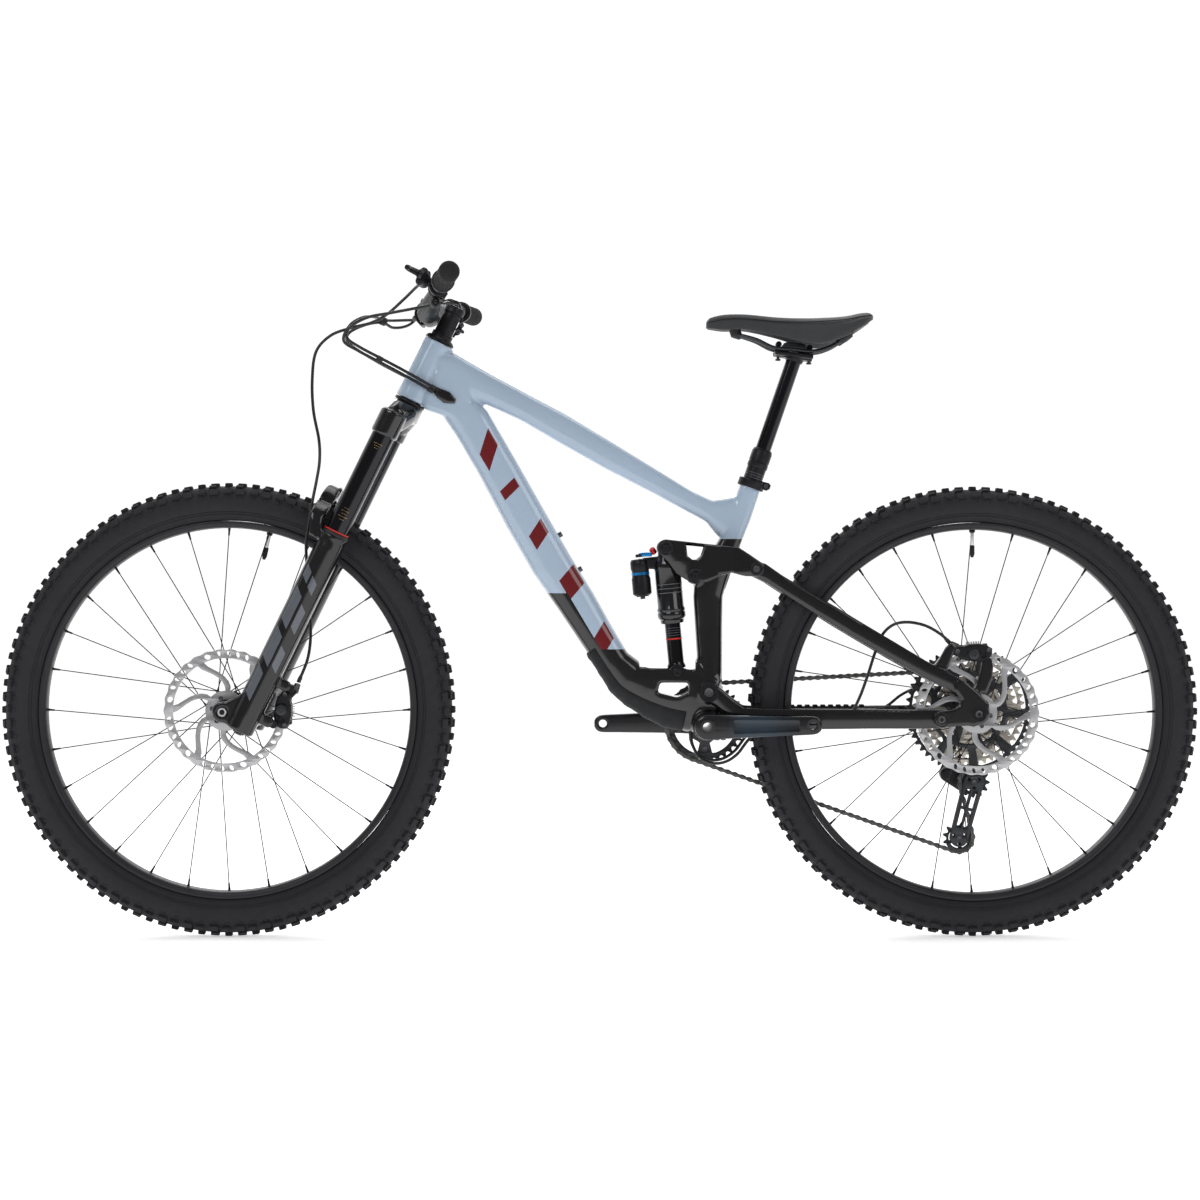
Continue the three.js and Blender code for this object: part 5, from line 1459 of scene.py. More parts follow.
def chainstay():
    adds = [stay_between(CHAINSTAY, side) for side in (-1, 1)]
    crossbar = [(204, 362), (212, 350), (236, 346), (240, 360), (238, 376), (209, 396)]
    adds.append(plate(crossbar, -36, 36, bevel=3))
    cuts = [pin(MAIN_PIVOT, -60, 60, 6.4, 28, 0)]
    shape = Shape("black_gloss", "black_anodised", "bolt_steel", "guard_rubber")
    shape.add(moulded(adds, cuts, voxel=1.7, smooth=5))
    for side in (-1, 1):
        pivot_cap(shape, REAR_PIVOT, side, 73.0, 10.5, 1, 2)
    for k in range(14):
        x = 268 + k * 13
        outer = 43.2 + (x - 262) / 68 * 6.5 if x < 330 else 49.7 + (x - 330) / 100 * 8.4
        top = [(x - 4.5, 377), (x + 4.5, 377), (x + 3.5, 379.4), (x - 3.5, 379.4)]
        shape.add(plate(top, outer - 10.5, outer - 1.5, bevel=0.6), 3)
    shape.piece("chainstay_arms", "chainstay", "black_gloss", ["chainstay"], sharp=60)


SEATSTAY = [
    (244.5, 600, 612, 29.5, 37.6), (249, 594.5, 616.5, 28.3, 38.4), (258, 590, 619, 28.2, 38.5),
    (272, 583, 614.5, 28.4, 39), (284, 575, 606, 31, 42.5), (298, 566, 596, 35.8, 46.5),
    (340, 539, 570.5, 37.4, 47.8), (389, 508.5, 542.5, 39, 49.2), (430, 484, 517.5, 40.4, 50.2),
    (480, 455, 487.5, 51, 61.5), (530, 427, 457.2, 61.5, 72.6), (560, 413, 441, 64.5, 79),
    (586, 402, 427, 66, 82.6), (600, 396, 418, 72, 82.8),
]
DROPOUT = [
    (580, 426), (592, 424), (612, 407), (631, 387), *arc(REAR_AXLE, 17, 15, -70, 6), (606, 350), (596, 352),
    *arc(REAR_PIVOT, 13.5, 290, 90, 8), (572, 378), (584, 385), (586, 394), (574, 410),
]
# The two arms that carry the rear caliper, with daylight between them.
BRAKE_MOUNT_ARMS = [
    [(536, 440), (552, 462), (562, 480), (571, 486), (581, 479), (574, 466), (567, 448), (560, 428)],
    [(600, 402), (612, 420), (618, 440), (622, 462), (636, 462), (639, 446), (637, 426), (628, 404)],
]


def seatstay(word, side):
    adds = [stay_between(SEATSTAY, side), plate(DROPOUT, *span(side, 74.6, 82.8), bevel=1.6)]
    if side < 0:
        for arm in BRAKE_MOUNT_ARMS:
            adds.append(plate(arm, -74, -62.2, bevel=2))
    else:
        hanger = arm_outline((616, 362), 10, HANGER, 11)
        adds.append(plate(hanger, 74.6, 80.8, bevel=1.2))
    adds.append(pin(REAR_PIVOT, *span(side, 62, 80), 6, 28, 0))
    cuts = [pin(REAR_AXLE, -100, 100, 6.4, 28, 0)]
    shape = Shape("black_gloss", "black_anodised", "bolt_steel")
    shape.add(moulded(adds, cuts, voxel=1.6, smooth=4))
    pivot_cap(shape, REAR_PIVOT, side, 81.0, 12.6, 1, 2)
    shape.piece(f"seatstay_tube_{word}", "seatstay", "black_gloss", [f"seatstay_{word}"], sharp=60)


def rear_axle():
    shape = Shape("black_anodised", "bolt_steel")
    shape.add(pin(REAR_AXLE, -84, 84, 6, 32, 0.6))
    pivot_cap(shape, REAR_AXLE, -1, 82.4, 12.6, 0, 1)
    shape.piece("rear_through_axle", "seatstay", "black_anodised", ["rear_axle"], sharp=35)


ROCKER = [
    *arc(SHOCK_TOP, 14, 222, 82, 10), (160, 648.5), (200, 644.2), (228, 640.5), (243, 631),
    *arc(STAY_PIVOT, 13, 62, -96, 10), (238, 594), (216, 600), (196, 594.5), (176, 583.6),
    *arc(ROCKER_PIVOT, 14, -48, -140, 6), (126, 598), (112, 617),
]
ROCKER_WINDOW = [
    (142, 644), (146, 647), (168, 645), (172, 641), (167, 627), (160, 621.5), (152, 621), (144, 627),
]


def sliced(body, places):
    """A body cut into strips at each x, so that it can be bent smoothly."""
    work = bmesh.new()
    corners = [work.verts.new(v) for v in body[0]]
    for face in body[1]:
        work.faces.new([corners[i] for i in face])
    for x in places:
        parts = [*work.verts, *work.edges, *work.faces]
        bmesh.ops.bisect_plane(work, geom=parts, dist=1e-4, plane_co=(x, 0, 0), plane_no=(1, 0, 0))
    work.verts.index_update()
    verts = [v.co.copy() for v in work.verts]
    faces = [tuple(v.index for v in face.verts) for face in work.faces]
    work.free()
    return verts, faces


ROCKER_STEP, ROCKER_STEP_X = 11.3, (150, 218)


def rocker_bend(x):
    """How far out a rocker plate has stepped by x, where it widens to clear the stays."""
    return ROCKER_STEP * eased(share_of(x, *ROCKER_STEP_X))


def rocker():
    shape = Shape("black_gloss", "black_anodised", "bolt_steel")
    for side in (-1, 1):
        flat = plate(ROCKER, *span(side, 27.4, 35), holes=[ROCKER_WINDOW], bevel=2.4)
        verts, faces = sliced(flat, [ROCKER_STEP_X[0] + 4.25 * k for k in range(17)])
        shape.add(([Vector((v.x, v.y + side * rocker_bend(v.x), v.z)) for v in verts], faces))
        pivot_cap(shape, SHOCK_TOP, side, 34.4, 12.6, 1, 1)
        pivot_cap(shape, ROCKER_PIVOT, side, 34.4, 12.6, 1, 1)
        pivot_cap(shape, STAY_PIVOT, side, 45.6, 11, 1, 2)
        shape.add(pin(ROCKER_PIVOT, *span(side, 19.2, 29), 12, 32, 0.5), 1)
        shape.add(pin(STAY_PIVOT, *span(side, 26.5, 42), 6.5, 24, 0.3), 1)
    shape.add(pin(ROCKER_PIVOT, -30, 30, 8, 32, 0), 1)
    shape.piece("rocker_link", "rocker", "black_gloss", ["rocker"], sharp=60)


def shock():
    axis = (on_shock(1) - on_shock(0)).normalized()
    base = on_shock(0)
    shaft = Shape("stanchion_black", "black_anodised", "red_rubber", "grey_print")
    shaft.add(pin(SHOCK_LOW, -24, 24, 12.5, 36, 0.8), 1)
    shaft.add(lathe([(0, 6), (15, 6), (15.2, 10), (13.2, 14), (13, 16), (13, 108), (0, 108)], base, axis, 48))
    shaft.add(lathe([(12.9, 53), (13.3, 53.3), (13.3, 55.5), (12.9, 55.8)], base, axis, 40), 2)
    for up in (60, 64, 68, 72):
        shaft.add(lathe([(12.9, up), (13.06, up), (13.06, up + 0.6), (12.9, up + 0.6)], base, axis, 40), 3)
    shaft.piece("shock_shaft_and_eye", "shock_shaft", "shaft_steel", ["shock_shaft"], sharp=35)
    body = Shape("black_gloss", "black_anodised", "blue_anodised", "red_anodised", "bolt_steel", "grey_print")
    can = [
        (13.4, 80), (18.5, 80), (19.5, 82), (19.5, 86), (22, 88), (23.2, 91), (23.2, 97), (22.2, 99),
        (23.2, 101), (23.2, 104), (21.6, 107), (21.6, 168), (22.2, 170), (22.2, 178), (20, 183), (17, 190),
        (13.4, 190),
    ]
    body.add(lathe(can, base, axis, 64))
    for up in (130, 137, 144):
        body.add(lathe([(21.5, up), (21.7, up), (21.7, up + 1.2), (21.5, up + 1.2)], base, axis, 48), 5)
    head_parts = [
        rod(on_shock(176), on_shock(204), 14, 36, 13),
        pin(SHOCK_TOP, -27, 27, 11.5, 36, 0.8),
        rod((104, 0, 618), (70, 0, 616), 8, 24),
        plate([(74, 606), (112, 604), (112, 628), (72, 624)], -9, 9, bevel=2),
    ]
    body.add(moulded(head_parts, voxel=1.3, smooth=4), 1)
    low, high = Vector((71, 0, 560)), Vector((65, 0, 624))
    up_way = (high - low).normalized()
    tank = [
        (0, 0), (10, 0), (10.6, 1.5), (13.2, 2.2), (15.6, 5), (15.6, 30), (14.4, 33), (14.4, 43), (15.6, 46),
        (15.6, 57), (13.4, 61.5), (0, 63),
    ]
    body.add(lathe(tank, low, up_way, 48), 1)
    body.add(lathe([(14.2, 35.5), (14.9, 36), (14.9, 40), (14.2, 40.5)], low, up_way, 48), 2)
    body.add(lathe([(0, -4), (4, -4), (4, 0.5), (0, 0.5)], low, up_way, 20), 4)
    body.add(rod((90, -9, 632), (85.5, -14, 638.5), 5.2, 24, chamfer=0.8), 3)
    for side in (-1, 1):
        body.add(pin(SHOCK_TOP, *span(side, 26, 27.4), 10, 32, 0.3), 4)
    body.piece("shock_can_and_tank", "shock_body", "shock_black", ["shock_body"], sharp=38)
    lever = Shape("blue_anodised", "black_anodised")
    knob = [(0, 0.5), (6, 0.5), (6, 4.5), (5, 5.6), (0, 5.6)]
    lever.add(lathe(knob, (65, -9, 624.4), (-0.093, 0, 0.9957), 32), 1)
    arm = [(65, -9, 628), (70, -12, 629), (78, -16, 629.5), (85, -19.5, 629.5)]
    lever.add(sweep(smooth_path(arm, 4), 3.4, 12, flat=0.55, lean=(0, 0, 1)))
    lever.piece("shock_lever_arm", "shock_lever", "blue_anodised", ["shock_lever"], sharp=50)


chainstay()
seatstay("left", -1)
seatstay("right", 1)
rear_axle()
rocker()
shock()

# ------------------------------------------------------------------ fork


def steered(body):
    """A body drawn in the steering frame, placed in the bike's."""
    return moved(body, STEER_MATRIX)


def on_leg(side, up):
    return steer(LEG_X, side * LEG_Y, up)


def leg_rod(side, low, high, radius, segments, chamfer=0.0):
    """A round bar on a leg's centre line, between two heights in the steering frame."""
    x, y = LEG_X, side * LEG_Y
    return steered(rod((x, y, low), (x, y, high), radius, segments, chamfer=chamfer))


def fork_crown():
    """A forged crown whose arms drop to a socket on each leg."""
    adds = [leg_rod(side, -72, -28.5, 22.5, 48, 2.5) for side in (-1, 1)]
    arm = []
    for y, low, high, back, front in CROWN_ARM:
        middle = Vector(((back + front) / 2, y, (low + high) / 2))
        up, across = Vector((0, 0, (high - low) / 2)), Vector(((back - front) / 2, 0, 0))
        arm.append(oval_ring(middle, up, across, 3.2, 24))
    adds.append(steered(bridge(arm)))
    adds.append(steered(rod((0, 0, -32), (0, 0, -4), 25.5, 48, chamfer=1.5)))
    cuts = [leg_rod(side, -90, -10, STANCHION_R - 1.5, 40) for side in (-1, 1)]
    cuts.append(steered(rod((0, 0, -80), (0, 0, -26), 13, 32)))
    shape = Shape("black_gloss", "black_anodised", "stanchion_black", "bolt_steel", "brass")
    shape.add(moulded(adds, cuts, voxel=1.6, smooth=5))
    shape.add(steered(rod((0, 0, -6), (0, 0, -0.6), 26, 48, chamfer=0.8)), 1)
    shape.add(steered(rod((0, 0, -10), (0, 0, 166), 19, 36, 14.3)), 1)
    for side in (-1, 1):
        low, high = on_leg(side, STANCHION_LOW), on_leg(side, -30)
        shape.add(rod(low, high, STANCHION_R, 56), 2)
        cap = [(0, 0), (18.5, 0), (19.5, 0.6), (19.5, 2.2), (17.5, 3.4), (12, 3.4), (11.5, 2.2), (0, 2.2)]
        shape.add(lathe(cap, on_leg(side, -31.2), STEER_UP, 40), 1)
        shape.add(bolt(on_leg(side, -29.6), STEER_UP, 7, 2.4, 3.6), 3)
        # Fine printed lines on the outside of each leg, at its top and near the seal.
        for up, reach in STANCHION_MARKS:
            mark = arc_strip(STANCHION_R + 0.05, up, 0.6, side * 90 - reach, side * 90 + reach)
            shape.add(mark_on_leg(mark, side), 4)
    shape.piece("fork_crown_and_stanchions", "steering", "black_anodised", ["fork_crown_unit"], sharp=45)


STANCHION_R, STANCHION_LOW = 19, -408
# Height of each printed line, and how far round it reaches either way in degrees.
STANCHION_MARKS = [
    (-88, 22), (-92, 16), (-96, 10), (-204, 12), (-209, 20), (-214, 12), (-219, 26), (-224, 12),
]
# Stations across the crown arm: y, low, high, back and front in the steering frame.
CROWN_ARM = [
    (-70, -58, -33, 10, -26), (-62, -60, -28, 13, -28), (-50, -57, -19, 17, -27), (-34, -46, -8, 22, -25),
    (-16, -37, -4.5, 25, -24), (0, -35, -4.2, 25.5, -24), (16, -37, -4.5, 25, -24), (34, -46, -8, 22, -25),
    (50, -57, -19, 17, -27), (62, -60, -28, 13, -28), (70, -58, -33, 10, -26),
]


def arc_strip(radius, up, height, start, end):
    """A thin raised strip round part of an upright tube centred on the origin."""
    inner, outer, steps = radius - 0.5, radius + 0.12, 6
    rings = []
    for i in range(steps + 1):
        angle = math.radians(start + (end - start) * i / steps)
        c, s = math.cos(angle), math.sin(angle)
        corners = ((inner, 0), (outer, 0), (outer, height), (inner, height))
        rings.append([Vector((r * c, r * s, up + h)) for r, h in corners])
    return bridge(rings)


def mark_on_leg(body, side):
    verts, faces = body
    return [steer(LEG_X + v.x, side * LEG_Y + v.y, v.z) for v in verts], faces


LOWER_LEG_R = 23.5
AXLE_IN_STEER = (-45.8, -589)

# The arch leans forward quickly, so that it passes in front of the crown at full travel.
ARCH_LOW, ARCH_RISE, ARCH_START_X, ARCH_REACH, ARCH_LEAN = -268, 77, -34, 14, 2.4
ARCH_TALL, ARCH_DEEP, ARCH_STEPS, ARCH_POWER = 16.5, 12.2, 28, 5


def arch_body():
    """The brace over the tyre: a deep bar that stands up from each leg to a flat crest."""
    rings = []
    for i in range(ARCH_STEPS + 1):
        angle = math.pi * (1 - i / ARCH_STEPS)
        rise = max(0.0, math.sin(angle)) ** 0.5
        forward = ARCH_START_X - ARCH_REACH * min(1.0, ARCH_LEAN * rise)
        centre = Vector((forward, math.cos(angle) * LEG_Y, ARCH_LOW + rise * ARCH_RISE))
        tangent = Vector((0, math.sin(angle) + 0.001, math.cos(angle) * 0.9)).normalized()
        fore = Vector((1, 0, 0))
        tall = ARCH_TALL - 3.5 * rise
        up = fore.cross(tangent).normalized() * tall
        rings.append(oval_ring(centre, up, fore * ARCH_DEEP, ARCH_POWER, 28))
    return bridge(rings)


def fork_lowers():
    adds, cuts = [], []
    for side in (-1, 1):
        leg = [
            (0, 0), (LOWER_LEG_R - 3, 0), (LOWER_LEG_R - 0.6, 3), (LOWER_LEG_R, 30), (LOWER_LEG_R, 330),
            (22.8, 340), (22.6, 346), (23.4, 348), (23.4, 354), (0, 354),
        ]
        adds.append(lathe(leg, on_leg(side, -606), STEER_UP, 56))
        cuts.append(rod(on_leg(side, -580), on_leg(side, -200), STANCHION_R + 0.4, 48))
        drop = [
            *arc(AXLE_IN_STEER, 17, 100, 300, 14), (LEG_X, -605.5), (LEG_X + 12, -597), (LEG_X + 13, -545),
            (LEG_X - 16, -540),
        ]
        adds.append(steered(plate(drop, *span(side, FRONT_HUB_SPAN, 83), bevel=2.5)))
        root = [(-24, -330), (-29, -300), (-29, -262), (-10, -262), (-8, -330)]
        adds.append(steered(plate(root, *span(side, 50, 84), bevel=4)))
    adds.append(steered(arch_body()))
    for up in FRONT_POSTS:
        post = [(2, up - 8), (30, up - 9), (36, up - 4), (36, up + 4), (30, up + 9), (2, up + 9)]
        adds.append(steered(plate(post, -74, -60, bevel=2.5)))
    cuts.append(steered(pin(AXLE_IN_STEER, -110, 110, 7.9, 32, 0)))
    shape = Shape("fork_paint", "black_anodised", "red_rubber", "bolt_steel", "black_plastic")
    shape.add(moulded(adds, cuts, voxel=1.8, smooth=5))
    for side in (-1, 1):
        seal = [(19.25, 0), (22.6, 0), (22.9, 1.2), (22.4, 3), (20.4, 5.4), (19.25, 5.8)]
        shape.add(lathe(seal, on_leg(side, -252.2), STEER_UP, 48), 4)
        ring = [(19.2, 0), (21, 0.1), (21.4, 1.1), (21, 2.1), (19.2, 2.2)]
        shape.add(lathe(ring, on_leg(side, -246.4), STEER_UP, 40), 2)
        foot = [(0, 0), (9, 0), (10.5, 1), (10.5, 4.5), (0, 4.5)]
        shape.add(lathe(foot, on_leg(side, -609.5), STEER_UP, 32), 1)
        shape.add(bolt(on_leg(side, -609.3), -STEER_UP, 6.5, 2.2, 3.0), 3)
    shape.piece("fork_lower_casting", "fork_lowers", "black_gloss", ["fork_lowers"], sharp=55)


FRONT_HUB_SPAN = 55.2


def front_axle():
    shape = Shape("black_anodised", "silver_metal")
    shape.add(steered(pin(AXLE_IN_STEER, -84.4, 85, 7.4, 36, 0.5)))
    at = steer(AXLE_IN_STEER[0], 0, AXLE_IN_STEER[1])
    shape.add(lathe([(4.4, 83.8), (7.2, 83.8), (7.2, 85), (4.4, 85)], at, (0, -1, 0), 32), 1)
    cap = [(0, 83.8), (12, 83.8), (12.2, 84.6), (12.2, 88), (11, 90.4), (6, 91), (5.4, 89.4), (0, 89.4)]
    shape.add(lathe(cap, at, (0, 1, 0), 36))
    shape.piece("front_through_axle", "fork_lowers", "black_anodised", ["front_axle"], sharp=35)


# The caliper's side view from its middle: away from the axle, and along the rotor's edge.
CALIPER = [
    (-13, -21), (-14, -8), (-12, 9), (-8, 22), (0, 31), (9, 34), (14, 28), (12.5, 17), (15, 8), (15, -9),
    (12, -21), (6, -30), (-4, -29),
]
CALIPER_POCKET = [(-7, -18), (-9, -11), (2, -12.5), (3, -18)]
CALIPER_HALF, CALIPER_GAP = 15.5, 2.4


def caliper_body(shape, axle, centre, rotor_y):
    """Two halves joined beyond the rotor's edge, with a piston cover, pads, fins and body bolts."""
    outward = Vector((centre[0] - axle[0], centre[1] - axle[1])).normalized()

    def spot(out, along):
        x = centre[0] + outward.x * out - outward.y * along
        z = centre[1] + outward.y * out + outward.x * along
        return x, z

    def spots(outline):
        return [spot(out, along) for out, along in outline]

    outer_face, inner_face = rotor_y - CALIPER_HALF, rotor_y + CALIPER_HALF - 1.5
    adds = [
        plate(spots(CALIPER), outer_face, rotor_y - CALIPER_GAP, bevel=3),
        plate(spots(CALIPER), rotor_y + CALIPER_GAP, inner_face, bevel=3),
        pin(spot(-1, 1), outer_face - 2.6, rotor_y - 8, 10.6, 40, 1.2),
    ]
    for low, high in ((-24, -15), (15, 26)):
        strip = [(9.8, low), (14.5, low + 1), (14.5, high - 1), (9.8, high)]
        adds.append(plate(spots(strip), rotor_y - 6, rotor_y + 6, bevel=0.5))
    cuts = [plate(spots(CALIPER_POCKET), outer_face - 3, outer_face + 2.5, bevel=0.3)]
    shape.add(moulded(adds, cuts, voxel=0.9, smooth=3))
    cover = [(0, 0), (7.6, 0), (8.2, 0.6), (8.2, 1.5), (6, 2.0), (3.6, 2.0), (3.2, 1.2), (0, 1.2)]
    x, z = spot(-1, 1)
    shape.add(lathe(cover, (x, outer_face - 2.3, z), (0, -1, 0), 32), 1)
    for out, along in ((4, -24), (5, 27)):
        x, z = spot(out, along)
        shape.add(bolt((x, outer_face + 0.6, z), (0, -1, 0), 3.9, 2.2, 2.0), 2)
    for k in range(6):
        along = (k - 2.5) * 3.9
        fin = [(2, along - 0.7), (2, along + 0.7), (19, along + 0.7), (19, along - 0.7)]
        shape.add(plate(spots(fin), rotor_y - 5.2, rotor_y - 2.2, bevel=0.2), 3)
        shape.add(plate(spots(fin), rotor_y + 2.2, rotor_y + 5.2, bevel=0.2), 3)
    for side in (-1, 1):
        near, far = sorted((rotor_y + side * 1.5, rotor_y + side * 3.4))
        pad = [(-12, -14), (6, -15), (6, 15), (-12, 14)]
        shape.add(plate(spots(pad), near, far, bevel=0.3), 1)
    return spot


FRONT_CALIPER = (FRONT_AXLE[0] + 94, FRONT_AXLE[1] + 1)


def front_caliper():
    shape = Shape("black_anodised", "dark_metal", "bolt_steel", "silver_metal")
    spot = caliper_body(shape, FRONT_AXLE, FRONT_CALIPER, FRONT_ROTOR_Y)
    for up in FRONT_POSTS:
        ear = steer(36.5, -64, up)
        shape.add(rod((ear.x, -72, ear.z), (ear.x, -54, ear.z), 6.4, 28, chamfer=0.8))
        shape.add(bolt(steer(37.5, -64, up), -STEER_FORWARD, 5.2, 3.0, 2.6), 2)
    shape.add(plate([spot(6, 22), spot(20, 38), spot(26, 30), spot(12, 16)], -60, -50, bevel=1.2))
    joint = steer(41, -44, -498)
    shape.add(rod(joint, steer(44, -50, -512), 5.2, 24, chamfer=0.8), 2)
    shape.piece("front_caliper_body", "fork_lowers", "black_anodised", ["front_caliper"], sharp=40)


FRONT_POSTS = (-507, -572)
STEER_FORWARD = Vector((-math.cos(HEAD_LEAN), 0, math.sin(HEAD_LEAN)))

fork_crown()
fork_lowers()
front_axle()
front_caliper()

# ------------------------------------------------------------------ headset, stem and bar


def headset():
    shape = Shape("black_anodised")
    low = HEAD_TUBE_LENGTH + 0.3
    cover = [(17.2, 0), (25, 0), (25, 1.6), (23.6, 4.2), (20.4, 7), (17.2, 7)]
    shape.add(lathe(cover, on_steerer(low), STEER_UP, 56))
    for start, tall in ((7.15, 4.9), (12.15, 3.0)):
        spacer = [(16.4, 0), (17.8, 0.35), (17.8, tall - 0.35), (16.4, tall)]
        shape.add(lathe(spacer, on_steerer(low + start), STEER_UP, 48))
    shape.piece("headset_cover_and_spacers", "steering", "black_anodised", ["headset_spacers"], sharp=30)


# Stations from the steerer clamp to the bar clamp: how far back, low, high and half width.
STEM_NECK = [(4, 124.5, 159, 18), (-10, 122, 160, 20), (-22, 119, 160.5, 23), (-33, 118, 161.5, 26)]


def stem():
    """A short block stem: clamp round the steerer, a four-bolt face plate round the bar."""
    neck = []
    for x, low, high, half in STEM_NECK:
        middle, up = Vector((x, 0, (low + high) / 2)), Vector((0, 0, (high - low) / 2))
        neck.append(oval_ring(middle, up, Vector((0, half, 0)), 3.6, 24))
    adds = [
        steered(rod((0, 0, 123.5), (0, 0, 160), 19.6, 48, chamfer=1)),
        steered(pin(BAR_CLAMP, -25.8, 25.8, 22.2, 48, 1.5)),
        steered(bridge(neck)),
        steered(plate([(17, 129), (24, 130), (25, 134), (25, 150), (23, 154), (17, 155)], -9, 9, bevel=2)),
    ]
    cuts = [
        steered(rod((0, 0, 110), (0, 0, 158), 15.5, 40)),
        steered(pin(BAR_CLAMP, -60, 60, 18, 48, 0)),
        steered(plate([(-36.2, 110), (-34.6, 110), (-34.6, 172), (-36.2, 172)], -60, 60, bevel=0.1)),
        steered(plate([(10, 120), (40, 120), (40, 165), (10, 165)], -0.8, 0.8, bevel=0.1)),
    ]
    for side in (-1, 1):
        hollow = [(-26, 132), (-16, 135), (-16, 150), (-26, 152)]
        cuts.append(steered(plate(hollow, *span(side, 14, 60), bevel=2)))
    shape = Shape("black_anodised", "bolt_steel")
    shape.add(moulded(adds, cuts, voxel=1.25, smooth=3))
    for y in (-18, 18):
        for up in (121.4, 158.6):
            shape.add(bolt(steer(-52, y, up * 0.84 + 22.4), STEER_FORWARD, 3.9, 3.2, 2.0), 1)
    for up in (136, 149):
        shape.add(bolt(steer(21, -8.6, up), (0, -1, 0), 3.8, 3.0, 2.0), 1)
        shape.add(steered(rod((21, 8, up), (21, 11, up), 3.6, 20, chamfer=0.4)), 1)
    cap = [(0, 0), (16, 0), (17.4, 0.6), (17.4, 8), (15.5, 11.4), (8, 12.2), (7, 11), (0, 11)]
    shape.add(lathe(cap, steer(0, 0, 160), STEER_UP, 48))
    shape.add(bolt(steer(0, 0, 170.4), STEER_UP, 5.2, 1.9, 2.5), 1)
    shape.piece("stem_block", "steering", "black_anodised", ["stem"], sharp=45)


# The bar is straight and thick in the stem's clamp, and thin from its bend outwards.
BAR_STRAIGHT_Y, BAR_CLAMP_R, BAR_GRIP_R = 34, 17.4, 11.1


def bar_centre(y):
    """The middle of the handlebar at y, in the steering frame."""
    away = abs(y)
    if away <= BAR_BEND_Y:
        x, z = mix(BAR_CLAMP, BAR_BEND, share_of(away, BAR_STRAIGHT_Y, BAR_BEND_Y))
    else:
        x, z = mix(BAR_BEND, BAR_END, (away - BAR_BEND_Y) / (BAR_HALF - BAR_BEND_Y))
    return Vector((x, y, z))


def bar_point(y):
    x, _, z = bar_centre(y)
    return steer(x, y, z)


def bar_radius(y):
    share = share_of(abs(y), 40, BAR_BEND_Y + 8)
    return BAR_CLAMP_R + (BAR_GRIP_R - BAR_CLAMP_R) * eased(share)


def handlebar():
    steps = [-BAR_HALF + 2 * BAR_HALF * i / 120 for i in range(121)]
    shape = Shape("satin_carbon", "grey_print")
    shape.add(sweep([bar_point(y) for y in steps], [bar_radius(y) for y in steps], 32))
    for side in (-1, 1):
        for k in range(5):
            y = side * (62 + k * 4)
            shape.add(sweep([bar_point(y), bar_point(y + side * 0.8)], bar_radius(y) + 0.12, 32), 1)
    shape.piece("handlebar_tube", "steering", "bar_carbon", ["handlebar"], sharp=40)


def grip(word, side):
    """A rubber grip with rings, a waffle field and a domed end, on a lock ring."""
    shape = Shape("grip_rubber", "black_anodised", "bolt_steel")
    start, end = bar_point(side * GRIP_INNER_Y), bar_point(side * (BAR_HALF + 2.6))
    axis = (end - start).normalized()
    length = (end - start).length
    profile = [(11.4, 9.5), (17.4, 9.5), (18.2, 10.5), (18.2, 12), (16, 13.5)]
    at = 15.0
    while at < length - 16:
        profile += [(14.7, at), (15.75, at + 0.7), (15.75, at + 2.3), (14.7, at + 3.0)]
        at += 3.9
    profile += [
        (15.6, length - 14), (16.2, length - 12), (16.2, length - 8.5), (15.4, length - 4.8),
        (13.2, length - 2.0), (9.4, length - 0.4), (4.5, length + 0.6), (0, length + 0.8),
    ]
    shape.add(lathe(profile, start, axis, 48))
    ring = [(11.3, 0), (16.2, 0), (18.0, 0.8), (18.0, 8), (17, 9.2), (11.3, 9.2)]
    shape.add(lathe(ring, start, axis, 48), 1)
    shape.add(bolt(start + axis * 4.6 + Vector((0, 0, -17.4)), (0, 0, -1), 2.8, 1.4, 1.3), 2)
    side_way, up_way = cross_frame(axis)
    for k in range(26):
        turn = 2 * math.pi * k / 26
        out = side_way * math.cos(turn) + up_way * math.sin(turn)
        for low, high in ((16.5, 20), (length - 44, length - 18)):
            base = start + out * 14.9
            along = out.cross(axis).normalized()
            body = []
            for step, tall in ((low, 0.3), (low + 1, 1.15), (high - 1, 1.15), (high, 0.3)):
                spot = base + axis * step
                low_edge, high_edge = along * 1.1, along * 0.8
                top = spot + out * tall
                body.append([spot - low_edge, spot + low_edge, top + high_edge, top - high_edge])
            shape.add(bridge(body))
    shape.piece(f"grip_sleeve_{word}", "steering", "grip_rubber", [f"grip_{word}"], sharp=40)


def beside_bar(y, forward, up):
    point = bar_centre(y)
    return steer(point.x - forward, y, point.z + up)


def bar_band(shape, y, half):
    """A hinged clamp band round the bar with its bolt."""
    low, high = bar_point(y - half), bar_point(y + half)
    axis = (high - low).normalized()
    length = (high - low).length
    band = [(11.4, 0), (14.6, 0), (15.8, 0.8), (15.8, length - 0.8), (14.6, length), (11.4, length)]
    shape.add(lathe(band, low, axis, 40))
    shape.add(rod(beside_bar(y, -12, -12), beside_bar(y, -13.5, -3), 4.2, 20, chamfer=0.6))
    shape.add(bolt(beside_bar(y, -12, -12), -STEER_UP, 3.0, 1.6, 1.5), 1)


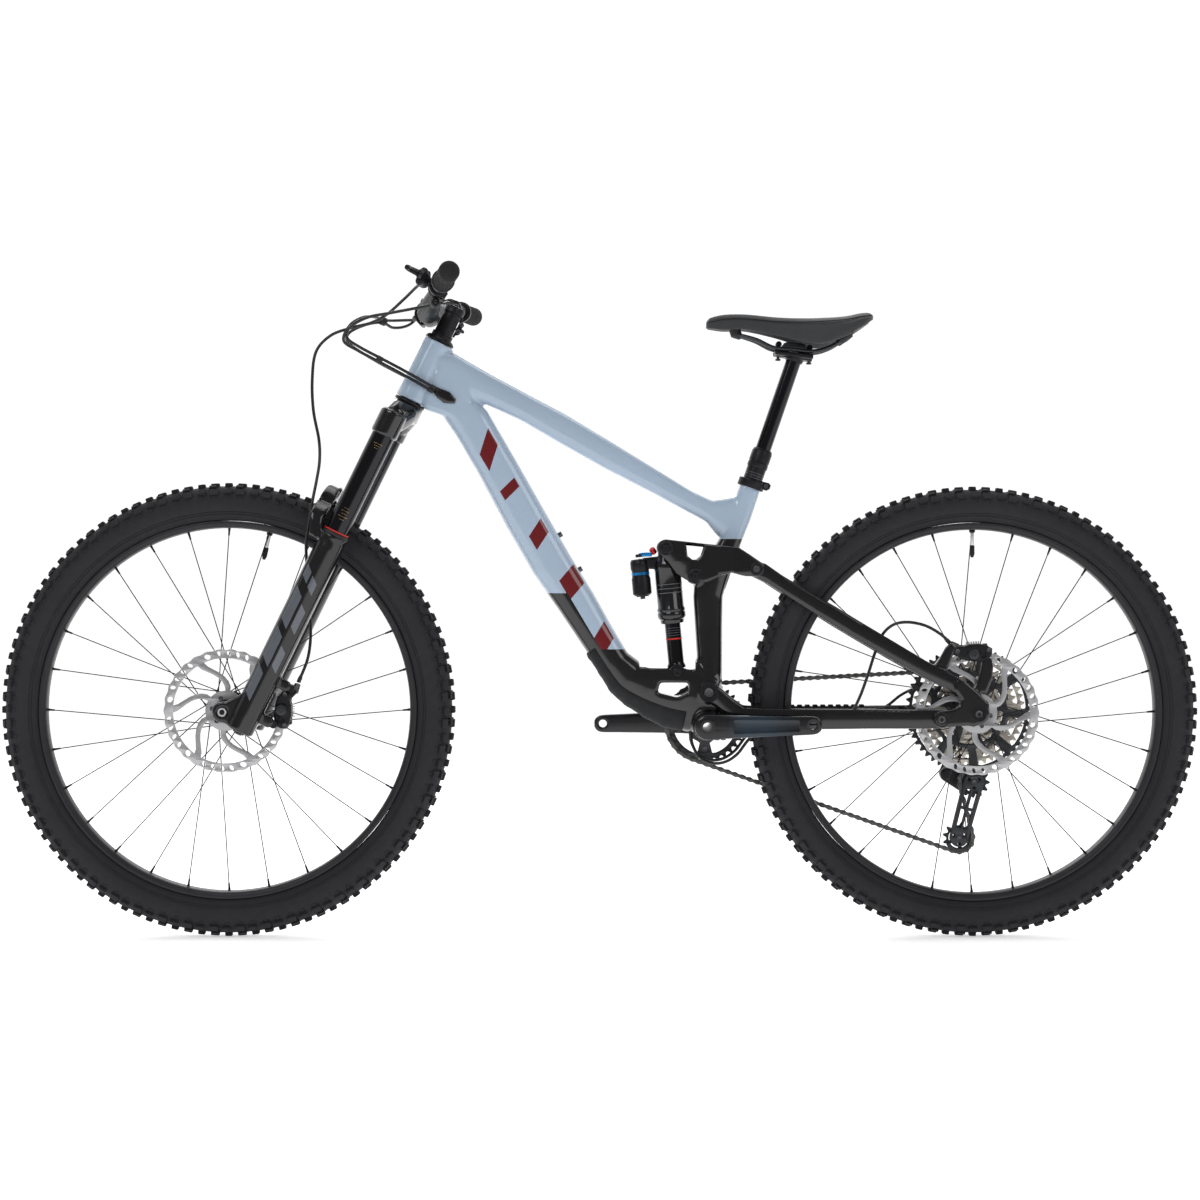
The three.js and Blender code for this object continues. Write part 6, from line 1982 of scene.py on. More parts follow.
def brake_body(word, side):
    shape = Shape("black_anodised", "bolt_steel", "dark_metal", "black_plastic")
    bar_band(shape, side * 192, 6)
    adds = [
        rod(beside_bar(side * 176, 25, -2), beside_bar(side * 216, 30.5, -2), 10.4, 40, 9.4, chamfer=1.5),
        rod(beside_bar(side * 192, 10, 0), beside_bar(side * 192, 27, -2), 7.5, 28),
        rod(beside_bar(side * 206, 27, 3), beside_bar(side * 186, 24, 3.5), 8.4, 32, 7.5, chamfer=1.5),
        rod(beside_bar(side * 212, 31, -10), beside_bar(side * 218, 33, -7.5), 6.5, 24),
        rod(beside_bar(side * 212, 31, 8), beside_bar(side * 218, 33, 7.5), 6.5, 24),
        rod(beside_bar(side * 213, 30, -9.5), beside_bar(side * 213, 30, 8), 8, 28, chamfer=1),
    ]
    shape.add(moulded(adds, voxel=1.0, smooth=5))
    lid = [beside_bar(side * y, 25 + (y - 180) * 0.13, 9.8) for y in (182, 208)]
    shape.add(sweep([lid[0], lid[1]], 6.2, 20, flat=0.32), 3)
    for y in (184, 205):
        shape.add(bolt(beside_bar(side * y, 25 + (y - 180) * 0.13, 11.0), STEER_UP, 1.9, 1.0, 0.9), 1)
    banjo = beside_bar(side * 175.5, 25, -1.5)
    way = beside_bar(side * 171, 24.4, -0.5) - banjo
    shape.add(rod(banjo - way * 0.6, banjo + way, 4.9, 6), 2)
    outer, inner = beside_bar(side * 178, 25.2, -2), beside_bar(side * 175.6, 24.9, -1.6)
    shape.add(rod(outer, inner, 6.6, 32, chamfer=0.5), 2)
    shape.piece(f"brake_master_{word}", "steering", "black_anodised", [f"brake_body_{word}"], sharp=40)


LEVER_PIVOT_Y, LEVER_FORWARD = 226, 36
# Stations along the blade: out from the pivot, forward of it, and half height.
BLADE = [
    (-3, 0.2, 5.4), (6, 4.5, 5.4), (24, 13, 5.0), (42, 15.4, 4.7), (60, 14.8, 4.6), (78, 11.5, 4.8),
    (92, 9.6, 5.0), (103, 10.8, 4.6), (108.5, 13.2, 3.4),
]


def brake_lever(word, side):
    """A blade bent to the finger, thinned and drilled, on its pivot."""
    shape = Shape("black_anodised", "bolt_steel", "dark_metal")
    pivot = bar_centre(side * LEVER_PIVOT_Y) + Vector((-LEVER_FORWARD, 0, 0))
    spine, tall = [], []
    for out, forward, half in BLADE:
        spine.append(Vector((pivot.x - forward, pivot.y + side * out, pivot.z - out * 0.06)))
        tall.append(half)
    path = smooth_path(spine, 5)
    radii = []
    for i in range(len(path)):
        low, part = divmod(i, 5)
        high = min(low + 1, len(tall) - 1)
        radii.append(tall[low] + (tall[high] - tall[low]) * part / 5)
    shape.add(steered(sweep(path, radii, 20, flat=0.52, lean=(0, 0, 1))))
    eye_low, eye_high = pivot - Vector((0, 0, 6.6)), pivot + Vector((0, 0, 6.6))
    shape.add(steered(rod(eye_low, eye_high, 4.5, 28, chamfer=0.6)), 2)
    shape.add(steered(bolt(eye_high, (0, 0, 1), 3.4, 0.9, 1.6)), 1)
    for out in (66, 76, 86):
        spot = Vector((pivot.x - 15.8 + (out - 60) * 0.16, pivot.y + side * out, pivot.z - out * 0.06))
        front, back = spot + Vector((-0.6, 0, 0)), spot + Vector((0.4, 0, 0))
        shape.add(steered(rod(front, back, 1.9, 18, chamfer=0.3)), 2)
    lever = f"brake_lever_{word}"
    shape.piece(f"brake_blade_{word}", lever, "black_anodised", [lever], sharp=45)


# The thumb paddles' spines, from their pivots in the steering frame.
SHIFT_PADDLE = [(0, 2, 0), (9, 5, -3), (18, 12, -4), (27, 22, -2)]
DROPPER_PADDLE = [(0, -2, 0), (8, -5, 1), (16, -9, 4), (25, -17, 8), (31, -24, 12)]


def shifter():
    shape = Shape("black_plastic", "bolt_steel", "dark_metal")
    bar_band(shape, 168, 4)
    adds = [
        rod(beside_bar(160.5, -4, -24), beside_bar(179.5, -4, -24), 14.6, 44, chamfer=3),
        rod(beside_bar(168, 0, -12), beside_bar(168, -3, -20), 6, 28),
        rod(beside_bar(166, 8, -20), beside_bar(158, 17, -14), 6.5, 24),
    ]
    shape.add(moulded(adds, voxel=1.0, smooth=5))
    shape.add(rod(beside_bar(160.4, -4, -24), beside_bar(159.6, -4, -24), 9, 32, chamfer=0.4), 2)
    inward = beside_bar(158, -4, -24) - beside_bar(159, -4, -24)
    shape.add(bolt(beside_bar(159.8, -4, -24), inward, 4, 1.2, 1.8), 1)
    cable_end = beside_bar(159.4, 3.4, -23.6)
    shape.add(rod(cable_end, beside_bar(166, 2, -22), 4, 20, chamfer=0.5), 2)
    shape.piece("shifter_pod", "steering", "black_plastic", ["shifter_body"], sharp=40)
    paddle = Shape("black_plastic", "bolt_steel")
    pivot = bar_centre(183) + Vector((4, 0, -24))
    hub_low, hub_high = pivot + Vector((0, 0.3, 0)), pivot + Vector((0, 4, 0))
    paddle.add(steered(rod(hub_low, hub_high, 7, 32, chamfer=0.7)))
    paddle.add(steered(bolt(hub_high, (0, 1, 0), 3.2, 1.0, 1.5)), 1)
    arm = smooth_path([pivot + Vector(step) for step in SHIFT_PADDLE], 5)
    shares = [i / (len(arm) - 1) for i in range(len(arm))]
    spread = [4.6 - 0.9 * math.sin(math.pi * share) + 2.0 * share**3 for share in shares]
    paddle.add(steered(sweep(arm, spread, 16, flat=0.5, lean=(0, 1, 0))))
    paddle.piece("shift_thumb_paddle", "shift_paddle", "black_plastic", ["shift_paddle"], sharp=45)


def dropper_remote():
    shape = Shape("black_plastic", "bolt_steel", "dark_metal")
    bar_band(shape, -166, 4)
    adds = [
        rod(beside_bar(-174, -6, -22), beside_bar(-150.5, -6, -22), 7.8, 36, chamfer=1.2),
        rod(beside_bar(-166, 0, -12), beside_bar(-166, -5, -19), 5, 24),
    ]
    shape.add(moulded(adds, voxel=0.9, smooth=4))
    shape.add(rod(beside_bar(-150.6, -6, -22), beside_bar(-148.4, -6, -22), 4.6, 24, chamfer=0.5), 2)
    for k in range(4):
        spot = -156 + k * 1.6
        shape.add(rod(beside_bar(spot, -6, -22), beside_bar(spot + 0.7, -6, -22), 8.1, 32, chamfer=0.1), 2)
    shape.piece("dropper_remote_pod", "steering", "black_plastic", ["dropper_remote_body"], sharp=40)
    paddle = Shape("black_anodised", "bolt_steel", "black_plastic")
    pivot = bar_centre(-178) + Vector((6, 0, -22))
    paddle.add(steered(rod(pivot + Vector((0, -4, 0)), pivot + Vector((0, 2, 0)), 6.4, 32, chamfer=0.6)))
    paddle.add(steered(bolt(pivot + Vector((0, -4, 0)), (0, -1, 0), 3.2, 1.0, 1.5)), 1)
    arm = smooth_path([pivot + Vector(step) for step in DROPPER_PADDLE], 5)
    last = len(arm) - 1
    spread = [4.0 + 5.5 * share_of(i / last, 0.35, 1.0) ** 1.4 for i in range(last + 1)]
    # The tip narrows again.
    spread[-2:] = [4.0 + (width - 4.0) * 0.8 for width in spread[-2:]]
    paddle.add(steered(sweep(arm, spread, 20, flat=0.36, lean=(0, 1, 0))))
    for k in range(4):
        share = 0.55 + k * 0.12
        spot = arm[int(share * last)]
        left, right = spot + Vector((0.5, -4.5, 2.6)), spot + Vector((-0.5, 4.5, 2.6))
        paddle.add(steered(rod(left, right, 0.7, 10, chamfer=0.2)), 2)
    paddle.piece("dropper_thumb_paddle", "dropper_paddle", "black_plastic", ["dropper_paddle"], sharp=45)


headset()
stem()
handlebar()
for word, side in (("left", -1), ("right", 1)):
    grip(word, side)
    brake_body(word, side)
    brake_lever(word, side)
shifter()
dropper_remote()

# ------------------------------------------------------------------ cranks

# Stations along an arm from its centre: distance, half height, inner and outer y.
CRANK_ARM = [
    (-21, 4, 65.8, 76.5), (-19.6, 8.5, 64.7, 78.8), (-15, 15, 64.2, 80), (-7.5, 19.8, 64, 80.6),
    (0, 21, 64, 81), (12, 20.7, 64.2, 81.6), (25, 19.6, 65, 82.4), (42, 18.6, 68.2, 84.6), (60, 18.1, 72, 87),
    (85, 17.3, 75, 89.6), (110, 16.6, 78, 92), (148, 15.5, 80, 94), (162, 15.2, 80, 94), (171, 14.8, 80, 94),
    (177.5, 13.2, 80, 94), (182, 9.6, 80.6, 93.5), (184.4, 5, 82, 92.4),
]
SPINDLE_R, SPINDLE_BORE_R, PEDAL_HOLE_R = 14.5, 8.2, 7.1


def crank(word, side):
    """A forged arm, boxed and hollow-looking, with a sunk panel along its outer face."""
    along = Vector((math.cos(CRANK_TILT), 0, math.sin(CRANK_TILT))) * -side
    across = Vector((-math.sin(CRANK_TILT), 0, math.cos(CRANK_TILT)))
    centre = Vector((BOTTOM_BRACKET[0], 0, BOTTOM_BRACKET[1]))
    rings, panel = [], []
    for at, half, inner, outer in CRANK_ARM:
        middle = centre + along * at + Vector((0, side * (inner + outer) / 2, 0))
        rings.append(oval_ring(middle, across * half, Vector((0, (outer - inner) / 2, 0)), 4.5, 32))
        if 38 <= at <= 150:
            face = centre + along * at + Vector((0, side * (outer + 3.2), 0))
            panel.append(oval_ring(face, across * (half - 6.0), Vector((0, 4.0, 0)), 5, 24))
    end = centre + along * CRANK_LENGTH
    end_point = (end.x, end.z)
    adds = [bridge(rings)]
    boss_low, boss_high = (-78, -44) if side < 0 else (51, 78)
    adds.append(pin(BOTTOM_BRACKET, boss_low, boss_high, 20, 48, 1.5))
    cuts = [
        pin(end_point, -120, 120, PEDAL_HOLE_R, 40, 0),
        pin(BOTTOM_BRACKET, -120, 120, SPINDLE_BORE_R, 40, 0),
        bridge(panel),
    ]
    if side < 0:
        cuts.append(pin(BOTTOM_BRACKET, -76, 0, SPINDLE_R + 0.3, 40, 0))
        corners = ((10, -3.2), (30, -3.2), (30, -2.0), (10, -2.0))
        slot = [centre + along * at + across * up for at, up in corners]
        cuts.append(plate([(p.x, p.z) for p in slot], -120, -40, bevel=0.1))
    shape = Shape("crank_finish", "bolt_steel", "black_plastic", "dark_metal")
    shape.add(moulded(adds, cuts, voxel=1.25, smooth=4))
    lip = [(PEDAL_HOLE_R, 0), (10.2, 0), (10.6, 0.4), (10.6, 1.2), (PEDAL_HOLE_R, 1.2)]
    shape.add(lathe(lip, end + Vector((0, side * 93.2, 0)), (0, side, 0), 36), 3)
    for k in range(6):
        depth = side * (82 + k * 1.9)
        groove = [(PEDAL_HOLE_R - 0.35, 0), (PEDAL_HOLE_R + 0.1, 0.5), (PEDAL_HOLE_R + 0.1, -0.5)]
        shape.add(lathe(groove, end + Vector((0, depth, 0)), (0, side, 0), 28), 3)
    if side < 0:
        cap = [
            (SPINDLE_BORE_R, 80.6), (11.8, 80.6), (12.2, 81), (12.2, 82.2), (11, 82.9),
            (SPINDLE_BORE_R, 82.9),
        ]
        shape.add(lathe(cap, centre, (0, -1, 0), 48), 2)
        for k in range(8):
            spot = point_at(BOTTOM_BRACKET, 9.4, k * 45)
            shape.add(pin(spot, -83.4, -82.6, 0.9, 10, 0.2), 2)
        for at in (15, 25):
            spot = centre + along * at - across * 19.2 + Vector((0, side * 72.5, 0))
            shape.add(bolt(spot, -across, 3.9, 2.2, 2.0), 1)
    else:
        tube = [(SPINDLE_BORE_R, -74), (SPINDLE_R, -74), (SPINDLE_R, 60), (SPINDLE_BORE_R, 60)]
        shape.add(lathe(tube, centre, (0, 1, 0), 48), 3)
    shape.piece(f"crank_arm_{word}", "crank", "crank_finish", [f"crank_{word}"], sharp=55)


# ------------------------------------------------------------------ rear derailleur


def derailleur():
    """Hanger joint, two-plate parallelogram and clutch housing, then the cage that carries both pulleys."""
    shape = Shape("black_anodised", "bolt_steel", "dark_metal", "black_plastic", "silver_metal")
    upper = [
        plate(arm_outline((606, 318), 11, HANGER, 12), 82, 93.5, bevel=3),
        pin(HANGER, 80.6, 95, 10.5, 36, 1.5),
        pin((606, 318), 64, 93.5, 8.5, 32, 1.2),
    ]
    lower = [
        plate(arm_outline(CAGE_PIVOT, 16, (582, 262), 13), 56, 75.5, bevel=4),
        pin(CAGE_PIVOT, 55.6, 78, 15, 44, 2.5),
        pin((582, 262), 58, 89, 9, 32, 1.5),
    ]
    shape.add(moulded(upper, voxel=1.2, smooth=4))
    shape.add(moulded(lower, [pin(CAGE_PIVOT, 50, 69, 6.3, 24, 0)], voxel=1.2, smooth=4))
    for low, high in ((62.5, 69), (82.5, 89.5)):
        window = arm_outline((589, 279), 3.8, (600, 303), 3.4, 8)
        shape.add(plate(arm_outline((582, 262), 11.5, (606, 318), 9.8), low, high, [window], bevel=1.6))
    for at in ((582, 262), (606, 318)):
        shape.add(bolt((at[0], 89.3, at[1]), (0, 1, 0), 4.6, 1.8, 2.2), 1)
        shape.add(bolt((at[0], 62.6, at[1]), (0, -1, 0), 3.6, 1.2, 1.7), 1)
    shape.add(bolt((HANGER[0], 94.6, HANGER[1]), (0, 1, 0), 6.2, 2.6, 3.1), 1)
    shape.add(pin(HANGER, 74, 82, 5, 24, 0.4), 1)
    for k in range(10):
        spot = point_at(CAGE_PIVOT, 12.4, k * 36)
        shape.add(pin(spot, 77.4, 79, 1.1, 10, 0.2), 2)
    shape.add(bolt((CAGE_PIVOT[0], 77.8, CAGE_PIVOT[1]), (0, 1, 0), 7.2, 1.4, 3), 2)
    # Cable clamp with its bolt, and the two limit screws.
    shape.add(rod((588, 86, 288), (596, 86, 282), 4.6, 24, chamfer=0.6), 2)
    shape.add(bolt((592, 90.5, 286), (0, 1, 0), 3.6, 1.6, 1.7), 1)
    for dz in (0, 6):
        dx = dz * 0.3
        shape.add(rod((613 + dx, 86, 326 + dz), (602 + dx, 86, 331 + dz), 1.8, 14, chamfer=0.3), 4)
    shape.add(rod((603, 87, 284), (611, 87, 283.4), 3.9, 24, chamfer=0.5), 3)
    shape.piece("derailleur_linkage", "derailleur_body", "black_anodised", ["derailleur_body"], sharp=42)

    cage = Shape("dark_metal", "bolt_steel", "black_anodised")
    side = arm_outline(UPPER_PULLEY, 17, LOWER_PULLEY, 15, 14)
    along = (Vector((*LOWER_PULLEY, 0)) - Vector((*UPPER_PULLEY, 0))).normalized()
    across = Vector((-along.y, along.x, 0))

    def spot(at, off):
        p = Vector((*UPPER_PULLEY, 0)) + along * at + across * off
        return p.x, p.y

    windows = []
    openings = ((14, 44, -10.5, -2.2), (14, 44, 2.2, 10.5), (49, 80, -9.5, -1.8), (49, 80, 1.8, 9.5))
    for low, high, left, right in openings:
        windows.append([spot(low, left), spot(low, right), spot(high, right * 0.94), spot(high, left * 0.94)])
    for centre in (UPPER_PULLEY, LOWER_PULLEY):
        for k in range(3):
            windows.append(circle(point_at(centre, 9.3, k * 120 + 30), 2.6, 16))
    cage.add(plate(side, 42.2, 44.3, windows, bevel=0.7))
    cage.add(plate(side, 52.9, 55, windows, bevel=0.7))
    knuckle = arm_outline(CAGE_PIVOT, 14, UPPER_PULLEY, 12, 10)
    cage.add(plate(knuckle, 54.2, 56.2, bevel=0.6), 2)
    guard = [*arc(LOWER_PULLEY, 24, 205, 325, 14), *arc(LOWER_PULLEY, 17, 325, 205, 14)]
    cage.add(plate(guard, 42.2, 44.3, bevel=0.7))
    for centre in (UPPER_PULLEY, LOWER_PULLEY):
        cage.add(pin(centre, 42.4, 54.8, 2.9, 20, 0.2), 1)
        cage.add(bolt((centre[0], 42.3, centre[1]), (0, -1, 0), 4.2, 1.5, 1.9), 1)
        cage.add(bolt((centre[0], 54.9, centre[1]), (0, 1, 0), 4.2, 1.5, 1.9), 1)
    cage.add(pin(CAGE_PIVOT, 52.8, 68, 5.8, 28, 0.4), 2)
    cage.piece("derailleur_cage_plates", "derailleur_cage", "black_anodised", ["derailleur_cage"], sharp=35)


REAR_CALIPER = (608, 469)
REAR_MOUNTS = ((577, 474), (628, 453))


def rear_caliper():
    shape = Shape("black_anodised", "dark_metal", "bolt_steel", "silver_metal")
    caliper_body(shape, REAR_AXLE, REAR_CALIPER, REAR_ROTOR_Y)
    for x, z in REAR_MOUNTS:
        shape.add(bolt((x, -67.8, z + 4), (0.3, 0, 0.95), 5.0, 3.4, 2.5), 2)
        shape.add(rod((x - 3, -67.8, z - 8), (x, -67.8, z + 4), 6.2, 28, chamfer=0.6))
    shape.add(rod((571, -58.5, 484.6), (584, -58.5, 479), 4.8, 24, chamfer=0.7), 2)
    shape.piece("rear_caliper_body", "seatstay", "black_anodised", ["rear_caliper"], sharp=40)


crank("left", -1)
crank("right", 1)
derailleur()
rear_caliper()

# ------------------------------------------------------------------ saddle and post

# Saddle stations from the nose: x, half width, top, side edge, underside.
SADDLE_STATIONS = [
    (175.5, 9, 1012.5, 1003.5, 1005), (178.5, 14.5, 1016.5, 1001.5, 1004), (184, 18, 1020, 1000.5, 1003),
    (205, 21, 1024.6, 998, 1001), (240, 24, 1025, 998.5, 1003), (290, 31, 1020, 988, 1001),
    (330, 45, 1018, 977, 1000), (365, 62, 1018, 973, 1000), (400, 71, 1020, 984, 1001),
    (428, 69, 1025.4, 1000, 1006), (442, 57, 1026, 1009.5, 1013), (447.5, 40, 1023.5, 1013.5, 1015.5),
]


def saddle_ring(row):
    """One cross-section: a softly crowned top with a channel down the middle, and a skirt turned under."""
    x, half, top, edge, under = row
    channel = 3.2 * share_of(x, 255, 295) * share_of(440 - x, 0, 30)
    profile = [
        (0.0, top - 1.0 - channel), (0.10, top - 0.8 - channel * 0.8), (0.20, top - 0.3 - channel * 0.15),
        (0.34, top), (0.50, top - 0.5), (0.66, top - 2.2), (0.80, top - 5.4),
        (0.91, top - 10.0 * min(1, (top - edge) / 22)), (0.985, (edge + top) / 2 + 1.0),
        (1.0, (edge + top) / 2 - (top - edge) * 0.14), (0.995, edge + (top - edge) * 0.12), (0.965, edge),
        (0.92, edge + 0.6), (0.82, edge + (under - edge) * 0.35), (0.5, under), (0.0, under + 0.5),
    ]
    right = [Vector((x, share * half, z)) for share, z in profile]
    left = [Vector((p.x, -p.y, p.z)) for p in right[1:-1]][::-1]
    return right + left


def saddle():
    """A padded cover over a shell: crowned top and seams along the flanks."""
    rows = smooth_rows(SADDLE_STATIONS, 7)
    shape = Shape("saddle_cover", "black_plastic", "grip_rubber")
    shape.add(bridge([saddle_ring(row) for row in rows]))
    # A welded seam stands along each flank, between the top and the side panels.
    for side in (-1, 1):
        line = []
        for x, half, top, edge, under in rows[4:-3]:
            line.append(Vector((x, side * half * 0.905, top - 8.4 * min(1, (top - edge) / 22))))
        shape.add(sweep(line, 0.9, 8), 2)
    # The shell under it, with ribs and the rail sockets.
    for row in rows[6:-6:9]:
        x, half, top, edge, under = row
        shape.add(rod((x, -half * 0.62, under - 0.6), (x, half * 0.62, under - 0.6), 1.5, 10, chamfer=0.4), 1)
    obj = shape.piece("saddle_cover_shell", "seatpost_upper", "saddle_cover", ["saddle"], sharp=70, levels=1)
    sockets = Shape("black_plastic")
    for side in (-1, 1):
        sockets.add(moulded([
            rod((394, side * 26.4, 980), (412, side * 28.4, 992), 6.5, 28),
            rod((404, side * 27, 986), (414, side * 30, 1002), 7.5, 28),
        ], voxel=1.2, smooth=3))
    nose = [rod((226, 0, 990), (222, 0, 1002), 9.5, 32)]
    nose += [rod((232, y, 989.5), (222, 0, 992), 6, 24) for y in (6, -6)]
    sockets.add(moulded(nose, voxel=1.2, smooth=3))
    sockets.piece("saddle_rail_sockets", "seatpost_upper", "black_plastic", sharp=50)


RAIL_HALF = [
    (402, 27, 984), (378, 24, 970), (352, 22, 963.2), (318, 22, 966.1), (286, 22, 968.9), (258, 17, 982),
    (232, 8, 990),
]


def saddle_rails():
    shape = Shape("dark_metal")
    mirrored = [(x, -y, z) for x, y, z in reversed(RAIL_HALF)]
    shape.add(sweep(smooth_path([*RAIL_HALF, (224, 0, 991.5), *mirrored], 8), 3.5, 20))
    shape.piece("saddle_rail_wire", "seatpost_upper", "black_anodised", ["saddle_rails"], sharp=50)


def seatpost_upper():
    """The polished stanchion and its head: a cradle, two top plates and the two bolts that hold the rails."""
    shape = Shape("stanchion_black", "black_anodised", "bolt_steel")
    shape.add(rod(on_seat_line(31), on_seat_line(226), 12.7, 56))
    adds = [
        rod(on_seat_line(220.6), on_seat_line(231), 14.4, 44, 16.5, chamfer=0.5),
        plate([(289, 956.2), (303, 953.8), (349, 947), (350.5, 957.6), (288, 963.4)], -17, 17, bevel=2),
    ]
    for side in (-1, 1):
        adds.append(plate([(288, 957.6), (350, 950), (351, 958), (287, 964)], *span(side, 15, 28.6), bevel=2))
    cuts = [rod((280, side * 22, 969.8), (360, side * 22, 962.3), 3.6, 24) for side in (-1, 1)]
    shape.add(moulded(adds, cuts, voxel=1.1, smooth=3), 1)
    for side in (-1, 1):
        clamp = [
            (300, 971.6), (302, 976), (308, 978), (332, 975.6), (338, 973), (339, 968.4), (338, 966),
            (301, 969.4),
        ]
        shape.add(plate(clamp, *span(side, 14.5, 29), bevel=1.6), 1)
    shape.add(plate([(312, 965), (328, 963.5), (329, 971), (312, 972.6)], -16, 16, bevel=1.6), 1)
    for x, z in ((294, 952), (345, 946)):
        low, high = Vector((x, 0, z)), Vector((x + 1.2, 0, z + 27))
        shape.add(rod(low, high, 2.4, 18, chamfer=0.3), 2)
        shape.add(rod((x + 1.1, -8, z + 24), (x + 1.1, 8, z + 24), 5, 26, chamfer=0.8), 1)
        shape.add(bolt(low, (0, 0, -1), 4.4, 3.2, 2.2), 2)
    replaced = ["dropper_stanchion"]
    shape.piece("dropper_stanchion_and_head", "seatpost_upper", "stanchion_black", replaced, sharp=40)


saddle()
saddle_rails()
seatpost_upper()

# ------------------------------------------------------------------ hoses and cables

# Routes in the steering frame.
FRONT_HOSE_ROUTE = [
    (-50, -171, 173.5), (-58, -142, 166), (-72, -105, 140), (-88, -82, 108), (-106, -76, 84), (-132, -76, 62),
    (-156, -78, 36), (-165, -82, 2), (-150, -88, -41), (-126, -92, -85), (-97, -92, -124), (-82, -86, -154),
    (-74, -74, -184), (-68, -60, -213), (-60, -48, -246), (-50, -41, -280), (-34, -39.5, -312),
    (-12, -39.5, -352), (12, -41, -392), (28, -42, -424), (38, -43, -456), (41, -44, -495),
]
DROPPER_CABLE_ROUTE = [
    (-20.3, -149.4, 152), (-26, -135, 149), (-48, -118, 134), (-82, -108, 110), (-112, -103, 88),
    (-132, -90, 62), (-131, -70, 45), (-108, -56, 41), (-72, -47, 40), (-36, -41, 39), (4, -34, 37),
    (31, -29.5, 35),
]
SHIFT_CABLE_ROUTE = [
    (-21, 159.4, 150.5), (-26, 140, 148), (-44, 112, 138), (-72, 76, 120), (-98, 36, 103), (-112, -6, 98),
    (-124, -52, 88), (-134, -84, 66), (-134, -74, 38.5), (-108, -56, 34.5), (-72, -47, 33.5),
    (-36, -41, 32.5), (4, -34, 30.5), (30, -29.5, 28.5),
]
REAR_BRAKE_CABLE_ROUTE = [
    (-50, 171, 173.5), (-54, 142, 166), (-58, 112, 142), (-66, 80, 114), (-84, 54, 98), (-102, 30, 96.5),
    (-124, 16, 80), (-143, 22, 56), (-136, 34, 41), (-86, 40, 35), (-34, 38, 33), (4, 33.5, 33),
    (30, 29.5, 33),
]
# Routes in the bike's frame.
REAR_HOSE_ROUTE = [
    (150, -24, 335), (152, -27, 318), (163, -31, 298), (183, -34, 288), (205, -37, 290), (225, -39, 303),
    (242, -39.5, 325), (262, -39.5, 344), (285, -40.5, 355), (340, -44, 361), (388, -48, 363),
    (410, -50, 372), (424, -48, 396), (438, -42, 432), (450, -38.5, 468), (462, -40, 498), (480, -46, 515),
    (504, -50, 519), (532, -54, 513), (556, -58, 499), (571, -58.5, 484.6),
]
SHIFT_ROUTE = [
    (150, 24, 335), (152, 27, 318), (163, 31, 298), (183, 34, 288), (205, 37, 290), (225, 39, 303),
    (242, 39.5, 325), (262, 39.5, 344), (285, 40.5, 355), (340, 44, 361), (410, 50, 361), (450, 55, 364),
    (480, 62, 376), (505, 70, 394), (530, 82, 404), (556, 90, 404), (600, 94, 394), (640, 96, 368),
    (656, 95, 334), (645, 92, 302), (628, 89, 287), (607.5, 87, 283),
]


# Points of a hose's curve for each point of its route, and the route's point that a clip holds.
HOSE_STEPS, CLIP_POINT = 7, 9


def ferrule(shape, tip, inner):
    """A crimped sleeve over the last stretch of a hose, from its tip inwards."""
    tip = Vector(tip)
    way = (Vector(inner) - tip).normalized()
    shape.add(rod(tip, tip + way * 9, 3.5, 20, chamfer=0.5), 1)
    shape.add(rod(tip + way * 9.5, tip + way * 11.5, 3.1, 20, chamfer=0.4), 1)


def whole_hose(shape, route):
    """A hose drawn in the steering frame, with a ferrule on each end."""
    shape.add(sweep(smooth_path(route, HOSE_STEPS), HOSE_R, 16))
    ferrule(shape, route[0], route[1])
    ferrule(shape, route[-1], route[-2])


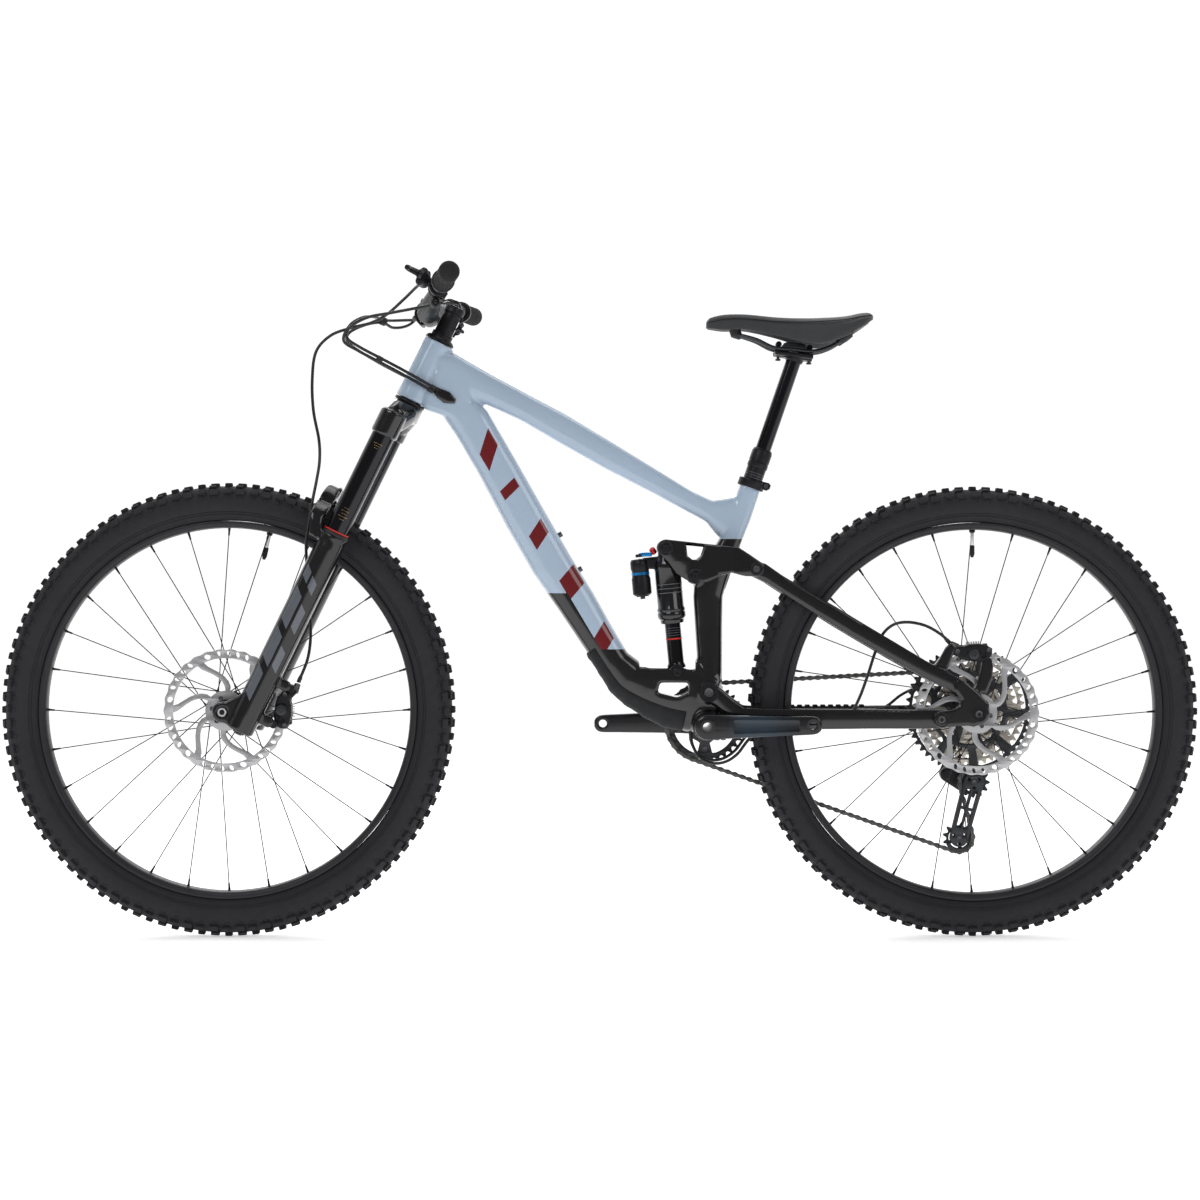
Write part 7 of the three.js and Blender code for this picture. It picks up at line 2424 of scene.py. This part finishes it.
def steer_shape(shape):
    """Moves a shape that was drawn in the steering frame into the bike's."""
    shape.verts = [STEER_MATRIX @ Vector(v) for v in shape.verts]


def front_hose():
    shape = Shape("hose_black", "black_plastic")
    whole_hose(shape, FRONT_HOSE_ROUTE)
    above, below = Vector(FRONT_HOSE_ROUTE[13]), Vector(FRONT_HOSE_ROUTE[14])
    shape.add(rod(above.lerp(below, 0.3), above.lerp(below, 0.6), 4.2, 20, chamfer=0.6), 1)
    steer_shape(shape)
    obj = shape.piece("front_brake_hose_run", None, "hose_black", ["front_brake_hose"], sharp=50)
    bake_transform(obj)


def front_cables():
    shape = Shape("hose_black", "black_plastic")
    # Synthetic cover with a fine pebble grain.
    for route in (DROPPER_CABLE_ROUTE, SHIFT_CABLE_ROUTE, REAR_BRAKE_CABLE_ROUTE):
        whole_hose(shape, route)
    shape.add(rod((-66, -45.6, 36.6), (-76, -48, 36.9), 6.2, 24, chamfer=0.8), 1)
    shape.add(rod((-98, 33, 99.5), (-106, 26.5, 98.7), 7.2, 24, chamfer=0.8), 1)
    steer_shape(shape)
    obj = shape.piece("cockpit_cables", None, "hose_black", ["cable_bundle"], sharp=50)
    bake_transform(obj)


def split_hose(word, route, replaced):
    """A hose that crosses two joints, in two lengths that meet inside a clip on the chainstay."""
    path = smooth_path(route, HOSE_STEPS)
    middle = CLIP_POINT * HOSE_STEPS
    front, rear = path[: middle + 1], path[middle - 1 :]
    shape = Shape("hose_black")
    shape.add(sweep(front, HOSE_R, 16))
    obj = shape.piece(f"{word}_front_run", None, "hose_black", [replaced], sharp=50)
    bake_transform(obj)
    shape = Shape("hose_black", "black_plastic")
    shape.add(sweep(rear, HOSE_R, 16))
    ferrule(shape, route[-1], route[-2])
    way = (path[middle + 2] - path[middle - 2]).normalized()
    shape.add(rod(path[middle] - way * 5, path[middle] + way * 5, 4.4, 20, chamfer=0.7), 1)
    obj = shape.piece(f"{word}_rear_run", None, "hose_black", sharp=50)
    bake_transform(obj)


front_hose()
front_cables()
split_hose("rear_brake_hose", REAR_HOSE_ROUTE, "rear_brake_hose")
split_hose("shift_housing", SHIFT_ROUTE, "shift_housing_rear")
